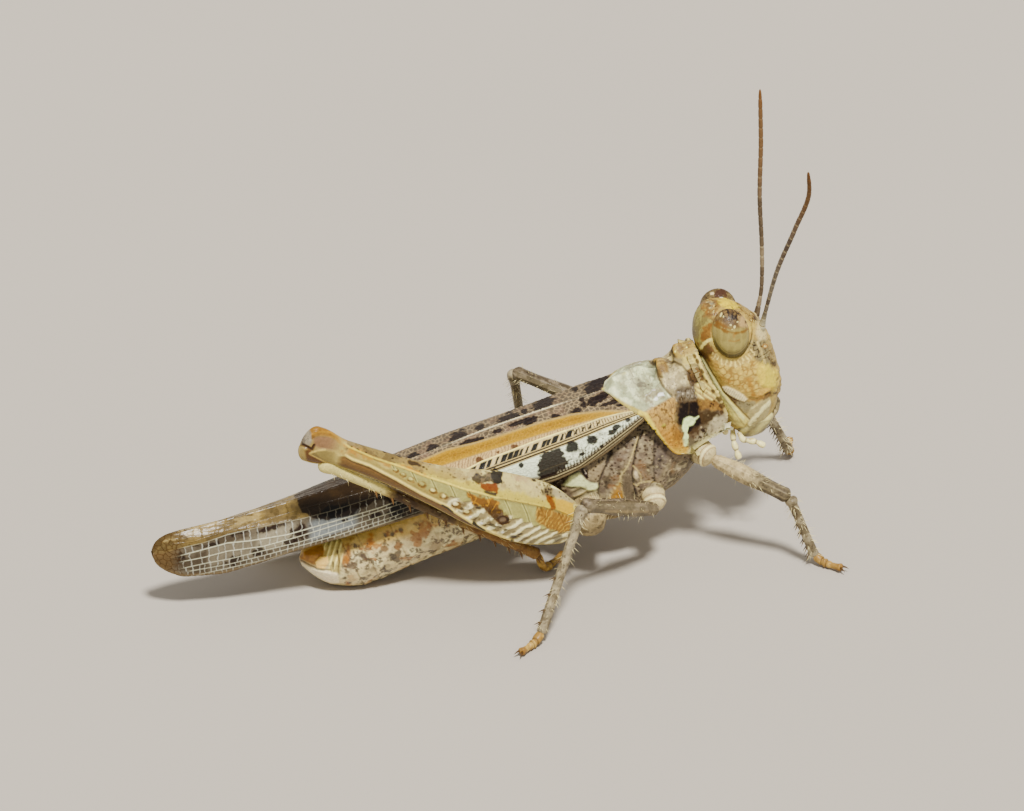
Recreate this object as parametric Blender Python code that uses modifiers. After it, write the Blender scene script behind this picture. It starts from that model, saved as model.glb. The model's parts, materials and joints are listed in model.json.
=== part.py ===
"""Life-size museum model of a band-winged desert grasshopper, standing.

Metres, +Z up, +X towards the head, the animal's right side on -Y.
Lengths below are written in millimetres of the animal's own frame (x = 0 under
the last rings of the abdomen, z = FLOOR the ground) and are put into metres
about the middle of the model's box at the end.
"""
import math

import bpy
import bmesh
import numpy as np
from mathutils import Matrix, Vector

# ------------------------------------------------------------------ sizes, mm
MM = 0.001
FLOOR = 0.45                      # height of the ground in the animal's frame
X_MID, Y_MID = 6.945, 0.2073         # middle of the whole model's box
GAP = 0.08                        # clearance between neighbouring pieces

TEG_LEN_X = (13.0, -8.05)         # tegmen base and tip
TEG_THICK = 0.50
PRON_LEN = 4.30                   # pronotum along its own axis
PRON_THICK = 0.50
BODY_PITCH = 23.1                 # degrees, front of the body raised
PRON_FRONT = (15.75, 9.95)        # middle of the front margin (x, z)
SHIN_THICK = 0.50                 # least thickness of legs
FEELER_THICK = 0.50
HIND_FEMUR_LEN = 12.6

for o in list(bpy.data.objects):
    bpy.data.objects.remove(o, do_unlink=True)
body_set = bpy.data.collections.new("grasshopper")
tool_set = bpy.data.collections.new("cutters")
tool_set.hide_render = True
bpy.context.scene.collection.children.link(body_set)
bpy.context.scene.collection.children.link(tool_set)


# ------------------------------------------------------------- small helpers
def paint(name, rgb, rough=0.5):
    m = bpy.data.materials.new(name)
    m.use_nodes = True
    b = m.node_tree.nodes["Principled BSDF"]
    b.inputs["Base Color"].default_value = (*rgb, 1)
    b.inputs["Roughness"].default_value = rough
    b.inputs["Metallic"].default_value = 0.0
    return m


PAINT = {
    "face": paint("face", (0.72, 0.58, 0.32), 0.45),
    "eye": paint("eye", (0.62, 0.52, 0.27), 0.2),
    "feeler": paint("feeler", (0.34, 0.22, 0.12), 0.5),
    "saddle": paint("saddle", (0.78, 0.76, 0.66), 0.5),
    "flank": paint("flank", (0.42, 0.34, 0.26), 0.5),
    "belly": paint("belly", (0.74, 0.62, 0.42), 0.45),
    "wing": paint("wing", (0.50, 0.38, 0.20), 0.45),
    "thigh": paint("thigh", (0.74, 0.62, 0.36), 0.4),
    "shin": paint("shin", (0.60, 0.54, 0.46), 0.5),
    "foot": paint("foot", (0.60, 0.44, 0.20), 0.5),
    "palp": paint("palp", (0.85, 0.82, 0.72), 0.4),
}


def smooth_through(xs, ys, x):
    """Monotone cubic curve through the stations (xs, ys), read at x."""
    xs, ys, x = (np.asarray(a, float) for a in (xs, ys, x))
    h = np.diff(xs)
    d = np.diff(ys) / h
    m = np.zeros(len(xs))
    m[0], m[-1] = d[0], d[-1]
    for i in range(1, len(xs) - 1):
        if d[i - 1] * d[i] > 0:
            w1, w2 = 2 * h[i] + h[i - 1], h[i] + 2 * h[i - 1]
            m[i] = (w1 + w2) / (w1 / d[i - 1] + w2 / d[i])
    i = np.clip(np.searchsorted(xs, x) - 1, 0, len(xs) - 2)
    t = (x - xs[i]) / h[i]
    t2, t3 = t * t, t * t * t
    return (
        (2 * t3 - 3 * t2 + 1) * ys[i]
        + (t3 - 2 * t2 + t) * h[i] * m[i]
        + (-2 * t3 + 3 * t2) * ys[i + 1]
        + (t3 - t2) * h[i] * m[i + 1]
    )


def oval(n, power=2.0):
    """n points round a superellipse of half-axes 1, as (cos-like, sin-like)."""
    a = np.arange(n) * 2 * math.pi / n
    c, s = np.cos(a), np.sin(a)
    e = 2.0 / power
    return np.sign(c) * np.abs(c) ** e, np.sign(s) * np.abs(s) ** e


def link(obj, slot, collection=body_set):
    obj.data.materials.clear()
    obj.data.materials.append(PAINT[slot])
    collection.objects.link(obj)
    if obj.type == "MESH":
        obj.data.shade_smooth()
    return obj


def mesh_object(name, points, faces, slot):
    """points in the animal's millimetres."""
    me = bpy.data.meshes.new(name)
    me.from_pydata([tuple(map(float, p)) for p in points], [], faces)
    bm = bmesh.new()
    bm.from_mesh(me)
    bmesh.ops.remove_doubles(bm, verts=bm.verts, dist=1e-4)
    bmesh.ops.recalc_face_normals(bm, faces=bm.faces)
    bm.to_mesh(me)
    bm.free()
    return link(bpy.data.objects.new(name, me), slot)


def loft(name, rings, slot):
    """Closed solid through rings of equal length; each end is closed to its middle."""
    rings = [np.asarray(r, float) for r in rings]
    n = len(rings[0])
    pts = np.concatenate(rings + [rings[0].mean(0)[None], rings[-1].mean(0)[None]])
    faces = []
    for i in range(len(rings) - 1):
        for j in range(n):
            k = (j + 1) % n
            faces.append((i * n + j, i * n + k, (i + 1) * n + k, (i + 1) * n + j))
    a, b = len(rings) * n, len(rings) * n + 1
    last = (len(rings) - 1) * n
    for j in range(n):
        k = (j + 1) % n
        faces.append((a, k, j))
        faces.append((b, last + j, last + k))
    return mesh_object(name, pts, faces, slot)


def limb(name, a, b, widths, depths, side, slot, n=10, rings=9, power=2.2, lift=None, round_a=0.5, round_b=0.5):
    """A leg segment from a to b. widths and depths are (station, half size) lists along it,
    across `side` and across the third direction; the ends are rounded over round_a, round_b mm."""
    a, b = np.asarray(a, float), np.asarray(b, float)
    length = np.linalg.norm(b - a)
    axis = (b - a) / length
    side = np.asarray(side, float)
    side = side - axis * (side @ axis)
    side /= np.linalg.norm(side)
    third = np.cross(axis, side)
    c, s = oval(n, power)
    inner = np.linspace(round_a / length, 1 - round_b / length, rings)
    ts = [0.0, 0.13 * round_a / length, 0.5 * round_a / length, *inner, 1 - 0.5 * round_b / length, 1 - 0.13 * round_b / length, 1.0]
    out = []
    for t in ts:
        near = min(t * length / round_a, (1 - t) * length / round_b, 1.0)
        k = max(0.22, math.sqrt(max(0.0, 1 - (1 - near) ** 2)))
        w = float(smooth_through(*zip(*widths), t)) * k
        d = float(smooth_through(*zip(*depths), t)) * k
        off = float(smooth_through(*zip(*lift), t)) if lift else 0.0
        out.append(a + axis * t * length + np.outer(c * w, side) + np.outer(s * d + off, third))
    return loft(name, out, slot)


def evaluated(obj):
    graph = bpy.context.evaluated_depsgraph_get()
    return bpy.data.meshes.new_from_object(obj.evaluated_get(graph))


def settle(obj):
    """Applies the modifiers."""
    me = evaluated(obj)
    obj.modifiers.clear()
    me.name = obj.name
    obj.data = me
    return obj


def cut(target, tool, gap=GAP):
    """Takes the tool, grown by the gap along its normals, out of the target."""
    fat = bpy.data.objects.new("cutter_" + tool.name + "_" + target.name, evaluated(tool))
    tool_set.objects.link(fat)
    fat.hide_render = True
    fat.display_type = "WIRE"
    co = np.array([v.co + v.normal * gap for v in fat.data.vertices], np.float32)
    fat.data.vertices.foreach_set("co", co.ravel())
    fat.data.update()
    m = target.modifiers.new("clear_" + tool.name, "BOOLEAN")
    m.operation, m.solver, m.object = "DIFFERENCE", "EXACT", fat
    settle(target)
    bpy.data.objects.remove(fat, do_unlink=True)
    largest_piece(target)
    return target


def largest_piece(obj):
    bm = bmesh.new()
    bm.from_mesh(obj.data)
    bmesh.ops.remove_doubles(bm, verts=bm.verts, dist=2e-3)
    bmesh.ops.dissolve_degenerate(bm, dist=2e-3, edges=bm.edges)
    seen, best = set(), []
    for v in bm.verts:
        if v in seen:
            continue
        todo, island = [v], []
        seen.add(v)
        while todo:
            w = todo.pop()
            island.append(w)
            for e in w.link_edges:
                o = e.other_vert(w)
                if o not in seen:
                    seen.add(o)
                    todo.append(o)
        if len(island) > len(best):
            best = island
    keep = set(best)
    bmesh.ops.delete(bm, geom=[v for v in bm.verts if v not in keep], context="VERTS")
    bm.to_mesh(obj.data)
    bm.free()
    obj.data.update()


# ------------------------------------------------------------------ pronotum
B = math.radians(BODY_PITCH)
BACK = np.array([-math.cos(B), 0, -math.sin(B)])
RISE = np.array([-math.sin(B), 0, math.cos(B)])
FRONT = np.array([PRON_FRONT[0], 0, PRON_FRONT[1]])


def body_point(s, y, h):
    """s mm back from the front margin of the pronotum, y sideways, h mm above its line."""
    s, y, h = np.broadcast_arrays(*(np.asarray(q, float) for q in (s, y, h)))
    return FRONT + s[..., None] * BACK + h[..., None] * RISE + y[..., None] * np.array([0, 1.0, 0])


def crest(s):
    return smooth_through(
        [0, 0.4, 0.79, 0.96, 1.16, 1.37, 1.6, 1.74, 1.9, 2.15, 2.6, 3.35, 4.3, 4.6],
        [0.06, 0.15, 0.28, 0.18, -0.07, -0.15, 0.0, 0.05, -0.12, -0.2, -0.1, -0.03, 0.0, 0.0], s)


def pronotum_point(c, r, side):
    """c runs from the median crest (0) to the lower edge (1), r from the front margin (0) to the hind margin (1)."""
    start = smooth_through([0, 0.4, 0.8, 1.0], [0.0, 0.06, 0.14, 0.5], c)
    end = smooth_through([0, 0.2, 0.42, 0.6, 0.8, 0.92, 1.0], [PRON_LEN, 3.86, 3.32, 3.08, 2.9, 2.7, 2.2], c)
    s = start + (end - start) * r
    shoulder_w = smooth_through([0, 0.9, 1.4, 2.2, 3.2, 4.4], [1.30, 1.22, 1.25, 1.62, 1.98, 2.02], s)
    shoulder_h = smooth_through([0, 0.8, 1.6, 2.3, 3.2, 4.4], [-0.62, -0.72, -0.86, -0.80, -0.86, -0.95], s)
    lobe_w = smooth_through([0, 1.2, 2.4, 3.4], [1.78, 1.86, 2.12, 2.22], s)
    top = crest(s)
    cs = np.array([0.0, 0.10, 0.42, 0.62, 0.86, 1.0])
    ys = [0 * s, 0.24 * shoulder_w, shoulder_w, 0.5 * (shoulder_w + lobe_w) + 0.12, lobe_w, lobe_w - 0.06]
    hs = [top, 0.62 * top + 0.2 * shoulder_h, shoulder_h, -1.85 + 0 * s, -3.05 + 0 * s, -3.62 + 0 * s]
    y = np.array([smooth_through(cs, [q.flat[i] for q in ys], c.flat[i]) for i in range(c.size)]).reshape(c.shape)
    h = np.array([smooth_through(cs, [q.flat[i] for q in hs], c.flat[i]) for i in range(c.size)]).reshape(c.shape)
    return body_point(s, side * y, h)


def grid_shell(name, point, nu, nv, thick, slot, mirror, flip):
    """A plate of even thickness, its wall grown inwards from the outer surface point(u, v)."""
    u, v = np.meshgrid(np.linspace(0, 1, nu), np.linspace(0, 1, nv), indexing="ij")
    p = point(u, v)
    faces = [(i * nv + j, i * nv + j + 1, (i + 1) * nv + j + 1, (i + 1) * nv + j)
             for i in range(nu - 1) for j in range(nv - 1)]
    if flip:
        faces = [f[::-1] for f in faces]
    me = bpy.data.meshes.new(name)
    me.from_pydata([tuple(map(float, q)) for q in p.reshape(-1, 3)], [], faces)
    obj = link(bpy.data.objects.new(name, me), slot)
    if mirror:
        m = obj.modifiers.new("other_half", "MIRROR")
        m.use_axis = (False, True, False)
        m.merge_threshold = 1e-4
    s = obj.modifiers.new("wall", "SOLIDIFY")
    s.thickness = thick
    s.offset = -1
    s.use_even_offset = False
    s.use_rim = True
    return settle(obj)


pronotum = grid_shell("pronotum", lambda c, r: pronotum_point(c, r, 1.0), 9, 14, PRON_THICK, "saddle", True, True)


# ------------------------------------------------------------------- tegmina
def wing_lines(x):
    """Ridge height, shoulder (y, z) and lower edge (y, z) of the folded tegmen over x."""
    ridge = smooth_through([-8.05, -7.2, -6, -4.3, -0.1, 3.1, 7.3, 11.0, 13.0],
                           [3.62, 4.02, 4.22, 4.45, 5.22, 6.05, 7.25, 8.05, 8.45], x)
    sy = smooth_through([-8.05, -7, -5, -2, 2, 7, 11, 13.0], [0.12, 0.32, 0.52, 0.95, 1.55, 1.88, 1.86, 1.60], x)
    sz = smooth_through([-8.05, -7, -5, -2, 2, 5.4, 7.1, 9.1, 13.0], [3.38, 3.72, 3.98, 4.42, 5.22, 6.0, 6.35, 6.85, 8.02], x)
    cy = smooth_through([-8.05, -7, -5, -2, 2, 7, 11, 13.0], [0.16, 0.45, 0.74, 1.22, 1.78, 2.12, 2.18, 2.05], x)
    cz = smooth_through([-8.05, -7.7, -6.7, -5.3, -3.9, -2, 0.7, 2.0, 4.0, 9.0, 10.4, 11.5, 13.0],
                        [2.78, 2.42, 2.14, 2.16, 2.50, 3.12, 3.82, 4.16, 4.62, 5.35, 5.9, 6.5, 7.7], x)
    return ridge, sy, sz, cy, cz


def tegmen_point(u, v, side):
    """u runs from base to tip, v from the dorsal middle (0) to the lower edge (1)."""
    x = TEG_LEN_X[0] + (TEG_LEN_X[1] - TEG_LEN_X[0]) * u
    ridge, sy, sz, cy, cz = wing_lines(x)
    vs = np.array([0.0, 0.25, 0.5, 0.75, 1.0])
    inset = GAP * 0.6
    ys = [inset + 0 * x, 0.5 * sy + inset * 0.5, sy, 0.45 * sy + 0.55 * cy + 0.04, cy]
    zs = [ridge, ridge - 0.42 * (ridge - sz), sz, 0.5 * (sz + cz) + 0.05, cz]
    y = np.array([smooth_through(vs, [q.flat[i] for q in ys], v.flat[i]) for i in range(v.size)]).reshape(v.shape)
    z = np.array([smooth_through(vs, [q.flat[i] for q in zs], v.flat[i]) for i in range(v.size)]).reshape(v.shape)
    return np.stack([x, side * y, z], -1)


def ease(u):
    return u ** 0.9


tegmina = {}
for tag, side in (("R", -1.0), ("L", 1.0)):
    t = grid_shell("tegmen_" + tag, lambda u, v: tegmen_point(ease(u), v, side), 17, 7, TEG_THICK, "wing", False, side < 0)
    bm = bmesh.new()
    bm.from_mesh(t.data)
    bmesh.ops.recalc_face_normals(bm, faces=bm.faces)
    # the inner faces of the two sides stay clear of the middle plane
    for v in bm.verts:
        if v.co.y * side < GAP * 0.6:
            v.co.y = side * GAP * 0.6
    bm.to_mesh(t.data)
    bm.free()
    tegmina[tag] = t


# -------------------------------------------------------------------- thorax
def box_ring(n, w, top, bottom, power_top, power_bottom):
    a = np.arange(n) * 2 * math.pi / n
    c, s = np.cos(a), np.sin(a)
    mid, half = (top + bottom) / 2, (top - bottom) / 2
    e = np.where(s > 0, 2 / power_top, 2 / power_bottom)
    return w * np.sign(c) * np.abs(c) ** e, mid + half * np.sign(s) * np.abs(s) ** e


def body_loft(name, stations, slot, n=20, count=14):
    """stations: rows of (s, half width, top, bottom, power above, power below) in the body frame."""
    st = np.array(stations, float)
    rings = []
    for s in np.linspace(st[0, 0], st[-1, 0], count):
        w, top, bottom, pt, pb = (float(smooth_through(st[:, 0], st[:, k], s)) for k in range(1, 6))
        y, h = box_ring(n, w, top, bottom, pt, pb)
        rings.append(body_point(s, y, h))
    return loft(name, rings, slot)


thorax = body_loft("thorax", [
    (0.35, 0.95, -0.95, -3.10, 2.2, 2.2),
    (1.2, 1.35, -0.95, -4.20, 2.3, 2.4),
    (2.7, 1.85, -1.30, -5.25, 2.4, 2.6),
    (4.0, 2.02, -1.30, -5.50, 2.6, 3.0),
    (5.6, 2.12, -1.20, -5.56, 2.8, 3.2),
    (7.0, 2.00, -1.10, -5.30, 2.8, 3.0),
    (7.7, 1.80, -1.20, -4.85, 2.6, 2.6),
], "flank", n=16, count=10)

# ------------------------------------------------------------------- abdomen
ABDOMEN = [  # x, centre height, half width, half height
    (9.05, 4.42, 1.55, 1.75),
    (7.2, 3.98, 1.62, 1.80),
    (5.2, 3.40, 1.60, 1.72),
    (3.0, 2.62, 1.50, 1.56),
    (1.5, 2.00, 1.40, 1.46),
    (0.3, 1.62, 1.22, 1.34),
    (-0.6, 1.60, 0.92, 1.08),
    (-1.2, 1.70, 0.50, 0.66),
    (-1.52, 1.78, 0.16, 0.22),
]


def abdomen_rings(n, count):
    a = np.array(ABDOMEN)[::-1]
    c, s = oval(n, 2.15)
    out = []
    k = np.linspace(0, 1, count)
    for x in a[0, 0] + (a[-1, 0] - a[0, 0]) * (1 - (1 - k) ** 0.85):
        zc, w, h = (float(smooth_through(a[:, 0], a[:, j], x)) for j in (1, 2, 3))
        out.append(np.stack([x - 0.33 * s * h, w * c, zc + s * h * 0.97], -1))
    return out


abdomen = loft("abdomen", abdomen_rings(16, 14), "belly")
for v in abdomen.data.vertices:                      # the tip of the belly rests on the floor
    v.co.z = max(v.co.z, FLOOR)

for t in tegmina.values():
    cut(t, pronotum)
cut(thorax, pronotum)
for t in tegmina.values():
    cut(thorax, t)
    cut(abdomen, t)
cut(abdomen, thorax)

# ---------------------------------------------------------------------- head
HEAD = [  # z, front x, back x, half width, power
    (5.62, 18.75, 17.45, 0.85, 2.3),
    (6.1, 19.10, 17.00, 1.18, 2.3),
    (6.9, 19.42, 16.62, 1.44, 2.3),
    (7.9, 19.52, 16.28, 1.58, 2.3),
    (8.9, 19.30, 16.05, 1.60, 2.3),
    (9.7, 19.10, 15.92, 1.52, 2.3),
    (10.3, 18.82, 15.80, 1.36, 2.3),
    (10.8, 18.52, 15.84, 1.16, 2.4),
    (11.3, 18.00, 15.98, 0.92, 2.4),
    (11.62, 17.50, 16.25, 0.66, 2.3),
    (11.76, 17.15, 16.50, 0.36, 2.2),
]
hd = np.array(HEAD)
rings = []
for z in np.concatenate([np.linspace(5.62, 11.3, 12), [11.52, 11.68, 11.76]]):
    xf, xb, w, p = (float(smooth_through(hd[:, 0], hd[:, k], z)) for k in range(1, 5))
    c, s = oval(16, p)
    rings.append(np.stack([(xf + xb) / 2 + c * (xf - xb) / 2, s * w, 0 * c + z], -1))
head = loft("head", rings, "face")

EYE_C, EYE_R = (17.14, 1.04, 10.74), (0.82, 0.70, 1.13)
eyes = []
for tag, side in (("R", -1), ("L", 1)):
    bpy.ops.mesh.primitive_uv_sphere_add(segments=14, ring_count=10, radius=1.0)
    e = bpy.context.object
    e.name = e.data.name = "eye_" + tag
    e.data.transform(Matrix.Translation((EYE_C[0], side * EYE_C[1], EYE_C[2]))
                     @ Matrix.Rotation(math.radians(-8), 4, "Y")
                     @ Matrix.Rotation(math.radians(side * 19), 4, "X")
                     @ Matrix.Diagonal((*EYE_R, 1)))
    for c in list(e.users_collection):
        c.objects.unlink(e)
    link(e, "eye")
    eyes.append(e)
cut(head, pronotum)
cut(thorax, head)
for e in eyes:
    cut(e, head, 0.05)
    cut(e, pronotum)

# clypeus and labrum hang below the face, between the mandibles
rings = []
for z, xf, xb, w in ((4.86, 18.86, 18.40, 0.34), (5.0, 19.02, 18.22, 0.56), (5.4, 19.25, 18.05, 0.74), (5.9, 19.45, 18.05, 0.80),
                     (6.3, 19.62, 18.2, 0.78), (6.55, 19.7, 18.4, 0.68)):
    c, s = oval(14, 2.4)
    rings.append(np.stack([(xf + xb) / 2 + c * (xf - xb) / 2, s * w, 0 * c + z], -1))
labrum = loft("labrum", rings, "face")
cut(labrum, head)


# ---------------------------------------------------- feelers: antennae, palps
def feeler(name, pts, radius, slot, res=2):
    """A thin round rod along a smooth line through pts; pts in mm."""
    cu = bpy.data.curves.new(name, "CURVE")
    cu.dimensions = "3D"
    cu.bevel_depth = 1.0
    cu.bevel_resolution = res
    cu.use_fill_caps = True
    sp = cu.splines.new("POLY")
    sp.points.add(len(pts) - 1)
    for q, p in zip(sp.points, pts):
        q.co = (*p[:3], 1)
        q.radius = radius * (p[3] if len(p) > 3 else 1)
    obj = bpy.data.objects.new(name, cu)
    tool_set.objects.link(obj)
    me = evaluated(obj)
    bm = bmesh.new()
    bm.from_mesh(me)
    bmesh.ops.remove_doubles(bm, verts=bm.verts, dist=1e-4)
    bmesh.ops.recalc_face_normals(bm, faces=bm.faces)
    bm.to_mesh(me)
    bm.free()
    bpy.data.objects.remove(obj, do_unlink=True)
    return link(bpy.data.objects.new(name, me), slot)


def line_through(stations, count):
    st = np.array(stations, float)
    d = np.concatenate([[0], np.cumsum(np.linalg.norm(np.diff(st[:, :3], axis=0), axis=1))])
    t = np.linspace(0, d[-1], count)
    return [[float(smooth_through(d, st[:, k], q)) for k in range(st.shape[1])] for q in t]


ANT_R = [(18.62, -0.50, 10.35), (18.80, -0.85, 11.77), (19.07, -1.35, 13.65), (19.69, -2.00, 16.07), (20.14, -2.60, 18.14), (20.00, -2.95, 19.40)]
ANT_L = [(18.62, 0.50, 10.05), (19.11, 1.10, 11.73), (19.25, 1.65, 13.42), (19.31, 2.20, 15.13), (19.54, 2.90, 17.77), (19.63, 3.40, 19.94)]
ANTENNA = {
    "R": ANT_R,
    "L": ANT_L,
}
for tag, line in ANTENNA.items():
    a = feeler("antenna_" + tag, line_through(line, 11), FEELER_THICK / 2, "feeler", 2)
    cut(a, head)
    cut(a, eyes[0 if tag == "R" else 1])

PALPS = {
    "palp_upper_R": [(17.55, -0.95, 5.60), (17.70, -1.22, 5.52), (18.10, -1.45, 5.50), (18.55, -1.62, 5.30)],
    "palp_upper_L": [(17.55, 0.95, 5.60), (17.70, 1.22, 5.52), (18.10, 1.45, 5.50), (18.55, 1.62, 5.30)],
    "palp_lower_R": [(17.40, -0.50, 5.60), (17.38, -0.75, 5.25), (17.45, -0.95, 4.90), (17.55, -1.10, 4.50)],
    "palp_lower_L": [(17.40, 0.50, 5.60), (17.38, 0.75, 5.25), (17.45, 0.95, 4.90), (17.55, 1.10, 4.50)],
}
for name, line in PALPS.items():
    p = feeler(name, line_through(line, 6), 0.25, "palp", 2)
    cut(p, head)
    cut(p, labrum)

# ---------------------------------------------------------------------- legs
# hip, knee, ankle and toe of each leg, in mm
LEGS = {
    "fore_R": dict(hip=(16.10, -2.05, 5.30), knee=(19.10, -3.55, 3.80), ankle=(20.16, -3.80, 0.85), toe=(21.10, -4.80, 0.45)),
    "fore_L": dict(hip=(16.20, 2.05, 5.20), knee=(19.90, 3.75, 4.10), ankle=(21.41, 4.77, 0.90), toe=(21.75, 6.05, 0.45)),
    "mid_R": dict(hip=(13.45, -2.62, 3.55), knee=(9.61, -4.90, 5.66), ankle=(7.20, -7.00, 0.88), toe=(6.05, -7.90, 0.45)),
    "mid_L": dict(hip=(13.00, 3.30, 5.10), knee=(9.18, 5.00, 6.64), ankle=(10.39, 7.20, 0.88), toe=(11.30, 8.35, 0.45)),
}
COXA = {"fore_R": (15.55, -1.20, 5.45), "fore_L": (15.55, 1.20, 5.45), "mid_R": (13.50, -1.50, 4.05), "mid_L": (13.45, 1.70, 4.35)}
HALF = {"fore": (0.36, 0.28), "mid": (0.38, 0.28)}


def toward(a, b, d):
    a, b = np.asarray(a, float), np.asarray(b, float)
    return a + (b - a) / np.linalg.norm(b - a) * d


def foot(name, ankle, toe, thick=0.5):
    """A tarsus: a short rod from the ankle to the toe, with a flat sole on the floor."""
    ankle, toe = np.asarray(ankle, float), np.asarray(toe, float)
    r = thick / 2
    flat = toe - ankle
    flat[2] = 0
    length = np.linalg.norm(flat)
    flat /= length
    pts = []
    for t, z, k in ((0.0, ankle[2] + 0.02, 0.9), (0.18, max(FLOOR + 0.42, FLOOR + 0.7 * (ankle[2] - FLOOR)), 1.0), (0.4, FLOOR + 0.25, 1.0),
                    (0.7, FLOOR + 0.2, 1.0), (0.92, FLOOR + 0.2, 0.9), (1.0, FLOOR + 0.2, 0.45)):
        p = ankle + flat * length * t
        pts.append((p[0], p[1], z, k))
    obj = feeler(name, pts, r, "foot", 2)
    for v in obj.data.vertices:
        v.co.z = max(v.co.z, FLOOR)
    return obj


for leg, j in LEGS.items():
    kind, side = leg.split("_")
    sgn = -1 if side == "R" else 1
    w, shin = HALF[kind]
    hip, knee, ankle, toe = (np.array(j[k], float) for k in ("hip", "knee", "ankle", "toe"))
    coxa = limb("coxa_" + leg, COXA[leg], toward(hip, COXA[leg], -0.12), [(0, 0.52), (0.6, 0.5), (1, 0.40)], [(0, 0.60), (0.6, 0.5), (1, 0.38)],
                (1, 0, 0), "shin", n=8, rings=3, round_a=0.3, round_b=0.3)
    cut(coxa, thorax)
    femur = limb("femur_" + leg, hip, toward(knee, hip, 0.10), [(0, w * 0.85), (0.3, w), (0.8, w * 0.86), (1, w * 0.8)],
                 [(0, w * 0.9), (0.3, w * 1.08), (0.8, w * 0.9), (1, w * 0.86)], (0, 0, 1), "shin", n=8, rings=5, round_a=0.25, round_b=0.25)
    cut(femur, coxa)
    cut(femur, thorax)
    tibia = limb("tibia_" + leg, knee, toward(ankle, knee, 0.06), [(0, shin), (0.2, shin * 0.92), (0.9, 0.25), (1, 0.27)],
                 [(0, shin), (0.2, shin * 0.92), (0.9, 0.25), (1, 0.27)], (0, 1, 0), "shin", n=8, rings=6, round_a=0.2, round_b=0.15)
    cut(tibia, femur)
    tarsus = foot("tarsus_" + leg, ankle, toe)
    cut(tarsus, tibia)

# hind legs: the right knee is raised, the left thigh lies low along the body
HIND = {
    "hind_R": dict(hip=(9.95, -3.00, 3.42), knee=(-2.08, -2.50, 9.30), heel=(-1.35, -2.60, 8.15), ankle=(8.45, -1.90, 1.65), toe=(9.95, -0.55, 0.45)),
    "hind_L": dict(hip=(9.95, 2.95, 3.42), knee=(-2.90, 2.75, 1.85), heel=(-2.50, 2.80, 1.02), ankle=(8.30, 3.40, 0.93), toe=(10.55, 3.75, 0.45)),
}
for leg, j in HIND.items():
    side = -1 if leg.endswith("R") else 1
    hip, knee, heel, ankle, toe = (np.array(j[k], float) for k in ("hip", "knee", "heel", "ankle", "toe"))
    third_up = 1 if side < 0 else -1
    femur = limb("femur_" + leg, hip, knee,
                 [(0, 0.30), (0.08, 0.52), (0.25, 0.62), (0.5, 0.50), (0.75, 0.34), (0.9, 0.36), (1, 0.36)],
                 [(0, 0.62), (0.06, 1.05), (0.18, 1.46), (0.32, 1.40), (0.5, 1.02), (0.7, 0.66), (0.85, 0.58), (0.95, 0.80), (1, 0.80)],
                 (0, 1, 0), "thigh", n=12, rings=12, power=2.3, round_a=0.5, round_b=0.45)
    coxa = limb("coxa_" + leg, (10.75, side * 1.35, 3.55), (10.55, side * 2.75, 3.20), [(0, 0.8), (1, 0.62)], [(0, 0.85), (1, 0.62)],
                (1, 0, 0), "flank", n=10, rings=3, round_a=0.3, round_b=0.35)
    cut(coxa, thorax)
    cut(coxa, femur)
    cut(coxa, abdomen)
    cut(femur, thorax)
    cut(femur, tegmina[leg[-1]])
    tibia = limb("tibia_" + leg, heel, toward(ankle, heel, 0.05), [(0, 0.30), (0.1, 0.27), (0.9, 0.25), (1, 0.27)],
                 [(0, 0.36), (0.1, 0.29), (0.9, 0.26), (1, 0.30)], (0, 1, 0), "shin", n=10, rings=9, round_a=0.25, round_b=0.15)
    cut(tibia, femur)
    tarsus = foot("tarsus_" + leg, ankle, toe)
    cut(tarsus, tibia)

# ----------------------------------------------- into metres, about the origin
to_row = Matrix.Scale(MM, 4) @ Matrix.Translation((-X_MID, -Y_MID, -FLOOR))
for o in body_set.objects:
    o.data.transform(to_row)
    o.data.set_sharp_from_angle(angle=math.radians(50))
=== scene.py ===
"""Visual model of the band-winged grasshopper over its CAD frame.

All shapes are worked out in millimetres of the animal's own frame (x forwards,
y to its left, z up, floor at FLOOR) and then moved into the row's metres.
Marks are named features placed on a flat side chart, an oblique plan of the
animal's flank at 23.5 units to the millimetre. The left side mirrors the right.
"""
import math
import json

import bpy
import numpy as np
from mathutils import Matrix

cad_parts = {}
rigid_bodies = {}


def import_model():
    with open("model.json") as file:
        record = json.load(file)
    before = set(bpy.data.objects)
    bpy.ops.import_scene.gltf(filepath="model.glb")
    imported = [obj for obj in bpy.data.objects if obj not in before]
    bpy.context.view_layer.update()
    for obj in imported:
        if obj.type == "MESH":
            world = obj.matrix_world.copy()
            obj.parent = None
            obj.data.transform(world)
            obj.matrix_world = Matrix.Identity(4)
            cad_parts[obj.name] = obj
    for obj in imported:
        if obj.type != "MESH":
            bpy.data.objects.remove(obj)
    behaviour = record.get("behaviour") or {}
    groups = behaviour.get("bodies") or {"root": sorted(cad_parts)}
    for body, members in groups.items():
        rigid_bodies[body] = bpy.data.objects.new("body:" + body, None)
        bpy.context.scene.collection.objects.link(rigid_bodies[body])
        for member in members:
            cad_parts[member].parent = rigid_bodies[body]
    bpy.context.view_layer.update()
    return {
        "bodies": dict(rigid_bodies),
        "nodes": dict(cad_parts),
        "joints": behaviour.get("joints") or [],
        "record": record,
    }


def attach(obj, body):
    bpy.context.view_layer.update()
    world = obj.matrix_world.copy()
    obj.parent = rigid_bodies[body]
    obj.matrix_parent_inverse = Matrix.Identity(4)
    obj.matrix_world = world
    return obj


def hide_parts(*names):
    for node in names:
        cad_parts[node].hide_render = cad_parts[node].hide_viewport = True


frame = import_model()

FLOOR = 0.45
X_MID, Y_MID = 6.945, 0.2073
TURN, RISE = math.radians(15), math.radians(31)
UNITS = 23.5
F = 1.0          # mesh fineness

# ------------------------------------------------------------------ numbers


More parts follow.
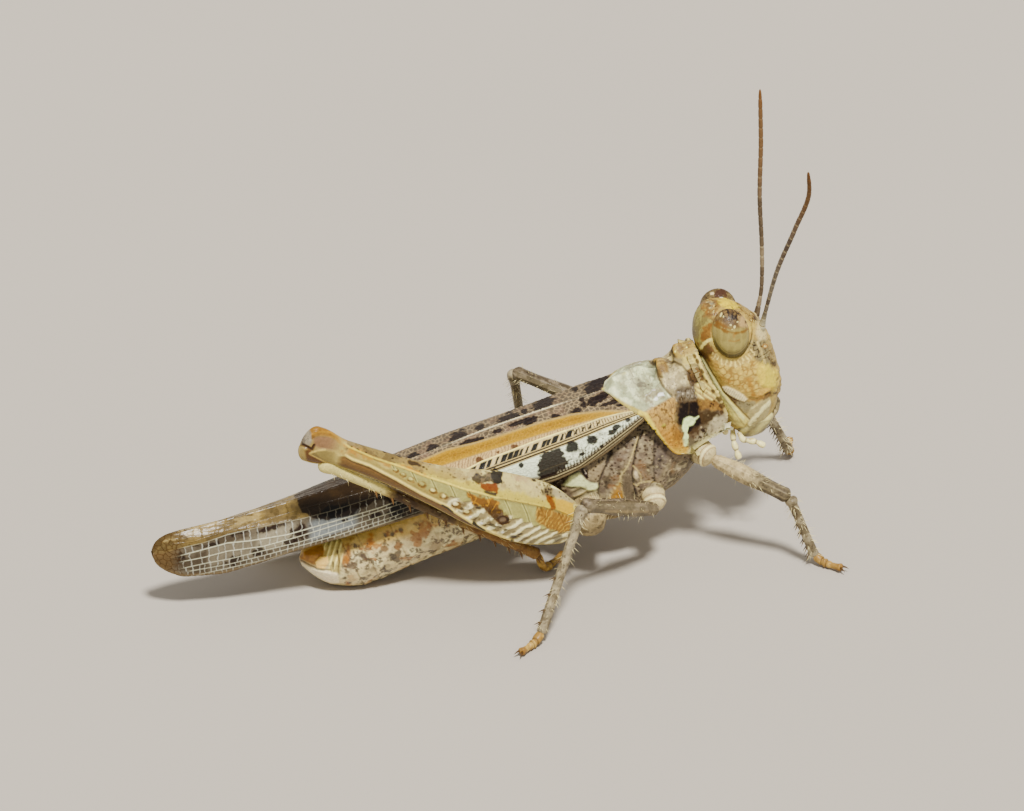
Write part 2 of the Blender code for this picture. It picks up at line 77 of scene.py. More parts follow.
def arr(*xs):
    return [np.asarray(x, float) for x in xs]


def smooth(a, b, x):
    t = np.clip((x - a) / (b - a), 0, 1)
    return t * t * (3 - 2 * t)


def through(xs, ys, x):
    """Monotone cubic curve through stations, read at x."""
    xs, ys, x = arr(xs, ys, x)
    h = np.diff(xs)
    d = np.diff(ys) / h
    m = np.zeros(len(xs))
    m[0], m[-1] = d[0], d[-1]
    for i in range(1, len(xs) - 1):
        if d[i - 1] * d[i] > 0:
            w1, w2 = 2 * h[i] + h[i - 1], h[i] + 2 * h[i - 1]
            m[i] = (w1 + w2) / (w1 / d[i - 1] + w2 / d[i])
    i = np.clip(np.searchsorted(xs, x) - 1, 0, len(xs) - 2)
    t = np.clip((x - xs[i]) / h[i], 0, 1)
    t2, t3 = t * t, t * t * t
    return ((2 * t3 - 3 * t2 + 1) * ys[i] + (t3 - 2 * t2 + t) * h[i] * m[i]
            + (-2 * t3 + 3 * t2) * ys[i + 1] + (t3 - t2) * h[i] * m[i + 1])


def mixed(cs, ys, c):
    """Like through, but ys are arrays of c's shape (one per station)."""
    c = np.asarray(c, float)
    cs = np.asarray(cs, float)
    ys = np.stack([np.broadcast_to(y, c.shape) for y in ys])
    h = np.diff(cs).reshape((-1,) + (1,) * c.ndim)
    d = np.diff(ys, axis=0) / h
    m = np.zeros_like(ys)
    m[0], m[-1] = d[0], d[-1]
    w1, w2 = 2 * h[1:] + h[:-1], h[1:] + 2 * h[:-1]
    same = d[:-1] * d[1:] > 0
    a, b = np.where(same, d[:-1], 1.0), np.where(same, d[1:], 1.0)
    m[1:-1] = np.where(same, (w1 + w2) / (w1 / a + w2 / b), 0)
    i = np.clip(np.searchsorted(cs, c, side="right") - 1, 0, len(cs) - 2)
    hh = (cs[i + 1] - cs[i])
    t = np.clip((c - cs[i]) / hh, 0, 1)
    pick = lambda q, k: np.take_along_axis(q, k[None], 0)[0]
    t2, t3 = t * t, t * t * t
    return ((2 * t3 - 3 * t2 + 1) * pick(ys, i) + (t3 - 2 * t2 + t) * hh * pick(m, i)
            + (-2 * t3 + 3 * t2) * pick(ys, i + 1) + (t3 - t2) * hh * pick(m, i + 1))


def scramble(ix, iy, iz, seed):
    with np.errstate(over="ignore"):
        n = (ix.astype(np.uint32) * np.uint32(374761393) + iy.astype(np.uint32) * np.uint32(668265263)
             + iz.astype(np.uint32) * np.uint32(2147483647 - 58) + np.uint32((seed * 974634777) & 0xffffffff))
        n = (n ^ (n >> np.uint32(13))) * np.uint32(1274126177)
        n = (n ^ (n >> np.uint32(15))) * np.uint32(2246822519)
        n ^= n >> np.uint32(16)
    return n.astype(np.float64) / 4294967295.0


def noise(p, size, seed=0):
    """Smooth value noise in -1..1 over points p, with features about size across."""
    q = np.asarray(p, float) / size + 1000.0
    i = np.floor(q).astype(np.int64)
    f = q - i
    f = f * f * f * (f * (f * 6 - 15) + 10)
    out = 0
    for dx in (0, 1):
        wx = f[..., 0] if dx else 1 - f[..., 0]
        for dy in (0, 1):
            wy = f[..., 1] if dy else 1 - f[..., 1]
            for dz in (0, 1):
                wz = f[..., 2] if dz else 1 - f[..., 2]
                out = out + wx * wy * wz * scramble(i[..., 0] + dx, i[..., 1] + dy, i[..., 2] + dz, seed)
    return out * 2 - 1


def fbm(p, size, octaves=4, seed=0, gain=0.5):
    total, amp, norm = 0, 1.0, 0
    for k in range(octaves):
        total = total + amp * noise(p, size / 2 ** k, seed + 17 * k)
        norm += amp
        amp *= gain
    return total / norm


def cells(p, size, seed=0, jitter=0.9):
    """Nearest and second nearest distance (in sizes) and an id, over random cells."""
    q = np.asarray(p, float) / size + 1000.0
    i = np.floor(q).astype(np.int64)
    f1 = np.full(q.shape[:-1], 9.0)
    f2 = np.full(q.shape[:-1], 9.0)
    who = np.zeros(q.shape[:-1])
    for dx in (-1, 0, 1):
        for dy in (-1, 0, 1):
            for dz in (-1, 0, 1):
                a, b, c = i[..., 0] + dx, i[..., 1] + dy, i[..., 2] + dz
                px = a + 0.5 + jitter * (scramble(a, b, c, seed) - 0.5)
                py = b + 0.5 + jitter * (scramble(a, b, c, seed + 1) - 0.5)
                pz = c + 0.5 + jitter * (scramble(a, b, c, seed + 2) - 0.5)
                d = np.sqrt((q[..., 0] - px) ** 2 + (q[..., 1] - py) ** 2 + (q[..., 2] - pz) ** 2)
                near = d < f1
                f2 = np.where(near, f1, np.minimum(f2, d))
                who = np.where(near, scramble(a, b, c, seed + 3), who)
                f1 = np.where(near, d, f1)
    return f1, f2, who


def cells2(u, v, seed=0, jitter=0.8, stagger=True):
    """Flat cells on a staggered grid, in cell units."""
    iv = np.floor(v).astype(np.int64)
    f1 = np.full(u.shape, 9.0)
    f2 = np.full(u.shape, 9.0)
    who = np.zeros(u.shape)
    zero = np.zeros_like(iv)
    for dv in (-1, 0, 1):
        b = iv + dv
        off = 0.5 * (b % 2) if stagger else 0.0
        iu = np.floor(u - off).astype(np.int64)
        for du in (-1, 0, 1):
            a = iu + du
            pu = a + off + 0.5 + jitter * (scramble(a, b, zero, seed) - 0.5)
            pv = b + 0.5 + jitter * (scramble(a, b, zero, seed + 1) - 0.5)
            d = np.sqrt((u - pu) ** 2 + (v - pv) ** 2)
            near = d < f1
            f2 = np.where(near, f1, np.minimum(f2, d))
            who = np.where(near, scramble(a, b, zero, seed + 3), who)
            f1 = np.where(near, d, f1)
    return f1, f2, who


def oval(n, power=2.0):
    a = np.arange(n) * 2 * math.pi / n
    c, s = np.cos(a), np.sin(a)
    e = 2.0 / power
    return np.sign(c) * np.abs(c) ** e, np.sign(s) * np.abs(s) ** e


# -------------------------------------------------------------- the side chart
CT, ST, CR, SR = math.cos(TURN), math.sin(TURN), math.cos(RISE), math.sin(RISE)
TO_EYE = np.array([-ST * CR, -CT * CR, SR])        # where the chart looks from


def chart(p, mirror=True):
    y = -np.abs(p[..., 1]) if mirror else p[..., 1]
    x, z = p[..., 0], p[..., 2]
    return (335 + UNITS * (x * CT - y * ST),
            592 - UNITS * (z * CR + (x * ST + y * CT) * SR))


def spot(c, u, v, ru, rv, deg=0.0, soft=0.3, rag=0.0):
    """Soft-edged oval; rag roughens its edge with the chart's noise."""
    U, V, R = c
    a = math.radians(deg)
    x, y = (U - u), (V - v)
    xr, yr = x * math.cos(a) + y * math.sin(a), -x * math.sin(a) + y * math.cos(a)
    q = np.sqrt((xr / ru) ** 2 + (yr / rv) ** 2)
    if rag:
        q = q + rag * R
    return 1 - smooth(1 - soft, 1 + soft, q)


def away(c, pts):
    """Distance to a broken line, and how far along it (0..1)."""
    U, V = c[0], c[1]
    pts = np.asarray(pts, float)
    seg = np.diff(pts, axis=0)
    ln = np.hypot(seg[:, 0], seg[:, 1])
    at = np.concatenate([[0], np.cumsum(ln)])
    best = np.full(U.shape, 1e9)
    along = np.zeros(U.shape)
    for i in range(len(seg)):
        t = np.clip(((U - pts[i, 0]) * seg[i, 0] + (V - pts[i, 1]) * seg[i, 1]) / max(ln[i] ** 2, 1e-9), 0, 1)
        d = np.hypot(U - pts[i, 0] - t * seg[i, 0], V - pts[i, 1] - t * seg[i, 1])
        near = d < best
        best = np.where(near, d, best)
        along = np.where(near, (at[i] + t * ln[i]) / at[-1], along)
    return best, along


def line(c, pts, w, soft=0.8, w1=None, rag=0.0):
    d, t = away(c, pts)
    if w1 is not None:
        w = w + (w1 - w) * t
    if rag:
        d = d + rag * c[2] * w
    return 1 - smooth(np.maximum(w - soft, 0), w + soft, d)


def inside(c, pts, soft=1.5, rag=0.0):
    """Soft mask of a polygon in the chart."""
    U, V, R = c
    pts = np.asarray(pts, float)
    n = len(pts)
    odd = np.zeros(U.shape, bool)
    best = np.full(U.shape, 1e9)
    for i in range(n):
        x0, y0 = pts[i]
        x1, y1 = pts[(i + 1) % n]
        hit = ((y0 > V) != (y1 > V)) & (U < (x1 - x0) * (V - y0) / ((y1 - y0) if y1 != y0 else 1e-9) + x0)
        odd ^= hit
        sx, sy = x1 - x0, y1 - y0
        t = np.clip(((U - x0) * sx + (V - y0) * sy) / max(sx * sx + sy * sy, 1e-9), 0, 1)
        best = np.minimum(best, np.hypot(U - x0 - t * sx, V - y0 - t * sy))
    signed = np.where(odd, best, -best)
    if rag:
        signed = signed + rag * R
    return smooth(-soft, soft, signed)


# -------------------------------------------------------------------- colours
SEEN = [0, 18, 32, 51, 76, 96, 118, 136, 153, 170, 184, 197, 207, 217, 226]
LIT = [0, .01, .02, .04, .08, .12, .18, .25, .35, .5, .7, 1.0, 1.4, 2.0, 2.8]
FULL_LIGHT = np.array([2.35, 2.28, 2.12])
VEIL = 0.016                       # what gloss adds everywhere
WIDE_SPACE = np.array([[0.6274, 0.3293, 0.0433], [0.0691, 0.9195, 0.0113], [0.0164, 0.0880, 0.8956]])
PULL_IN = np.array([[0.8566, 0.0951, 0.0483], [0.1373, 0.7612, 0.1014], [0.1119, 0.0768, 0.8113]])
PUSH_OUT = np.array([[1.1271, -0.1106, -0.0165], [-0.1413, 1.1578, -0.0165], [-0.1413, -0.1106, 1.2519]])


def even(c):
    """Eye-even 0..255 values as light."""
    c = np.asarray(c, float) / 255
    return np.where(c <= 0.04045, c / 12.92, ((c + 0.055) / 1.055) ** 2.4)


def rgb(r, g, b):
    """The surface colour that looks like this 0..255 colour in full light."""
    c = np.maximum(WIDE_SPACE @ even([r, g, b]), 0) ** (1 / 2.2)
    c = np.interp(np.linalg.solve(PUSH_OUT, c), even(SEEN) ** (1 / 2.2), LIT)
    c = np.linalg.solve(WIDE_SPACE, np.linalg.solve(PULL_IN, c))
    return np.clip((np.maximum(c, 0.002) - VEIL) / FULL_LIGHT, 0.0015, 0.95)


def lay(col, mask, colour, strength=1.0):
    m = np.clip(mask * strength, 0, 1)[..., None]
    return col * (1 - m) + np.asarray(colour) * m


# --------------------------------------------------------------------- meshes
def normals_of(p, closed):
    """Normals of a grid of points (nu, nv, 3)."""
    du = np.gradient(p, axis=0)
    if closed:
        dv = (np.roll(p, -1, 1) - np.roll(p, 1, 1)) / 2
    else:
        dv = np.gradient(p, axis=1)
    n = np.cross(du, dv)
    return n / np.maximum(np.linalg.norm(n, axis=-1, keepdims=True), 1e-12)


def to_row(p):
    return (np.asarray(p, float) - np.array([X_MID, Y_MID, FLOOR])) * 0.001


ALL = bpy.data.collections.new("grasshopper_visual")
bpy.context.scene.collection.children.link(ALL)


def build_mesh(name, verts, faces, cols, look, material, uv=None, nodes=(), smooth_shade=True):
    """verts in mm; faces: list of int arrays (n, k); cols (N, 3); look (N,) roughness."""
    me = bpy.data.meshes.new(name)
    co = to_row(verts).astype(np.float32)
    me.vertices.add(len(co))
    me.vertices.foreach_set("co", co.ravel())
    loops = np.concatenate([f.ravel() for f in faces]).astype(np.int32)
    sizes = np.concatenate([np.full(len(f), f.shape[1]) for f in faces])
    me.loops.add(len(loops))
    me.loops.foreach_set("vertex_index", loops)
    me.polygons.add(len(sizes))
    me.polygons.foreach_set("loop_start", np.concatenate([[0], np.cumsum(sizes)[:-1]]).astype(np.int32))
    me.update(calc_edges=True)
    me.validate()
    a = me.color_attributes.new("Tint", "FLOAT_COLOR", "POINT")
    rgba = np.ones((len(co), 4), np.float32)
    rgba[:, :3] = np.clip(cols, 0, 1)
    a.data.foreach_set("color", rgba.ravel())
    b = me.color_attributes.new("Finish", "FLOAT_COLOR", "POINT")
    fin = np.zeros((len(co), 4), np.float32)
    fin[:, 0] = fin[:, 1] = fin[:, 2] = look
    fin[:, 3] = 1
    b.data.foreach_set("color", fin.ravel())
    if uv is not None:
        layer = me.uv_layers.new(name="OFBake")
        layer.data.foreach_set("uv", np.asarray(uv, np.float32)[loops].ravel())
    me.materials.append(material)
    if smooth_shade:
        me.shade_smooth()
    ob = bpy.data.objects.new(name, me)
    ALL.objects.link(ob)
    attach(ob, "root")
    if nodes:
        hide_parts(*nodes)
    return ob


def grid_faces(nu, nv, closed, flip=False):
    i, j = np.meshgrid(np.arange(nu - 1), np.arange(nv if closed else nv - 1), indexing="ij")
    k = (j + 1) % nv
    f = np.stack([i * nv + j, i * nv + k, (i + 1) * nv + k, (i + 1) * nv + j], -1).reshape(-1, 4)
    return f[:, ::-1] if flip else f


def caps(nu, nv, base, a, b, flip=False):
    j = np.arange(nv)
    k = (j + 1) % nv
    first = np.stack([np.full(nv, a), k + base, j + base], -1)
    last = np.stack([np.full(nv, b), base + (nu - 1) * nv + j, base + (nu - 1) * nv + k], -1)
    f = np.concatenate([first, last])
    return f[:, ::-1] if flip else f


def grid_piece(name, p, col, look, material, closed=True, capped=True, flip=False, nodes=(), mirror=False):
    nu, nv = p.shape[:2]
    verts = p.reshape(-1, 3)
    c = col.reshape(-1, 3)
    r = look.reshape(-1)
    faces = [grid_faces(nu, nv, closed, flip)]
    if closed and capped:
        verts = np.concatenate([verts, p[0].mean(0)[None], p[-1].mean(0)[None]])
        c = np.concatenate([c, col[0].mean(0)[None], col[-1].mean(0)[None]])
        r = np.concatenate([r, [look[0].mean()], [look[-1].mean()]])
        faces.append(caps(nu, nv, 0, nu * nv, nu * nv + 1, flip))
    if mirror:
        verts = verts * np.array([1, -1, 1])
        faces = [f[:, ::-1] for f in faces]
    return build_mesh(name, verts, faces, c, r, material, nodes=nodes)


# ------------------------------------------------------------------- materials
def cuticle(name, coat=0.0, fine=0.35, grain=0.09, bump=0.25, flesh=0.0, tone=0.10):
    """Shell of an insect: painted colour, a little fine grain in tone and relief."""
    m = bpy.data.materials.new(name)
    m.use_nodes = True
    nt = m.node_tree
    n, l = nt.nodes, nt.links
    b = n["Principled BSDF"]
    tint = n.new("ShaderNodeAttribute")
    tint.attribute_name = "Tint"
    fin = n.new("ShaderNodeAttribute")
    fin.attribute_name = "Finish"
    tc = n.new("ShaderNodeTexCoord")
    g = n.new("ShaderNodeTexNoise")
    g.inputs["Scale"].default_value = 1000.0 / grain
    g.inputs["Detail"].default_value = 3.0
    l.new(tc.outputs["Object"], g.inputs["Vector"])
    ramp = n.new("ShaderNodeMapRange")
    ramp.inputs["From Min"].default_value = 0.25
    ramp.inputs["From Max"].default_value = 0.75
    ramp.inputs["To Min"].default_value = 1.0 - tone
    ramp.inputs["To Max"].default_value = 1.0 + tone
    l.new(g.outputs["Fac"], ramp.inputs["Value"])
    mul = n.new("ShaderNodeVectorMath")
    mul.operation = "SCALE"
    l.new(tint.outputs["Color"], mul.inputs[0])
    l.new(ramp.outputs["Result"], mul.inputs["Scale"])
    l.new(mul.outputs["Vector"], b.inputs["Base Color"])
    l.new(fin.outputs["Fac"], b.inputs["Roughness"])
    bp = n.new("ShaderNodeBump")
    bp.inputs["Strength"].default_value = bump
    bp.inputs["Distance"].default_value = 0.00002
    l.new(g.outputs["Fac"], bp.inputs["Height"])
    l.new(bp.outputs["Normal"], b.inputs["Normal"])
    b.inputs["Specular IOR Level"].default_value = fine
    b.inputs["Coat Weight"].default_value = coat
    b.inputs["Coat Roughness"].default_value = 0.12
    if flesh:
        b.inputs["Subsurface Weight"].default_value = flesh
        b.inputs["Subsurface Radius"].default_value = (1.0, 0.6, 0.3)
        b.inputs["Subsurface Scale"].default_value = 0.00025
    return m


M_HEAD = cuticle("skin_head", coat=0.06, fine=0.20, bump=0.5, tone=0.16, flesh=0.08)
M_EYE = cuticle("skin_eye", coat=0.03, fine=0.28, grain=0.05, bump=0.06, tone=0.08)
M_MOUTH = cuticle("skin_mouth", coat=0.06, fine=0.22, bump=0.35, tone=0.14, flesh=0.08)
M_FEELER = cuticle("skin_feeler", coat=0.0, fine=0.15, bump=0.4, tone=0.18)
M_PRON = cuticle("skin_pronotum", coat=0.02, fine=0.16, grain=0.11, bump=0.55, tone=0.14, flesh=0.06)
M_BODY = cuticle("skin_thorax", coat=0.05, fine=0.20, grain=0.10, bump=0.6, tone=0.20)
M_BELLY = cuticle("skin_abdomen", coat=0.18, fine=0.35, bump=0.35, tone=0.14, flesh=0.08)
M_WING = cuticle("skin_wing", coat=0.02, fine=0.15, grain=0.07, bump=0.25, tone=0.14)
M_THIGH = cuticle("skin_thigh", coat=0.09, fine=0.22, grain=0.10, bump=0.35, tone=0.12, flesh=0.08)
M_LEG = cuticle("skin_leg", coat=0.04, fine=0.18, bump=0.5, tone=0.20)

# ------------------------------------------------------------ surface workflow
def chart3(p, seed=5, size=0.28):
    u, v = chart(p)
    q = np.array(p, float)
    q = np.concatenate([q[..., :1], np.abs(q[..., 1:2]), q[..., 2:]], -1)
    return u, v, np.clip(2.6 * fbm(q, size, 3, seed), -1.5, 1.5)


def facing(p, n):
    m = n * np.stack([np.ones(p.shape[:-1]), np.where(p[..., 1] > 0, -1.0, 1.0), np.ones(p.shape[:-1])], -1)
    return m @ TO_EYE


def blots(p, size, seed, lo=0.05, hi=0.45):
    """Irregular patches of about this size, as a mask."""
    return smooth(lo, hi, 2.2 * fbm(p, size, 4, seed))


def specks(p, size, seed, r=0.28, keep=0.5, soft=0.1):
    """Scattered round dots, as a mask."""
    f1, f2, who = cells(p, size, seed)
    return (1 - smooth(r - soft, r + soft, f1)) * (who < keep)


def worms(p, size, seed, w=0.12):
    """Winding thin lines, as a mask."""
    return 1 - smooth(0.45 * w, w, np.abs(noise(p, size, seed)))


def folded(p):
    """Points with the left side laid over the right, for patterns alike on both sides."""
    return np.stack([p[..., 0], np.abs(p[..., 1]), p[..., 2]], -1)


def blur(a, r, wrap=False):
    out = a
    for axis in (0, 1):
        mode = "wrap" if (wrap and axis == 1) else "edge"
        pad = [(0, 0), (0, 0)]
        pad[axis] = (r, r)
        b = np.pad(out, pad, mode=mode)
        c = np.cumsum(b, axis=axis)
        z = np.zeros_like(np.take(c, [0], axis))
        c = np.concatenate([z, c], axis)
        n = a.shape[axis]
        out = (np.take(c, np.arange(2 * r + 1, 2 * r + 1 + n), axis) - np.take(c, np.arange(n), axis)) / (2 * r + 1)
    return out


def wrap_edges(p, n, t, sides, lip=0.45):
    """Rounds the free edges of a plate and folds them under. sides: 'a' first row, 'z' last row,
    'l' first column, 'r' last column. Returns the padded points and an index map for attributes."""
    idx = np.arange(p.shape[0] * p.shape[1]).reshape(p.shape[:2])
    angs = np.radians([35, 75, 115, 150, 180])

    def pad(p, n, idx, axis, last):
        e = np.take(p, [-1 if last else 0], axis)
        i = np.take(p, [-3 if last else 2], axis)
        nn = np.take(n, [-1 if last else 0], axis)
        o = e - i
        o = o - nn * (o * nn).sum(-1, keepdims=True)
        o = o / np.maximum(np.linalg.norm(o, axis=-1, keepdims=True), 1e-9)
        rows = [e + o * math.sin(a) * t / 2 - nn * (1 - math.cos(a)) * t / 2 for a in angs]
        rows.append(e - nn * t * 1.1 - o * lip)
        rn = [nn * math.cos(a) + o * math.sin(a) for a in angs] + [-nn]
        ie = np.take(idx, [-1 if last else 0], axis)
        if last:
            return (np.concatenate([p] + rows, axis), np.concatenate([n] + rn, axis),
                    np.concatenate([idx] + [ie] * len(rows), axis))
        return (np.concatenate(rows[::-1] + [p], axis), np.concatenate(rn[::-1] + [n], axis),
                np.concatenate([ie] * len(rows) + [idx], axis))

    for s in sides:
        p, n, idx = pad(p, n, idx, 0 if s in "az" else 1, s in "zr")
    return p, idx


def count(n):
    return max(8, int(n * F))


# tones of the animal
WHITE = rgb(222, 223, 210)
CHALK = rgb(205, 203, 184)
DISC = rgb(201, 199, 177)
CREAM = rgb(208, 199, 166)
BUFF = rgb(196, 178, 132)
YELLOW = rgb(205, 186, 132)
OCHRE = rgb(200, 158, 84)
ORANGE = rgb(186, 138, 72)
RUST = rgb(150, 92, 44)
TAN = rgb(165, 138, 98)
GREY = rgb(168, 156, 134)
GREYBROWN = rgb(136, 119, 95)
BROWN = rgb(108, 84, 56)
UMBER = rgb(78, 57, 36)
DARK = rgb(48, 34, 21)
BLACK = rgb(30, 21, 13)

B = math.radians(23.1)
BACKW = np.array([-math.cos(B), 0, -math.sin(B)])
UPW = np.array([-math.sin(B), 0, math.cos(B)])
FRONT = np.array([15.75, 0, 9.95])


def body_point(s, y, h):
    s, y, h = np.broadcast_arrays(*arr(s, y, h))
    return FRONT + s[..., None] * BACKW + h[..., None] * UPW + y[..., None] * np.array([0, 1.0, 0])


def body_coords(p):
    q = p - FRONT
    return q @ BACKW, p[..., 1], q @ UPW


# ------------------------------------------------------------------- pronotum
def crest(s):
    return through([0, 0.4, 0.79, 0.96, 1.16, 1.37, 1.6, 1.74, 1.9, 2.15, 2.6, 3.35, 4.3, 4.6],
                   [0.06, 0.15, 0.28, 0.18, -0.07, -0.15, 0.0, 0.05, -0.12, -0.2, -0.1, -0.03, 0.0, 0.0], s)


def pronotum_surface(c, r):
    """c from -1 (left lower edge) over the crest to 1 (right lower edge); r from the front margin to the hind one."""
    side = np.where(c > 0, -1.0, 1.0)
    a = np.abs(c)
    start = through([0, 0.4, 0.8, 1.0], [0.0, 0.06, 0.14, 0.5], a)
    end = through([0, 0.2, 0.42, 0.6, 0.8, 0.92, 1.0], [4.30, 3.86, 3.32, 3.08, 2.9, 2.7, 2.2], a)
    s = start + (end - start) * r
    sw = through([0, 0.9, 1.4, 2.2, 3.2, 4.4], [1.30, 1.22, 1.25, 1.62, 1.98, 2.02], s)
    sh = through([0, 0.8, 1.6, 2.3, 3.2, 4.4], [-0.62, -0.72, -0.86, -0.80, -0.86, -0.95], s)
    lw = through([0, 1.2, 2.4, 3.4], [1.78, 1.86, 2.12, 2.22], s)
    top = crest(s)
    cs = [0.0, 0.10, 0.42, 0.62, 0.86, 1.0]
    y = mixed(cs, [0 * s, 0.24 * sw, sw, 0.5 * (sw + lw) + 0.12, lw, lw - 0.06], a)
    h = mixed(cs, [top, 0.62 * top + 0.2 * sh, sh, -1.85 + 0 * s, -3.05 + 0 * s, -3.62 + 0 * s], a)
    return body_point(s, side * y, h)


def make_pronotum():
    nc, nr = count(250), count(130)
    c, r = np.meshgrid(np.linspace(-1, 1, nc), np.linspace(0, 1, nr), indexing="ij")
    p = pronotum_surface(c, r)
    n = normals_of(p, False)
    if (n[nc // 2, nr // 2] @ UPW) < 0:
        n = -n
    C = chart3(p)
    s, y, h = body_coords(p)
    fp = folded(p)
    fine = fbm(fp, 0.18, 4, 31)
    U, V, R = C
    wrinkle = np.abs(noise(fp * np.array([1.0, 1.3, 1.6]), 0.20, 7))
    disc = inside(C, [(600, 400), (603.6, 386.4), (607, 378), (612, 367), (626, 359), (634, 354), (642, 354), (651, 361), (654.6, 366), (656.6, 376.4),
                      (662, 386), (672.5, 396.3), (662, 402.5), (651, 408.5), (643, 412.5), (620, 412)], 1.4, 0.6)
    sulcus = line(C, [(653.5, 357), (655.5, 367), (657.5, 376), (663, 386), (672, 396)], 0.9, 1.0)
    sulcus = np.maximum(sulcus, line(C, [(667, 361.5), (674, 362), (682, 365.5), (688, 373), (691, 381)], 0.9, 1.0))
    front = line(C, [(696.5, 354), (701, 366), (706, 377), (713, 387), (719.5, 397), (725, 408), (728, 418), (728.6, 429)], 1.5, 1.4)
    callus = inside(C, [(675, 389), (683, 385), (697, 384.5), (705, 388), (703, 398), (695, 404), (677, 404)], 3, 1)
    band = inside(C, [(643, 412.5), (651, 408.5), (662, 402.5), (672.5, 396.3), (675.6, 404), (674.6, 422), (680, 430), (683, 440), (690, 450),
                      (690, 462), (673.5, 461), (664, 449), (652, 432)], 2.0, 1)
    lobe = inside(C, [(675, 404), (698, 400), (724, 404), (730, 430), (722, 442), (700, 452), (684, 455), (676, 430)], 3)
    lump = np.maximum(spot(C, 682, 350, 11, 7, 20, 0.6), spot(C, 661, 367, 6.5, 7, 20, 0.6))
    comma = np.maximum.reduce([spot(C, 689.2, 421.4, 6.6, 4.9, -14, 0.18, 0.12), line(C, [(693, 420), (696.4, 418.2), (698.6, 416.4)], 1.5, 0.8, 0.5),
                               line(C, [(686.6, 424), (686.4, 430), (686.2, 437)], 3.1, 0.9, 2.4, 0.5), 0.75 * line(C, [(686.4, 436), (686, 444)], 2.2, 1.6, 1.2, 0.8)])
    f1, f2, who = cells(fp, 0.13, 3)
    dots = (1 - smooth(0.20, 0.36, f1)) * (who < 0.5)
    f1b, f2b, whob = cells(fp, 0.24, 44)
    fine_net = worms(fp, 0.16, 46, 0.16)
    d = 0.010 * fine + 0.030 * callus * smooth(0.05, 0.35, wrinkle) - 0.05 * sulcus + 0.045 * front + 0.06 * lump + 0.035 * comma
    d = d + 0.018 * band + 0.010 * disc * fbm(fp, 0.7, 3, 8) - 0.02 * inside(C, [(676, 404), (697, 404), (697, 425), (677, 426)], 3)
    rough_zone = np.clip(lobe + 0.5 * band + callus + 1 - disc, 0, 1)
    d = d - 0.016 * dots * rough_zone + 0.020 * (0.4 - f1b) * np.clip(lobe + callus, 0, 1) - 0.008 * fine_net * rough_zone
    glossy = inside(C, [(647, 396), (655, 391), (665, 394), (663, 401), (652, 404)], 3, 1.5)
    d = d + 0.02 * glossy * smooth(0.05, 0.3, wrinkle) - 0.006 * worms(fp, 0.22, 47, 0.12) * disc
    med = np.exp(-(y / 0.05) ** 2)
    crown = np.exp(-(y / 0.7) ** 2)
    d = d + 0.03 * med + 0.24 * crown * smooth(604, 616, U) * (1 - smooth(640, 652, U))
    d = d - 0.20 * np.exp(-(y / 0.6) ** 2) * np.exp(-((U - 653.6) / 2.2) ** 2) - 0.14 * np.exp(-(y / 0.6) ** 2) * np.exp(-((U - 670.5) / 2.2) ** 2)
    q = p + n * d[..., None]
    painted_relief_shading = d - blur(d, 4)

    # colours
    col = np.broadcast_to(rgb(172, 152, 120), p.shape).copy()
    mot = 2.0 * fbm(fp, 0.5, 4, 12)
    grain = fbm(fp, 0.12, 3, 13)
    col = lay(col, smooth(-0.1, 0.5, mot), rgb(180, 160, 120))
    # fore part: crest bumps, notch, dotted brown
    pro = inside(C, [(654, 362), (664, 352), (690, 338), (704, 352), (728, 404), (700, 404), (676, 400), (668, 392), (660, 380)], 3)
    col = lay(col, pro, rgb(178, 162, 130))
    col = lay(col, pro * blots(fp, 0.28, 23), rgb(204, 194, 164), 0.8)
    greyc = inside(C, [(664, 372), (672, 365), (681, 368), (688, 376), (689, 386), (678, 390), (670, 390), (663, 382)], 2.4, 1.5)
    col = lay(col, greyc, rgb(192, 182, 156), 0.9)
    col = lay(col, greyc * blots(fp, 0.2, 26), rgb(210, 202, 182), 0.7)
    col = lay(col, inside(C, [(680, 356), (694, 350), (700, 362), (696, 366), (684, 366)], 2.4, 1.5), rgb(206, 194, 150), 0.85)
    b2 = inside(C, [(654, 362), (657, 359), (664, 359.5), (668.5, 363), (668, 371), (662, 376), (657, 375), (654.6, 368)], 1.6, 1.2)
    col = lay(col, b2, rgb(164, 134, 84), 0.92)
    col = lay(col, b2 * blots(fp, 0.2, 27), rgb(192, 170, 118), 0.7)
    col = lay(col, b2 * worms(fp, 0.16, 33, 0.2), rgb(136, 108, 70), 0.6)
    col = lay(col, line(C, [(653.6, 360), (655.6, 369), (659, 376), (662, 377)], 1.7, 1.2, 1.0, 0.4), rgb(104, 76, 48), 0.85)
    col = lay(col, line(C, [(656, 358.6), (662, 357.6), (668, 360), (672, 362)], 1.0, 1.0, 0.7, 0.4), rgb(120, 88, 56), 0.7)
    b1 = inside(C, [(669, 340), (678, 336), (692, 338), (696, 346), (692, 354), (682, 357), (673, 356), (669, 348)], 2, 1.2)
    col = lay(col, b1, rgb(190, 170, 116), 0.92)
    col = lay(col, b1 * blots(fp, 0.22, 28, 0.15, 0.5), rgb(166, 134, 78), 0.8)
    col = lay(col, b1 * worms(fp, 0.16, 34, 0.2), rgb(138, 108, 64), 0.6)
    col = lay(col, b1 * specks(fp, 0.15, 29, 0.28, 0.3), rgb(224, 216, 188), 0.9)
    col = lay(col, line(C, [(669, 345), (671.6, 352), (675, 356.5)], 1.5, 1.2, 1.0, 0.4), rgb(96, 70, 42), 0.85)
    brownp = inside(C, [(686, 371), (691, 366.5), (697, 365.5), (702, 369), (706, 377), (704, 383), (697, 385.5), (690, 383), (686, 377)], 1.6, 1.8)
    col = lay(col, brownp, rgb(146, 108, 60), 0.95)
    col = lay(col, brownp * smooth(371, 381, V - 0.25 * (U - 695) + 3 * R), rgb(98, 70, 46), 0.8)
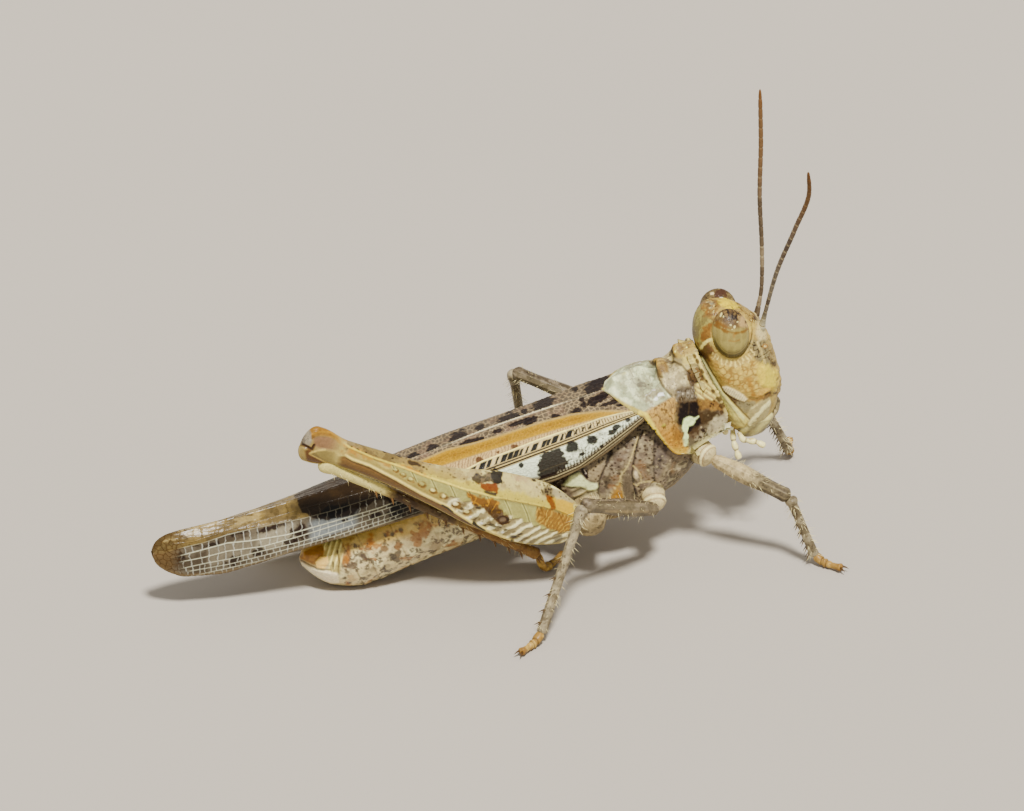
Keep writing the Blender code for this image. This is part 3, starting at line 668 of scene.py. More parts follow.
    col = lay(col, brownp * specks(fp, 0.15, 30, 0.30, 0.5), rgb(50, 34, 24), 0.9)
    for u, v, ru, rv in ((690, 373, 1.2, 1.0), (697, 377, 1.5, 1.2), (700, 369, 1.3, 1.1), (704, 376, 1.8, 1.6), (693, 381, 1.6, 1.2)):
        col = lay(col, spot(C, u, v, ru, rv, 30, 0.3, 0.3), rgb(38, 26, 20), 0.92)
    col = lay(col, spot(C, 702, 367, 3, 2.4, 60, 0.4, 0.4), rgb(62, 44, 34), 0.8)
    # callus and streaks
    bend = fp + 0.06 * np.stack([noise(fp, 0.25, 63), noise(fp, 0.25, 64), noise(fp, 0.25, 65)], -1)
    pc1, pc2, pcw = cells(bend, 0.17, 66)
    col = lay(col, callus, rgb(112, 92, 68), 0.95)
    # the lighter pebble tops stand partly for the callus's silvery sheen, and the white spots on some pebbles are
    # painted glints
    col = lay(col, callus * smooth(0.04, 0.16, pc2 - pc1) * (0.35 + 0.65 * (pcw > 0.5)), rgb(166, 156, 138), 0.9)
    col = lay(col, callus * (1 - smooth(0.02, 0.08, pc2 - pc1)) * (pcw > 0.35), rgb(78, 58, 40), 0.7)
    col = lay(col, callus * (pcw > 0.62) * (1 - smooth(0.12, 0.3, pc1)), rgb(216, 210, 198), 0.75)
    streaks = inside(C, [(697, 384), (704, 381), (711, 385), (717, 394), (721, 401.5), (712, 401), (700, 400), (696, 393)], 1.8, 1.2)
    col = lay(col, streaks, rgb(206, 192, 154), 0.95)
    w = (U * 0.60 - V * 0.80)
    col = lay(col, streaks * smooth(0.35, 0.9, np.cos(2 * math.pi * (w + 0.35 * R) / 4.2)), rgb(170, 142, 102), 0.6)
    col = lay(col, streaks * smooth(0.5, 0.95, np.cos(2 * math.pi * (w + 0.35 * R + 1.7) / 4.2)), rgb(224, 215, 184), 0.7)
    dot_band = inside(C, [(694, 401), (700, 399.5), (712, 401), (722, 402), (726, 412), (716, 413.5), (704, 411), (697, 413)], 1.8, 1.6)
    col = lay(col, dot_band, rgb(164, 124, 72), 0.95)
    col = lay(col, dot_band * blots(fp, 0.2, 49), rgb(188, 156, 102), 0.7)
    col = lay(col, dot_band * specks(fp, 0.15, 50, 0.28, 0.5), rgb(60, 38, 24), 0.9)
    # side lobe
    lob = inside(C, [(698, 411), (724, 410), (728, 428), (722, 438), (708, 445), (698, 450), (690, 448), (688, 440), (690, 428), (697, 420)], 2.4, 1.2)
    col = lay(col, lob, rgb(118, 98, 74), 0.95)
    col = lay(col, lob * blots(fp, 0.35, 51), rgb(150, 134, 110), 0.8)
    col = lay(col, lob * smooth(421, 433, V + 2.5 * R + 0.4 * (U - 712)), rgb(190, 180, 158), 0.85)
    col = lay(col, lob * blots(fp, 0.2, 52, 0.15, 0.5), rgb(88, 66, 46), 0.7)
    col = lay(col, lob * specks(fp, 0.15, 53, 0.30, 0.55), rgb(62, 44, 32), 0.85)
    col = lay(col, lob * specks(fp, 0.20, 54, 0.22, 0.3), rgb(206, 198, 180), 0.6)
    col = lay(col, inside(C, [(698, 413), (712, 411), (722, 414), (714, 421), (704, 423), (699, 422)], 2, 1.5), rgb(86, 60, 38), 0.8)
    for u, v, ru, rv, dg in ((704, 431, 2.2, 1.5, 30), (707.5, 435, 2.0, 1.4, 30), (692, 432.5, 2.0, 1.5, 0), (700, 437, 2.2, 1.4, 20), (711, 425, 1.6, 1.2, 0), (716, 418, 2, 1.4, 0), (694, 428, 2.4, 1.6, 0)):
        col = lay(col, spot(C, u, v, ru, rv, dg, 0.3, 0.4), rgb(58, 38, 28), 0.9)
    col = lay(col, inside(C, [(689, 428), (697, 424), (700, 432), (694, 438), (690, 436)], 2, 1.4), rgb(108, 74, 50), 0.7)
    velvet = inside(C, [(679, 407), (686, 402.5), (692, 403), (697, 401.5), (699, 408), (697, 412), (702, 419), (699, 424), (693, 425.5), (690, 429), (684, 429), (679.5, 423), (677, 414)], 1.8, 2.4)
    col = lay(col, inside(C, [(674, 406), (684, 400), (698, 399), (703, 408), (705, 422), (697, 429), (686, 433), (677, 428), (674, 416)], 3.4, 2.4), rgb(98, 70, 44), 0.8)
    col = lay(col, velvet, rgb(38, 26, 17), 0.97)
    col = lay(col, line(C, [(689, 399), (689.5, 408), (688.5, 414)], 0.6, 0.8) * velvet, rgb(84, 62, 44), 0.8)
    # the big plate behind
    col = lay(col, disc, rgb(194, 194, 174), 0.97)
    col = lay(col, disc * blots(fp, 0.9, 21, 0.0, 0.7), rgb(206, 205, 188), 0.8)
    col = lay(col, disc * blots(fp, 0.35, 22, 0.1, 0.6), rgb(184, 181, 158), 0.7)
    zone = inside(C, [(626, 372), (640, 364), (655, 372), (664, 388), (652, 402), (634, 396)], 8, 2)
    col = lay(col, disc * blots(fp, 0.5, 36, 0.2, 0.8), rgb(218, 217, 204), 0.6)
    col = lay(col, disc * blots(fp, 0.28, 37, 0.2, 0.6) * (0.4 + 0.6 * zone), rgb(164, 154, 128), 0.6)
    col = lay(col, disc * (0.35 + 0.65 * zone) * worms(fp * np.array([1, 1, 0.6]), 0.22, 56, 0.10), rgb(132, 120, 98), 0.7)
    col = lay(col, disc * zone * specks(fp, 0.22, 57, 0.22, 0.5), rgb(98, 84, 66), 0.85)
    col = lay(col, disc * inside(C, [(640, 396), (662, 386), (672, 396), (650, 409)], 3, 2) * blots(fp, 0.25, 58), rgb(168, 154, 128), 0.7)
    # painted highlights: white glints on the glossy patch
    col = lay(col, glossy * worms(fp, 0.28, 59, 0.16), rgb(226, 226, 218), 0.8)
    col = lay(col, line(C, [(604, 384), (610, 381.5), (618, 379.6), (627, 377)], 0.8, 0.8, 0.5, 0.4), rgb(190, 174, 120), 0.6)
    col = lay(col, line(C, [(600, 389), (609, 396), (622, 403), (634, 409), (644, 414)], 1.9, 1.4), rgb(196, 180, 122), 0.9)
    col = lay(col, line(C, [(602, 390), (605, 381), (609, 374), (613, 366)], 1.8, 2.2), rgb(206, 198, 150), 0.85)
    # hind band
    col = lay(col, band, rgb(200, 176, 128), 0.97)
    up_b = 1 - smooth(418, 434, V - 0.5 * (U - 665) + 3 * R)
    col = lay(col, band * up_b * fine_net, rgb(132, 100, 62), 0.8)
    col = lay(col, band * up_b * blots(fp, 0.25, 60), rgb(176, 150, 108), 0.7)
    lowb = band * smooth(420, 436, V + 2 * R)
    col = lay(col, lowb, rgb(204, 172, 116), 0.9)
    col = lay(col, lowb * blots(fp, 0.3, 61, 0.1, 0.6), rgb(194, 154, 90), 0.7)
    col = lay(col, lowb * specks(fp, 0.17, 62, 0.3, 0.25), rgb(212, 188, 134), 0.6)
    col = lay(col, band * fine_net, rgb(158, 118, 72), 0.35)
    col = lay(col, band * smooth(444, 454, V + 1.5 * R), rgb(212, 194, 138), 0.9)
    col = lay(col, inside(C, [(672, 424), (682, 428), (684, 440), (678, 442), (673, 432)], 2.5, 1.5), rgb(150, 100, 54), 0.65)
    rim = line(C, [(640, 412.5), (646, 414.5), (651, 423), (658, 434), (666, 445.5), (673.5, 455), (681, 460.5)], 1.9, 1.3)
    col = lay(col, rim, rgb(214, 202, 152), 0.92)
    col = lay(col, line(C, [(645, 419), (652, 431), (662, 446), (672, 458)], 0.6, 0.8), rgb(176, 150, 96), 0.6)
    # front and lower margin
    col = lay(col, comma, rgb(210, 212, 190), 0.97)
    col = lay(col, front, rgb(210, 200, 164), 0.9)
    for u, v in ((697.5, 361), (702.4, 371), (706.5, 380.5), (713, 390.6), (718.6, 399), (721.4, 406.5), (722.6, 413), (726, 420), (694.6, 356)):
        col = lay(col, spot(C, u, v, 2.2, 1.5, 62, 0.3, 0.4), rgb(104, 70, 42), 0.88)
    low = line(C, [(728, 426.5), (722.5, 431), (711, 438.8), (700, 445.5), (691, 452)], 3.4, 2.4)
    col = lay(col, low, rgb(208, 202, 178), 0.9)
    col = lay(col, line(C, [(727, 428.5), (719, 434.5), (709, 440.5)], 1.2, 1.0), rgb(224, 222, 208), 0.8)
    col = lay(col, inside(C, [(716, 418), (724, 414), (728, 421), (727, 427), (719, 432), (712, 434), (711, 427)], 3, 2), rgb(204, 198, 180), 0.75)
    col = lay(col, spot(C, 721, 431.5, 2.4, 1.2, -38, 0.3, 0.3), rgb(84, 62, 44), 0.85)
    col = lay(col, sulcus, rgb(112, 88, 60), 0.65)
    col = lay(col, dots * rough_zone * (1 - comma) * (1 - front), rgb(92, 68, 46), 0.5)
    # painted shading from the relief: darker in hollows, lighter on raised parts, with fine random tone
    col = col * np.clip(1 + 7 * painted_relief_shading + 0.10 * grain, 0.55, 1.35)[..., None]
    look = 0.52 - 0.14 * callus - 0.06 * glossy + 0.05 * mot
    look = np.clip(np.where(velvet > 0.5, 0.85, look), 0.3, 0.9)
    q2, idx = wrap_edges(q, normals_fix(q, n), 0.16, "azlr")
    flat = idx.ravel()
    grid_piece("shield", q2, col.reshape(-1, 3)[flat].reshape(q2.shape), look.ravel()[flat].reshape(q2.shape[:2]), M_PRON,
               closed=False, nodes=("pronotum",), flip=turned(q, n))


def normals_fix(q, n):
    m = normals_of(q, False)
    return m if (m * n).sum() > 0 else -m


def turned(q, n):
    """Whether the grid's own winding faces inwards."""
    m = normals_of(q, False)
    return bool((m * n).sum() > 0)


make_pronotum()


# -------------------------------------------------------------------- tegmina
def wing_lines(x):
    ridge = through([-8.05, -8.0, -7.9, -7.72, -7.33, -6.8, -6, -4.3, -0.1, 3.1, 7.3, 11.0, 13.0],
                    [3.36, 3.52, 3.68, 3.84, 4.02, 4.12, 4.22, 4.45, 5.22, 6.05, 7.25, 8.05, 8.45], x)
    sy = through([-8.05, -7, -5, -2, 2, 7, 11, 13.0], [0.12, 0.32, 0.52, 0.95, 1.55, 1.88, 1.86, 1.60], x)
    sz = through([-8.05, -7.72, -7, -5, -2, 2, 5.4, 7.1, 9.1, 13.0], [3.24, 3.40, 3.70, 3.98, 4.42, 5.22, 6.0, 6.35, 6.85, 8.02], x)
    cy = through([-8.05, -7, -5, -2, 2, 7, 11, 13.0], [0.16, 0.45, 0.74, 1.22, 1.78, 2.12, 2.18, 2.05], x)
    cz = through([-8.05, -8.0, -7.9, -7.72, -7.33, -6.7, -5.3, -3.9, -2, 0.7, 2.0, 4.0, 9.0, 10.4, 11.5, 13.0],
                 [3.12, 2.94, 2.76, 2.58, 2.34, 2.14, 2.16, 2.50, 3.12, 3.82, 4.16, 4.62, 5.35, 5.9, 6.5, 7.7], x)
    return ridge, sy, sz, cy, cz


def tegmen_surface(u, v, side):
    x = 13.0 - 21.05 * u ** 0.9
    ridge, sy, sz, cy, cz = wing_lines(x)
    ins = 0.03
    ys = [ins + 0 * x, 0.5 * sy + ins * 0.5, sy, 0.45 * sy + 0.55 * cy + 0.04, cy]
    zs = [ridge, ridge - 0.42 * (ridge - sz), sz, 0.5 * (sz + cz) + 0.05, cz]
    vs = [0.0, 0.25, 0.5, 0.75, 1.0]
    return np.stack([x, side * mixed(vs, ys, v), mixed(vs, zs, v)], -1)


def along_u(U, pts):
    """Height of a line at each place along the chart."""
    pts = sorted(pts)
    return np.interp(U, [q[0] for q in pts], [q[1] for q in pts])


def vein_at(U, V, pts, w, soft=0.55, u0=None, u1=None):
    d = np.abs(V - along_u(U, pts)) * 0.945
    m = 1 - smooth(max(w - soft, 0), w + soft, d)
    xs = [q[0] for q in pts]
    u0 = min(xs) if u0 is None else u0
    u1 = max(xs) if u1 is None else u1
    return m * smooth(u0 - 3, u0 + 3, U) * (1 - smooth(u1 - 3, u1 + 3, U))


def make_tegmen(tag, side):
    nu, nv = (count(840), count(190)) if side < 0 else (count(490), count(112))
    u, v = np.meshgrid(np.linspace(0, 1, nu), np.linspace(0, 1, nv), indexing="ij")
    p = tegmen_surface(u, v, side)
    n = normals_of(p, False)
    if (n[nu // 3, nv // 2] @ np.array([0, side, 0.3])) < 0:
        n = -n
    C = chart3(p, 9, 0.22)
    U, V, R = C
    if side > 0:                      # the strip along the back is seen from above, past the seam
        Uf, Vf = chart(p, mirror=False)
    else:
        Uf, Vf = U, V
    fp = folded(p)
    x = p[..., 0]
    y = np.abs(p[..., 1])
    ou = [(372, 480), (388, 473), (404, 465), (424, 458.5), (447, 448.5), (475, 442), (509, 431.5), (540, 421.5), (572, 413.5), (600, 410), (625, 410), (650, 407)]
    ol = [(372, 482), (388, 480), (404, 475.5), (424, 472), (447, 464.5), (478, 454.5), (509, 445), (540, 435), (556, 430), (587, 421.6), (612, 415.5), (625, 411), (650, 408)]
    wv = [(370, 507), (400, 497), (440, 482), (455, 475.5), (467, 469), (483, 461), (509, 451.4), (536, 440.6), (556, 433.8), (587, 423), (600, 418.2), (619, 413.6), (634, 411), (646, 408.5)]
    bun = [(370, 516), (400, 506), (430, 494), (460, 482), (475, 475.5), (509, 463), (540.6, 451.2), (572, 439.6), (603, 426.5), (633, 415), (646, 410)]
    low = [(370, 529), (400, 520), (430, 509), (470, 499), (500, 492), (541, 484.5), (556, 480), (580, 469.5), (595, 458.5), (614, 444), (631, 431), (646, 419)]
    top = [(150, 556), (155.5, 551), (161, 541), (170, 533), (178, 528), (201, 521), (244, 510), (283, 497.5), (306, 489.6), (330, 482.6), (380, 467), (436, 451), (484, 433.5), (508, 426), (553, 406), (600, 385), (645, 368)]
    bot = [(150, 556), (155.5, 560), (160, 566), (168, 572), (187, 577.5), (215, 576), (242, 570), (279, 557.5), (316, 546), (353, 533.5), (390, 520.5), (430, 509)]
    tipward = 1 - smooth(-14, 14, U - np.interp(V, [455, 480, 492, 504], [386, 392, 404, 424]) - 1.5 * R)
    baseward = 1 - tipward
    above = V - along_u(U, ou)                       # < 0 on the back field
    dorsal = (1 - smooth(-0.8, 0.8, above)) * smooth(374, 400, U)
    if side > 0:
        dorsal = (1 - smooth(0.52, 0.60, v)) * smooth(374, 400, U)
    side_f = 1 - dorsal
    frac = (V - along_u(U, top)) / np.maximum(along_u(U, bot) - along_u(U, top), 2)
    ax = U * 0.97 - V * 0.24                          # runs along the far half
    # --- long veins, far half
    P = [
        [(160, 551), (166, 545), (194, 541), (228, 530.5), (259, 521), (315, 505), (360, 492), (404, 478)],
        [(163, 553), (180, 548), (204, 543), (228, 534), (259, 527.5), (300, 519), (330, 511), (370, 499), (404, 487)],
        [(172, 558), (204, 549), (228, 543), (250, 541), (287, 535), (330, 522), (380, 507), (430, 489)],
        [(176, 563), (204, 557), (228, 551.5), (264, 546), (300, 536), (337, 525), (392, 507), (430, 494)],
        [(182, 568), (204, 564), (228, 559), (264, 551), (300, 541.5), (337, 530.5), (392, 512.5), (430, 499)],
        [(190, 571.5), (228, 564), (264, 555.5), (300, 546), (337, 535), (392, 516.5), (430, 503)],
        [(196, 575), (228, 568.5), (264, 559.5), (300, 550), (337, 539), (392, 520.5), (430, 507)],
    ]
    ys = [along_u(U, top) + 0 * U] + [along_u(U, q) for q in P] + [along_u(U, bot)]
    vein = np.zeros(u.shape)
    for k, q in enumerate(P):
        wob = [(a, b + 0.5 * math.sin(1.7 * k + a * 0.11)) for a, b in q]
        vein = np.maximum(vein, vein_at(U, V, wob, (0.2, 0.25, 0.48, 0.36, 0.28, 0.22, 0.22)[k], 0.45) * (0.7, 0.8, 1, 0.92, 0.8, 0.72, 0.68)[k])
    bars = np.zeros(u.shape)
    for k in range(len(ys) - 1):
        lane = (V >= ys[k]) & (V < ys[k + 1])
        pitch = (11, 10.5, 8.6, 8.8, 8.2, 6.4, 6, 6)[k]
        a = ax / pitch + 0.5 * (k % 2) + 0.10 * R
        cell = np.floor(a)
        jit = 0.34 * (scramble(cell.astype(int), 0 * cell.astype(int) + k, 0 * cell.astype(int), 3) - 0.5)
        tilt = (V - ys[k]) / pitch * 0.18
        dd = np.abs(a - cell - 0.5 + jit + tilt) * pitch
        bars = np.where(lane, (1 - smooth(0.1, 0.75, dd)) * (0.6 + 0.4 * scramble(cell.astype(int), 0 * cell.astype(int) + k, 0 * cell.astype(int), 5)), bars)
    # --- fine nets of the leathery half
    f1s, f2s, whos = cells2((U * 0.94 - V * 0.335) / 4.2, (V * 0.94 + U * 0.335) / 3.4, 14, 0.75)
    net_s = 1 - smooth(0.06, 0.24, f2s - f1s)
    g1, g2, gw = cells2((Uf * 0.93 - Vf * 0.36) / 4.6, (Vf * 0.93 + Uf * 0.36) / 3.6, 24, 0.8)
    net_d = 1 - smooth(0.06, 0.26, g2 - g1)
    wvein = np.where(U < 566, vein_at(U, V, wv, 0.8), 0.8 * vein_at(U, V, wv, 0.45))
    bd = (V - along_u(U, bun)) * 0.935               # across the bundle
    bw = np.interp(U, [430, 500, 540, 600, 634], [2.6, 3.0, 2.8, 2.4, 1.6])
    inb = (1 - smooth(bw - 0.4, bw + 0.4, np.abs(bd))) * baseward * (1 - dorsal)
    ridges = np.cos(bd / bw * math.pi * 2.0)
    lowd = (along_u(U, low) - V) * 0.87              # up from the lower edge
    lowb = (1 - smooth(4.6, 5.4, lowd)) * smooth(500, 520, U) * side_f
    lr = np.cos(lowd * 2 * math.pi / 2.9)
    seam = np.exp(-((y - 0.03) / 0.030) ** 2)
    fine = fbm(fp, 0.14, 4, 41)
    lift = np.maximum(0.030 * wvein * side_f * baseward, 0.026 * inb * smooth(-0.3, 0.8, ridges))
    lift = np.maximum(lift, 0.018 * lowb * smooth(-0.2, 0.8, lr))
    lift = np.maximum(lift, 0.022 * vein * tipward)
    lift = np.maximum(lift, 0.014 * bars * tipward)
    lift = np.maximum(lift, 0.013 * (net_s * side_f + net_d * dorsal) * baseward)
    golden = side_f * tipward * (1 - smooth(-1.5, 1.5, V - ys[2]))
    lift = lift * (1 - smooth(0.955, 0.985, v)) * (1 - smooth(0.97, 0.99, u))
    streak = fbm(fp * np.array([0.22, 1.0, 1.0]), 0.20, 3, 46)
    d = lift + 0.006 * fine + 0.012 * golden * streak + 0.012 * seam - 0.01
    q = p + n * d[..., None]
    painted_relief_shading = d - blur(d, 3)

    mot = 2.0 * fbm(fp, 0.55, 4, 42)
    med = 2.0 * fbm(fp, 0.22, 4, 48)
    grain = 2.0 * fbm(fp, 0.09, 3, 43)
    col = np.broadcast_to(rgb(142, 124, 98), p.shape).copy()
    # ---- back field
    dcol = np.broadcast_to(rgb(132, 116, 92), p.shape).copy()
    dcol = lay(dcol, net_d, rgb(186, 170, 142), 0.85)
    dcol = lay(dcol, smooth(0.1, 0.9, mot) * 0.5, rgb(160, 132, 108))
    dcol = lay(dcol, smooth(0.2, 1.0, med) * 0.6, rgb(104, 84, 62))
    far_row = [(599, 379, 9, 4.5, -15), (594.5, 387, 9, 5, -25), (543, 403.6, 9.6, 6, -32), (509.4, 420.8, 10.5, 6.2, -28), (459, 438, 8, 5.6, -25), (432, 449.7, 5.6, 4, -30),
               (411.7, 456.7, 7, 3, -20), (620, 374, 8, 3, -20), (524, 411, 3, 2, 0), (480, 427, 4, 2.4, -30), (390, 465, 6, 3.4, -20), (366, 473, 6, 3, -20), (575, 389, 3, 2, 0), (340, 479, 6, 3, -15)]
    near_row = [(594.5, 400.5, 11, 3, -22), (576.6, 411, 4.6, 2.7, -10), (556, 417, 4, 2.5, 0), (531, 420.4, 6.5, 2.7, -20), (530.5, 425, 3.4, 2, 0), (520, 422, 12, 1.6, -20),
                (473.4, 441, 10, 2.4, -18), (604, 394, 8, 2.4, -25), (612, 402, 10, 1.6, -20), (497, 431, 5, 1.5, -20), (440, 455, 8, 2, -18), (582, 399, 2, 2, 0), (622, 404, 6, 1.5, -20)]
    Cf = (Uf, Vf, R)
    for a, b, ru, rv, dg in (far_row if side > 0 else near_row):
        dcol = lay(dcol, spot(Cf, a, b, ru * 1.22, rv * 1.28, dg, 0.16, 0.24), rgb(40, 28, 18) * (1 + 0.3 * net_d[..., None]), 0.96)
    col = lay(col, dorsal, rgb(150, 134, 110))
    col = col * (1 - dorsal[..., None]) + dcol * dorsal[..., None]
    col = lay(col, seam * (0.15 + 0.85 * smooth(440, 480, U) * (1 - smooth(550, 570, U))), rgb(210, 204, 190), 0.9 if side < 0 else 0.2)
    # ---- ochre band with its pale borders
    halo = side_f * baseward * (1 - smooth(0, 1.2, V - along_u(U, ol) - 1.0)) * smooth(-1.2, 0.6, V - along_u(U, ou) + 0.6)
    col = lay(col, halo, rgb(196, 176, 132), 0.85)
    och = side_f * baseward * smooth(0.6, 3.2, V - along_u(U, ou)) * (1 - smooth(-2.2, 0.4, V - along_u(U, ol)))
    fade = 1 - smooth(575, 622, U)
    col = lay(col, och * (0.55 + 0.45 * fade), rgb(186, 152, 48))
    col = lay(col, och * (1 - fade), rgb(200, 174, 112), 0.5)
    o_mid = np.exp(-(((V - 0.5 * (along_u(U, ou) + along_u(U, ol))) / np.maximum(0.5 * (along_u(U, ol) - along_u(U, ou)), 1e-3)) / 0.55) ** 2)
    col = lay(col, och * o_mid * (0.5 + 0.5 * smooth(-0.6, 0.6, med)) * (0.35 + 0.65 * fade), rgb(174, 130, 0), 0.85)
    col = lay(col, och * (1 - o_mid) * 0.8, rgb(204, 174, 92), 0.5)
    col = lay(col, och * net_s, rgb(202, 168, 76), 0.35)
    col = lay(col, och * smooth(0.4, 1.0, grain) * 0.4, rgb(202, 164, 70), 0.5)
    # ---- ticked zone between it and the white vein
    tz = side_f * baseward * smooth(-1.0, 0.6, V - along_u(U, ol)) * (1 - smooth(-0.6, 0.6, V - along_u(U, wv)))
    ticks = np.cos((U * 0.98 + V * 0.1 + 0.8 * R) * 2 * math.pi / 2.9)
    col = lay(col, tz, rgb(204, 186, 154))
    col = lay(col, tz * smooth(0.0, 0.9, ticks), rgb(156, 120, 90), 0.75)
    col = lay(col, tz * smooth(592, 600, U) * (1 - smooth(612, 616, U)), rgb(128, 66, 34), 0.7)
    for a, b, r0 in ((479.7, 459.5, 3.6), (515, 446.5, 3.6), (588, 427, 2.6), (566, 433.5, 2), (548, 437, 1.8), (498, 452, 1.5)):
        col = lay(col, side_f * spot(C, a, b, r0, r0 * 0.75, -20, 0.3, 0.25), rgb(96, 50, 32), 0.9)
    # ---- side field below the bundle
    fld = side_f * baseward * smooth(-0.6, 0.6, V - along_u(U, wv))
    col = lay(col, fld, rgb(176, 168, 148))
    whitef = fld * smooth(0.2, 1.2, bd - bw + 0.6) * smooth(6.6, 8.4, lowd)
    col = lay(col, whitef, rgb(218, 220, 209))
    col = lay(col, whitef * net_s * 0.35, rgb(188, 186, 170))
    rightp = smooth(566, 580, U)
    col = lay(col, whitef * rightp * smooth(0.2, 0.9, np.cos((U * 0.98 + V * 0.1 + 1.2 * R) * 2 * math.pi / 3.4)) * smooth(-0.3, 0.8, mot), rgb(96, 82, 62), 0.8)
    col = lay(col, whitef * rightp * (1 - net_s) * smooth(0.1, 0.8, med), rgb(120, 104, 82), 0.6)
    # squares hanging from the white vein
    row_gap = side_f * baseward * smooth(-0.2, 0.8, V - along_u(U, wv) - 0.8) * (1 - smooth(-0.8, 0.2, bd + bw))
    col = lay(col, row_gap, rgb(206, 196, 168))
    col = lay(col, row_gap * smooth(556, 566, U) * smooth(0.0, 0.7, np.cos((ax + 0.5 * R) * 2 * math.pi / 3.0)), rgb(84, 60, 42), 0.85)
    for a, b, ru, rv in ((472.7, 470.6, 2.8, 2.4), (482.5, 466.6, 3.3, 3.6), (489, 464.4, 2.2, 3.2), (497, 461.4, 1.4, 3.0), (504, 459.2, 2.9, 3.4), (510.3, 457.0, 2.6, 3.4), (516, 455.0, 2.6, 3.2),
                         (521, 453.2, 1.6, 2.8), (527, 450.8, 1.3, 2.8), (534.5, 448.4, 3.0, 3.2), (543.8, 445.0, 2.2, 3.0), (548.4, 443.2, 1.8, 2.6), (554.9, 440.6, 3.0, 3.2), (562, 438, 1.4, 2.6),
                         (569, 435, 3.0, 2.8), (576, 432.6, 1.1, 2), (583, 430, 1.1, 1.8), (590, 427.6, 1.2, 1.6), (598, 424.6, 1, 1.4), (462, 475, 2.6, 2.2), (453, 479, 2.4, 2)):
        b, ru, rv = b - 0.9, ru * 0.84 + 0.12 * R, rv * 1.15
        box_m = (1 - smooth(ru - 0.35, ru + 0.35, np.abs((U - a) * 0.94 + (V - b) * 0.34))) * (1 - smooth(rv - 0.5, rv + 0.6, np.abs((V - b) * 0.94 + (U - a) * 0.34)))
        col = lay(col, side_f * box_m, rgb(20, 14, 9), 0.99)
    # bundle of pale veins with dark grooves
    col = lay(col, inb, rgb(128, 108, 82))
    col = lay(col, inb * smooth(0.0, 0.8, ridges), rgb(206, 194, 162), 0.9)
    col = lay(col, inb * smooth(0.2, 0.9, -ridges), rgb(58, 44, 30), 0.85)
    col = lay(col, wvein * side_f * baseward, rgb(218, 210, 180), 0.95)
    # black patches
    for a, b, ru, rv in ((616, 427, 4.6, 2.6), (612, 432, 4.4, 3.2), (592, 439, 5.8, 5.2), (571, 447.5, 6.6, 6.0), (521, 465, 3.1, 3.0), (628, 420, 2.4, 1.8), (532, 481, 2.8, 1.5), (602, 446, 2, 1.6), (582, 454, 2.4, 1.4)):
        col = lay(col, side_f * spot(C, a, b, ru, rv, -20, 0.2, 0.22), rgb(36, 26, 17), 0.97)
    patch = side_f * inside(C, [(539, 455), (547, 450.5), (558, 449), (563, 454), (568, 461), (566, 468), (560, 472), (555, 477), (549, 484), (541, 484), (538.5, 476), (539, 463)], 1.0, 1.6)
    col = lay(col, patch, rgb(42, 31, 20) * (1 + 0.5 * net_s[..., None]), 0.97)
    col = lay(col, patch * vein_at(U, V, [(536, 474), (552, 467), (570, 461)], 0.5), rgb(120, 104, 78), 0.6)
    frn = side_f * spot(C, 569, 463, 6, 5, -20, 0.5, 0.5)
    col = lay(col, frn * smooth(0.1, 0.7, med), rgb(56, 42, 28), 0.85)
    tri = side_f * inside(C, [(484, 482), (487, 470), (495, 468), (504, 478), (503, 486), (490, 488)], 1.2, 1.5)
    col = lay(col, tri, rgb(46, 34, 26), 0.95)
    # comb along the lower edge
    teeth = smooth(0.0, 0.6, np.cos((ax + 0.6 * R) * 2 * math.pi / 3.3)) * smooth(4.2, 5.0, lowd) * (1 - smooth(7.2, 11.5, lowd + 1.6 * R)) * smooth(548, 560, U) * side_f
    col = lay(col, teeth, rgb(58, 44, 32), 0.9)
    col = lay(col, side_f * baseward * smooth(8, 10, lowd) * (1 - smooth(14, 17, lowd)) * specks(fp, 0.13, 51, 0.32, 0.5) * smooth(556, 566, U), rgb(84, 68, 50), 0.9)
    col = lay(col, lowb, rgb(124, 106, 82))
    col = lay(col, lowb * (1 - smooth(0.5, 1.1, np.abs(lowd - 4.4))), rgb(60, 45, 31), 0.8)
    col = lay(col, lowb * (1 - smooth(0.4, 1.0, np.abs(lowd - 3.2))), rgb(190, 178, 150), 0.75)
    col = lay(col, lowb * (1 - smooth(0.4, 1.0, np.abs(lowd - 1.9))), rgb(80, 60, 42), 0.8)
    col = lay(col, lowb * (1 - smooth(0.3, 0.9, np.abs(lowd - 0.6))), rgb(176, 162, 134), 0.7)
    col = lay(col, lowb * smooth(0.3, 0.9, np.cos((ax + 0.8 * R) * 2 * math.pi / 2.6)), rgb(92, 74, 54), 0.35)
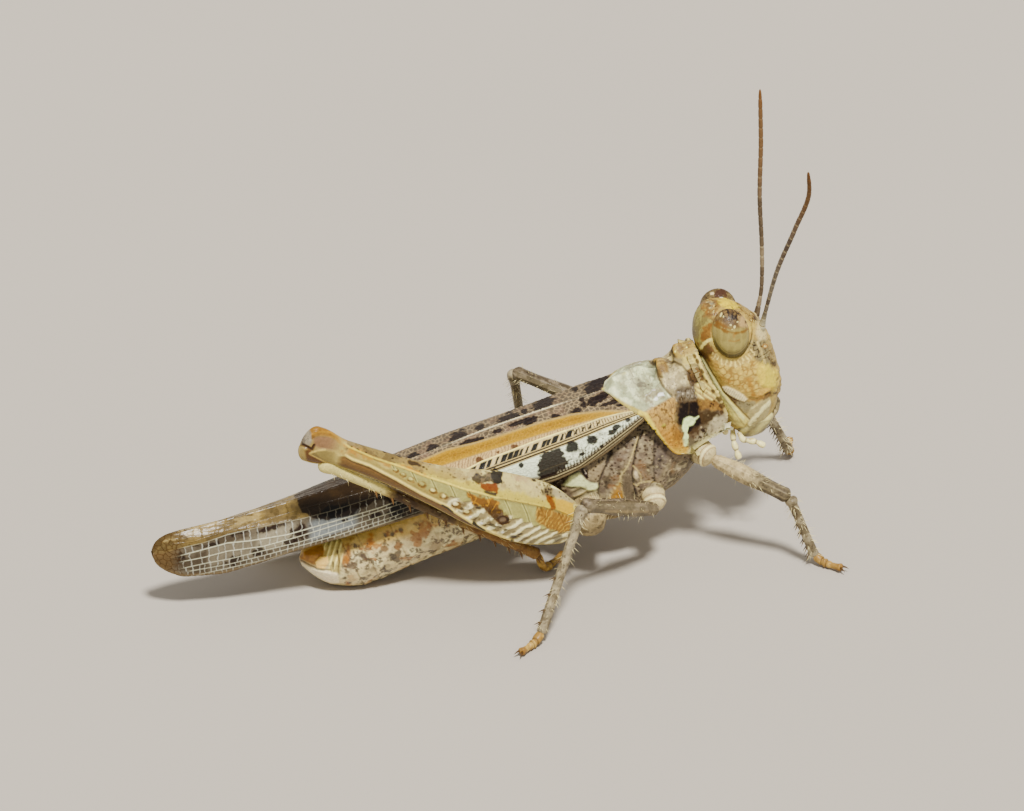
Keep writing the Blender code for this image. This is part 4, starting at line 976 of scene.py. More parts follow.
    # ---- far half: clear cells over a dark ground
    farm = side_f * tipward
    ground = np.broadcast_to(rgb(108, 92, 72), p.shape).copy()
    ground = lay(ground, smooth(-0.4, 0.5, mot), rgb(140, 126, 106), 0.85)
    ground = lay(ground, smooth(250, 262, U) * (1 - smooth(292, 300, U)) * smooth(0.42, 0.55, frac) * (1 - smooth(0.75, 0.85, frac)), rgb(186, 178, 162), 0.75)
    ground = lay(ground, smooth(305, 315, U) * (1 - smooth(352, 362, U)) * smooth(0.5, 0.6, frac) * (1 - smooth(0.86, 0.92, frac)), rgb(166, 170, 168), 0.85)
    ground = lay(ground, smooth(205, 212, U) * (1 - smooth(250, 256, U)) * smooth(0.45, 0.52, frac) * (1 - smooth(0.78, 0.86, frac)), rgb(170, 160, 142), 0.6)
    for a, b, ru, rv in ((331, 509, 16, 6), (300, 533, 8.5, 8), (258, 552, 7.5, 5), (233, 561, 7, 4.5), (181, 557, 4.5, 5), (345, 519.5, 3.4, 2.4), (394, 508, 6, 8.5), (366, 501, 12, 4),
                         (270, 528, 14, 3), (240, 531.5, 12, 3), (290, 541, 6, 3), (212, 545, 6.5, 2.6), (194, 544.5, 8, 2.4), (181, 545, 4, 2.2), (420, 492, 9, 6), (318, 497, 9, 5), (352, 489, 12, 5), (384, 483, 14, 6), (375, 515, 5, 3)):
        ground = lay(ground, spot(C, a, b, ru, rv, -17, 0.3, 0.4), rgb(48, 34, 22), 0.9)
    ground = lay(ground, 1 - smooth(168, 186, U + 0.2 * (V - 550)), rgb(140, 110, 70), 0.9)
    ground = lay(ground, (1 - smooth(0.0, 0.10, 1 - frac)) * (1 - smooth(200, 260, U)), rgb(150, 120, 80), 0.8)
    col = lay(col, farm, rgb(120, 104, 82))
    col = col * (1 - farm[..., None]) + ground * farm[..., None]
    col = lay(col, golden, rgb(142, 118, 76), 0.92)
    col = lay(col, golden * smooth(-0.2, 0.9, mot), rgb(168, 144, 94), 0.75)
    col = lay(col, golden * smooth(0.2, 0.9, -med), rgb(108, 84, 50), 0.7)
    col = lay(col, golden * (1 - smooth(0.0, 0.14, frac)), rgb(112, 86, 54), 0.7)
    # painted highlight: pale streaks where the golden strip's ridge shines
    painted_glint = golden * (1 - smooth(250, 300, U)) * smooth(0.45, 0.9, 2.4 * streak + 0.5 * med) * smooth(0.03, 0.10, frac) * (1 - smooth(0.18, 0.30, frac))
    col = lay(col, painted_glint, rgb(200, 186, 152), 0.38)
    # dark field of the far half: partly the wing's own dark cells, partly a painted shadow of the hind femur; the veins
    # under it are dimmed
    dark_field_and_femur_shadow = farm * inside(C, [(297, 500), (306, 490), (335, 479), (365, 470), (436, 448), (450, 500), (430, 509), (404, 518), (396, 512), (388, 500), (372, 499), (353, 514),
                              (330, 520), (314, 518), (302, 512)], 1.0, 0.8)
    col = lay(col, dark_field_and_femur_shadow, rgb(52, 38, 24) * (1 + 0.4 * smooth(0, 1, mot)[..., None]), 0.95)
    # darkest spots of that field, deepened as painted shadow under the femur
    col = lay(col, farm * spot(C, 333, 511, 17, 5.5, -14, 0.3, 0.25), rgb(24, 16, 10), 0.94)
    col = lay(col, farm * spot(C, 398, 508, 9, 10, -14, 0.5, 0.25), rgb(24, 16, 10), 0.94)
    col = lay(col, dark_field_and_femur_shadow * np.maximum(vein, bars) * smooth(0.25, 0.4, frac), rgb(128, 112, 88), 0.6)
    nw = farm * (1 - golden) * smooth(176, 190, U) * (1 - 0.75 * dark_field_and_femur_shadow)
    col = lay(col, nw * bars, rgb(198, 196, 188), 0.85)
    col = lay(col, nw * vein, rgb(206, 204, 194), 0.85)
    col = lay(col, farm * golden * smooth(0.4, 0.6, frac) * bars, rgb(186, 170, 132), 0.5)
    tn = farm * (1 - smooth(176, 192, U))
    tf1, tf2, tw = cells2(ax / 5.5, V / 5.0, 33, 0.8)
    col = lay(col, tn * (1 - smooth(0.05, 0.2, tf2 - tf1)), rgb(94, 62, 36), 0.8)
    edge_l = 1 - smooth(0.0, 0.035, 1 - v)
    col = lay(col, edge_l, rgb(150, 128, 94), 0.7)
    # painted shading from the relief: darker in hollows, lighter on raised parts, with fine random tone
    col = col * np.clip(1 + 9 * painted_relief_shading + 0.10 * grain, 0.5, 1.4)[..., None]
    look = 0.60 * (1 - tipward) + 0.42 * tipward - 0.16 * golden - 0.05 * whitef
    look = np.clip(look, 0.22, 0.7)
    q2, idx = wrap_edges(q, normals_fix(q, n), 0.14, "alr", 0.2)
    q2[..., 1] = np.where(side > 0, np.maximum(q2[..., 1], 0.012), np.minimum(q2[..., 1], -0.012))
    flat = idx.ravel()
    grid_piece("forewing_" + tag, q2, col.reshape(-1, 3)[flat].reshape(q2.shape), look.ravel()[flat].reshape(q2.shape[:2]), M_WING,
               closed=False, nodes=("tegmen_" + tag,), flip=turned(q, n))


make_tegmen("R", -1.0)
make_tegmen("L", 1.0)


# ---------------------------------------------------------------------- thorax
THORAX = [
    (0.35, 0.95, -0.95, -3.10, 2.2, 2.2),
    (1.2, 1.35, -0.95, -4.20, 2.3, 2.4),
    (2.7, 1.85, -1.30, -5.25, 2.4, 2.6),
    (4.0, 2.02, -1.30, -5.50, 2.6, 3.0),
    (5.6, 2.12, -1.20, -5.56, 2.8, 3.2),
    (7.0, 2.00, -1.10, -5.30, 2.8, 3.0),
    (7.7, 1.80, -1.20, -4.85, 2.6, 2.6),
]


def outward(p, n):
    """Flips a closed grid's normals if they point at its middle."""
    c = p.mean(axis=1, keepdims=True)
    return n if ((p - c) * n).sum() > 0 else -n


def make_thorax():
    st = np.array(THORAX)
    ns, na = count(200), count(400)
    s = np.linspace(st[0, 0], st[-1, 0] + 0.6, ns)[:, None]
    ang = np.arange(na) * 2 * math.pi / na
    w, top, bot, pt, pb = (through(st[:, 0], st[:, k], np.minimum(s, 7.7)) for k in range(1, 6))
    cc, ss = np.cos(ang)[None], np.sin(ang)[None]
    mid, half = (top + bot) / 2, (top - bot) / 2
    e = np.where(ss > 0, 2 / pt, 2 / pb)
    y = w * np.sign(cc) * np.abs(cc) ** e
    h = mid + half * np.sign(ss) * np.abs(ss) ** e
    p = body_point(s + 0 * y, y, h)
    n = outward(p, normals_of(p, True))
    C = chart3(p, 15, 0.25)
    U, V, R = C
    fp = folded(p)
    face = smooth(0.0, 0.3, facing(p, n))
    f1, f2, who = cells(fp, 0.17, 61)
    pits = (1 - smooth(0.14, 0.36, f1)) * (who < 0.6)
    mot = fbm(fp, 0.6, 4, 62)
    fine = fbm(fp, 0.15, 4, 63)
    s_mid = line(C, [(643, 430), (638.5, 440), (636.5, 450), (634, 462), (632.5, 472), (634, 486), (637, 497)], 0.9, 0.8)
    s_back = line(C, [(611, 446), (609.5, 456), (607, 464), (603.5, 471), (600, 480), (598, 494)], 1.0, 0.8, 0.7)
    s_wide = line(C, [(610.5, 450), (609, 457), (607, 463)], 1.9, 1.0)
    s_fore = line(C, [(655, 438), (654, 450), (654, 465), (655, 482)], 0.8, 0.8)
    suture = np.maximum.reduce([s_mid, s_back, s_wide, 0.8 * s_fore, line(C, [(662, 489), (672, 492), (684, 500)], 1.2, 1.0)]) * face
    cream_l = np.maximum.reduce([
        line(C, [(637.5, 438), (634, 449), (631.5, 457), (628, 465), (624, 471), (620.5, 475.5), (620, 481), (615, 487), (609, 497.5)], 0.35, 0.8),
        line(C, [(633.5, 466), (637.5, 470), (641, 475.5), (641.3, 481), (637, 485.5), (634.5, 484.5)], 0.45, 0.7),
        line(C, [(621, 478), (621.5, 487), (624, 497)], 0.3, 0.8) * 0.7,
        line(C, [(641, 482), (651, 481.5), (657, 484)], 0.7, 0.9) * 0.8]) * face
    ridge = np.maximum(line(C, [(637.5, 434), (634, 446), (630, 458), (624, 470), (619, 482), (610, 497)], 2.4, 2.2), line(C, [(658, 484), (664, 474), (668, 464)], 2.2, 2.0)) * face
    bead = spot(C, 635.8, 475, 2.4, 4.6, -8, 0.3) * face
    knob = spot(C, 652, 500, 12, 12, 0, 0.5) * face
    smooth_a = inside(C, [(563, 485), (570, 476), (579, 472), (584, 478), (589, 482), (597, 483.5), (598.5, 487), (595, 490.5), (588, 490), (580, 486.5), (571, 487)], 1.4) * face
    folds = inside(C, [(570, 488), (598, 490), (600, 502), (576, 503)], 3) * face
    plate_c = inside(C, [(623, 476), (632, 474), (633, 500), (622, 500)], 2) * face
    lumps = np.clip(2.0 * fbm(fp, 0.34, 3, 68), -1, 1)
    d = 0.010 * fine + 0.022 * lumps * (1 - smooth_a) * (1 - plate_c) - 0.05 * suture + 0.016 * ridge + 0.004 * cream_l + 0.05 * bead + 0.05 * knob
    d = d - 0.018 * pits * (1 - smooth_a) * (1 - 0.8 * plate_c) + 0.05 * smooth_a + 0.03 * folds * np.sin((U * 0.5 + V) * 0.9)
    q = p + n * d[..., None]
    painted_relief_shading = d - blur(d, 4, True)
    col = np.broadcast_to(rgb(150, 134, 113), p.shape).copy()
    col = lay(col, blots(fp, 0.5, 62), rgb(174, 160, 138), 0.85)
    col = lay(col, blots(fp, 0.22, 64, 0.1, 0.6), rgb(186, 174, 150), 0.6)
    col = lay(col, blots(fp, 0.30, 65, 0.3, 0.8), rgb(104, 84, 62), 0.7)
    fore_plate = inside(C, [(655, 438), (668, 446), (668, 486), (655, 484)], 2, 1) * face
    col = lay(col, fore_plate, rgb(132, 118, 110), 0.6)
    small = specks(fp, 0.155, 61, 0.33, 0.78, 0.07) * (1 - smooth_a) * (1 - 0.75 * plate_c)
    big = specks(fp, 0.26, 66, 0.24, 0.45) * (1 - smooth_a) * (1 - plate_c)
    col = lay(col, specks(fp, 0.21, 67, 0.22, 0.4) * (1 - plate_c), rgb(206, 198, 176), 0.6)
    col = lay(col, small, rgb(66, 50, 38), 0.88)
    col = lay(col, big, rgb(58, 42, 30), 0.85)
    col = lay(col, plate_c, rgb(148, 131, 106), 0.85)
    col = lay(col, plate_c * smooth(0.2, 0.9, np.cos(U * 2 * math.pi / 3.1 + R)), rgb(122, 104, 80), 0.5)
    coxa_b = inside(C, [(668, 462), (682, 458), (692, 462), (692, 480), (680, 494), (668, 492), (666, 476)], 2.5, 1.5) * face
    col = lay(col, coxa_b, rgb(146, 130, 106), 0.75)
    col = lay(col, coxa_b * blots(fp, 0.25, 69), rgb(186, 176, 152), 0.75)
    col = lay(col, coxa_b * blots(fp, 0.22, 70, 0.2, 0.6), rgb(88, 70, 50), 0.75)
    for a, b, ru, rv, dg, c0 in ((640, 466, 7, 5, 10, (168, 132, 90)), (645, 474, 6, 4, 20, (176, 144, 104)), (643, 468.5, 2.8, 1.2, 10, (112, 66, 40)), (616, 478, 3.6, 3, 0, (176, 142, 104)),
                                 (612, 486.5, 3.0, 2.2, 0, (174, 132, 90)), (672.5, 470, 2.8, 6, 10, (160, 128, 86)), (624, 452.5, 2.4, 1.8, 0, (104, 70, 48)), (619.5, 459, 2.4, 1.6, 0, (120, 88, 64)),
                                 (682, 477, 2.0, 7, 30, (92, 76, 56)), (660, 461, 1.8, 1.6, 0, (50, 36, 28)), (659, 468, 1.5, 1.3, 0, (54, 40, 30)), (666, 491, 3.5, 2, 10, (112, 76, 50))):
        col = lay(col, spot(C, a, b, ru, rv, dg, 0.7, 0.5) * face, rgb(*c0), 0.7)
    pocket = inside(C, [(609, 498.5), (614, 489), (619.5, 482.5), (621.5, 487), (623.5, 498)], 1.0) * face
    col = lay(col, pocket, rgb(203, 164, 88), 0.95)
    col = lay(col, spot(C, 641, 435, 3.4, 2.2, 10, 0.3, 0.3) * face, rgb(60, 38, 28), 0.9)
    col = lay(col, inside(C, [(656, 436), (668, 450), (668, 456), (657, 444)], 2, 1) * face, rgb(84, 60, 46), 0.7)
    # painted shade: dark brown in the gap under the wing's edge
    painted_gap_shade = inside(C, [(552, 484), (560, 474), (575, 468), (583, 471), (572, 476), (565, 484), (578, 489), (578, 496), (562, 492)], 1.5, 1.5) * face
    col = lay(col, painted_gap_shade, rgb(66, 48, 34), 0.9)
    col = lay(col, spot(C, 573, 491, 5, 3, 20, 0.5, 0.5) * face, rgb(116, 84, 56), 0.8)
    col = lay(col, folds, rgb(186, 176, 150), 0.8)
    col = lay(col, folds * smooth(0.1, 0.8, np.sin((U * 0.5 + V) * 0.9)), rgb(206, 198, 174), 0.7)
    plate_e = inside(C, [(588, 464), (606, 456), (603, 471), (598, 483), (590, 479)], 2, 1) * face
    col = lay(col, plate_e * (1 - small), rgb(186, 172, 146), 0.7)
    # painted highlights: thin pale glints on the plates
    painted_glint = worms(fp, 0.3, 73, 0.10) * smooth(0.0, 0.4, noise(fp, 0.5, 74)) * (1 - smooth_a) * (1 - plate_c)
    col = lay(col, painted_glint, rgb(196, 186, 166), 0.6)
    col = lay(col, blots(fp, 0.45, 75, 0.1, 0.6) * (1 - smooth_a) * (1 - plate_c) * (1 - small) * (1 - big), rgb(170, 154, 132), 0.6)
    col = lay(col, ridge * (1 - small) * (1 - big), rgb(176, 160, 130), 0.5)
    col = lay(col, smooth_a, rgb(214, 213, 194), 0.96)
    col = lay(col, smooth_a * blots(fp, 0.3, 71, 0.2, 0.6), rgb(198, 194, 168), 0.7)
    seed = inside(C, [(581, 467.5), (584.5, 468), (588, 472.5), (588.6, 477), (586.5, 479), (583.5, 475.5), (581, 470.5)], 0.9) * face
    col = lay(col, seed, rgb(44, 31, 24), 0.97)
    # painted highlight: a white glint on the glossy spiracle
    col = lay(col, line(C, [(584.6, 470), (586, 473.5)], 0.5, 0.6) * face, rgb(214, 208, 200), 0.8)
    col = lay(col, suture, rgb(52, 38, 28), 0.8)
    col = lay(col, cream_l, rgb(206, 196, 164), 0.8)
    col = lay(col, bead, rgb(206, 198, 180), 0.9)
    col = lay(col, knob, rgb(186, 172, 140), 0.4)
    under = smooth(0.3, 0.8, -n[..., 2])
    col = lay(col, under, rgb(188, 170, 130), 0.7)
    # painted shading from the relief: darker in hollows, lighter on raised parts, with fine random tone
    col = col * np.clip(1 + 5 * painted_relief_shading + 0.1 * fine, 0.5, 1.35)[..., None]
    look = np.clip(0.46 - 0.16 * smooth_a - 0.2 * bead - 0.24 * seed + 0.12 * fbm(fp, 0.3, 3, 72), 0.15, 0.7)
    grid_piece("pleura", q, col, look, M_BODY, closed=True, nodes=("thorax",), flip=bool((normals_of(q, True) * n).sum() > 0))


make_thorax()


# --------------------------------------------------------------------- abdomen
ABDOMEN = [
    (9.05, 4.42, 1.55, 1.75),
    (7.2, 3.98, 1.62, 1.80),
    (5.2, 3.40, 1.60, 1.72),
    (3.0, 2.62, 1.50, 1.56),
    (1.5, 2.00, 1.40, 1.46),
    (0.3, 1.62, 1.22, 1.34),
    (-0.6, 1.60, 0.92, 1.08),
    (-1.2, 1.70, 0.50, 0.66),
    (-1.52, 1.78, 0.16, 0.22),
]


def make_abdomen():
    a = np.array(ABDOMEN)[::-1]
    nx, na = count(290), count(250)
    k = np.linspace(0, 1, nx)
    x = (a[0, 0] + (a[-1, 0] - a[0, 0]) * (1 - (1 - k) ** 0.85))[:, None]
    zc, w, h = (through(a[:, 0], a[:, j], x) for j in (1, 2, 3))
    ang = np.arange(na) * 2 * math.pi / na
    cc, ss = np.cos(ang), np.sin(ang)
    e = 2 / 2.15
    cc, ss = np.sign(cc) * np.abs(cc) ** e, np.sign(ss) * np.abs(ss) ** e
    below = np.clip(-ss, 0, 1)
    p = np.stack([x - 0.33 * ss * h, w * cc[None] * (1 - 0.24 * below ** 1.6), zc + ss * h * 0.97], -1)
    p[..., 2] = np.maximum(p[..., 2], FLOOR + 0.015)
    n = outward(p, normals_of(p, True))
    C = chart3(p, 25, 0.25)
    U, V, R = C
    fp = folded(p)
    face = smooth(0.0, 0.3, facing(p, n))
    fine = fbm(fp, 0.14, 4, 71)
    mot = 2.0 * fbm(fp, 0.5, 4, 72)
    med = 2.0 * fbm(fp, 0.25, 4, 79)
    # rings of the abdomen: each overlaps the next one back
    sx = p[..., 0] + 0.42 * (p[..., 2] - zc)
    joints = np.array([0.62, 1.30, 2.65, 4.10, 5.60, 7.10, 8.6])
    d = 0.006 * fine + 0.010 * med
    groove = np.zeros(U.shape)
    for j in joints:
        e = sx - j
        d = d + np.where(e > 0, np.exp(-e / 0.35), 0) * 0.028 - 0.022 * np.exp(-(e / 0.035) ** 2)
        groove = np.maximum(groove, np.exp(-(e / 0.035) ** 2))
    fold = line(C, [(322, 566), (345, 568), (376, 560), (404, 552), (430, 544)], 1.2, 1.2) * face
    epi = inside(C, [(299, 556), (304, 551), (313, 546.5), (322, 544), (325, 551), (321, 559), (314, 565), (306, 562), (300, 559.5)], 1.4) * face
    cerc = inside(C, [(315, 562), (320, 556.5), (327.5, 556), (328.5, 562), (325, 568.5), (317, 568)], 1.0) * face
    boat = inside(C, [(297, 557.5), (303, 562), (311, 567.5), (320, 570.5), (329, 571.5), (338, 573), (339, 582.5), (328, 584), (315, 580), (305, 574), (299, 565)], 1.3) * face
    low_p = inside(C, [(303, 575), (312, 580), (324, 584.5), (336, 585), (338, 592), (318, 592), (304, 584)], 1.4) * face
    stripes = inside(C, [(322, 541), (340, 535), (343, 550), (340, 574), (329, 571), (328, 557), (323, 552)], 1.4) * face
    d = d - 0.02 * fold - 0.03 * epi + 0.05 * cerc + 0.04 * boat - 0.03 * line(C, [(298, 559), (306, 563), (316, 568.5), (330, 571)], 1.0, 1.0) * face
    d = d + 0.02 * stripes * np.cos((U + 0.3 * V) * 2 * math.pi / 5.2)
    q = p + n * d[..., None]
    q[..., 2] = np.maximum(q[..., 2], FLOOR + 0.002)
    painted_relief_shading = d - blur(d, 3, True)
    col = np.broadcast_to(rgb(206, 198, 176), p.shape).copy()
    col = lay(col, smooth(0.0, 0.9, mot), rgb(216, 211, 194), 0.8)
    yel = 1 - smooth(0, 10, V - (552 - 0.30 * (U - 340)))
    col = lay(col, yel * face, rgb(208, 184, 122), 0.7)
    col = lay(col, blots(fp, 0.45, 77, 0.25, 0.7) * smooth(2.0, 5.0, p[..., 0]), rgb(160, 128, 92), 0.7)
    # leopard marks
    lp1 = np.maximum(specks(fp, 0.34, 74, 0.36, 0.7, 0.14), blots(fp, 0.3, 73, 0.25, 0.5))
    lp2 = specks(fp, 0.19, 75, 0.32, 0.6)
    zone = smooth(-0.6, 0.2, p[..., 0] + 0.3 * mot) * smooth(0.0, 8, V - (541 - 0.30 * (U - 340)))
    col = lay(col, zone * lp1 * (1 - 0.85 * worms(fp, 0.16, 80, 0.2)), rgb(104, 82, 66), 0.85)
    col = lay(col, zone * lp2 * blots(fp, 0.5, 76, -0.1, 0.3), rgb(84, 62, 46), 0.8)
    col = lay(col, zone * blots(fp, 0.4, 78, 0.3, 0.7), rgb(186, 130, 66), 0.75)
    for a, b, ru, rv, dg, c0 in ((348.5, 552, 4.6, 10, 6, (180, 118, 52)), (344, 560, 3, 8, 0, (192, 140, 76)), (363, 555, 5, 4.6, 0, (110, 82, 64)), (370.5, 543, 3.6, 7, 10, (200, 146, 62)), (352, 566, 6, 3, -10, (120, 92, 72)),
                                 (372, 570, 4.4, 2.4, -15, (102, 74, 60)), (366, 573, 3.6, 2, -10, (110, 84, 70)), (384, 548, 3, 2.4, 0, (150, 104, 60)), (392, 557, 3, 3.4, 0, (80, 66, 54)), (386, 566, 3, 2, -15, (92, 74, 60)),
                                 (357, 560, 3, 2.4, 0, (92, 74, 60)), (347, 572, 2.4, 1.6, 0, (104, 84, 70)), (398, 547, 3, 5, 0, (172, 128, 80))):
        col = lay(col, spot(C, a, b, ru, rv, dg, 0.4, 0.45) * face, rgb(*c0), 0.85)
    bell = smooth(568, 580, V + 0.26 * (U - 350)) * face
    col = lay(col, bell * (1 - lp1), rgb(214, 206, 184), 0.55)
    # end plates
    col = lay(col, stripes, rgb(204, 190, 150), 0.9)
    col = lay(col, stripes * smooth(0.2, 0.9, np.cos((U + 0.3 * V) * 2 * math.pi / 5.2)), rgb(222, 214, 190), 0.85)
    col = lay(col, line(C, [(337.5, 551), (339.5, 562), (338, 574)], 1.1, 0.9) * face, rgb(116, 74, 36), 0.85)
    col = lay(col, line(C, [(333, 562), (333.5, 571)], 1.0, 0.8, 0.5, 0.4) * face, rgb(80, 64, 50), 0.8)
    col = lay(col, epi, rgb(190, 138, 70), 0.92)
    col = lay(col, epi * smooth(0.0, 0.9, med), rgb(206, 174, 118), 0.7)
    col = lay(col, spot(C, 321.5, 563, 2.4, 3.4, 0, 0.4, 0.3) * face, rgb(128, 78, 40), 0.8)
    col = lay(col, cerc, rgb(218, 202, 166), 0.96)
    col = lay(col, boat, rgb(218, 212, 200), 0.96)
    col = lay(col, boat * smooth(574, 582, V) * smooth(0, 0.8, med), rgb(198, 178, 152), 0.6)
    col = lay(col, low_p, rgb(152, 142, 106), 0.9)
    col = lay(col, line(C, [(298, 559), (306, 563.4), (316, 568.4)], 0.7, 0.8) * face, rgb(132, 92, 54), 0.8)
    col = lay(col, groove, rgb(160, 134, 96), 0.35)
    # painted shading from the relief: darker in hollows, lighter on raised parts, with fine random tone
    col = col * np.clip(1 + 4 * painted_relief_shading + 0.10 * fine, 0.6, 1.3)[..., None]
    look = np.clip(0.36 - 0.10 * boat - 0.1 * stripes + 0.05 * mot, 0.18, 0.6)
    grid_piece("belly", q, col, look, M_BELLY, closed=True, nodes=("abdomen",), flip=bool((normals_of(q, True) * n).sum() > 0))


make_abdomen()


# ----------------------------------------------------------------------- limbs
def axes_of(a, b, side):
    a, b = arr(a, b)
    length = np.linalg.norm(b - a)
    axis = (b - a) / length
    side = np.asarray(side, float)
    side = side - axis * (side @ axis)
    side /= np.linalg.norm(side)
    return a, axis, side, np.cross(axis, side), length


def tube(length, widths, depths, nt, na, power=2.2, round_a=0.5, round_b=0.5, lift=None, slide=None):
    """A limb in its own axes: along, across the side, across the third. Ends are rounded."""
    k = np.linspace(0, 1, nt)
    t = 0.5 - 0.5 * np.cos(np.pi * k)
    t = 0.6 * k + 0.4 * t
    ang = np.arange(na) * 2 * math.pi / na
    c, s = np.cos(ang), np.sin(ang)
    e = 2 / power
    c, s = np.sign(c) * np.abs(c) ** e, np.sign(s) * np.abs(s) ** e
    near = np.minimum(np.minimum(t * length / round_a, (1 - t) * length / round_b), 1.0)
    kk = np.sqrt(np.clip(1 - (1 - near) ** 2, 0, 1))
    kk = np.maximum(kk, 0.03)
    w = through(*zip(*widths), t) * kk
    dd = through(*zip(*depths), t) * kk
    off = through(*zip(*lift), t) if lift else 0 * t
    sl = through(*zip(*slide), t) if slide else 0 * t
    p = np.stack([np.broadcast_to((t * length)[:, None], (nt, na)), np.outer(w, c) + sl[:, None], np.outer(dd, s) + off[:, None]], -1)
    return p, np.broadcast_to(t[:, None], (nt, na)), np.broadcast_to(ang[None], (nt, na))


def place(local, frame):
    a, axis, side, third, _ = frame
    return a + local[..., :1] * axis + local[..., 1:2] * side + local[..., 2:] * third


def limb_piece(name, local, frame, col, look, mat, nodes, flip_side=False):
    q = place(local, frame)
    n = normals_of(q, True)
    c = q.mean(axis=1, keepdims=True)
    inward = ((q - c) * n).sum() < 0
    q[..., 2] = np.maximum(q[..., 2], FLOOR + 0.003)
    return grid_piece(name, q, col, look, mat, closed=True, nodes=nodes, flip=not inward)


HIP = {"R": np.array([9.95, -3.00, 3.42]), "L": np.array([9.95, 2.95, 3.42])}
KNEE = {"R": np.array([-2.08, -2.50, 9.30]), "L": np.array([-2.90, 2.75, 1.85])}
HEEL = {"R": np.array([-1.35, -2.60, 8.15]), "L": np.array([-2.50, 2.80, 1.02])}
HANK = {"R": np.array([8.45, -1.90, 1.65]), "L": np.array([8.30, 3.40, 0.93])}
HTOE = {"R": np.array([9.95, -0.55, 0.45]), "L": np.array([10.55, 3.75, 0.45])}


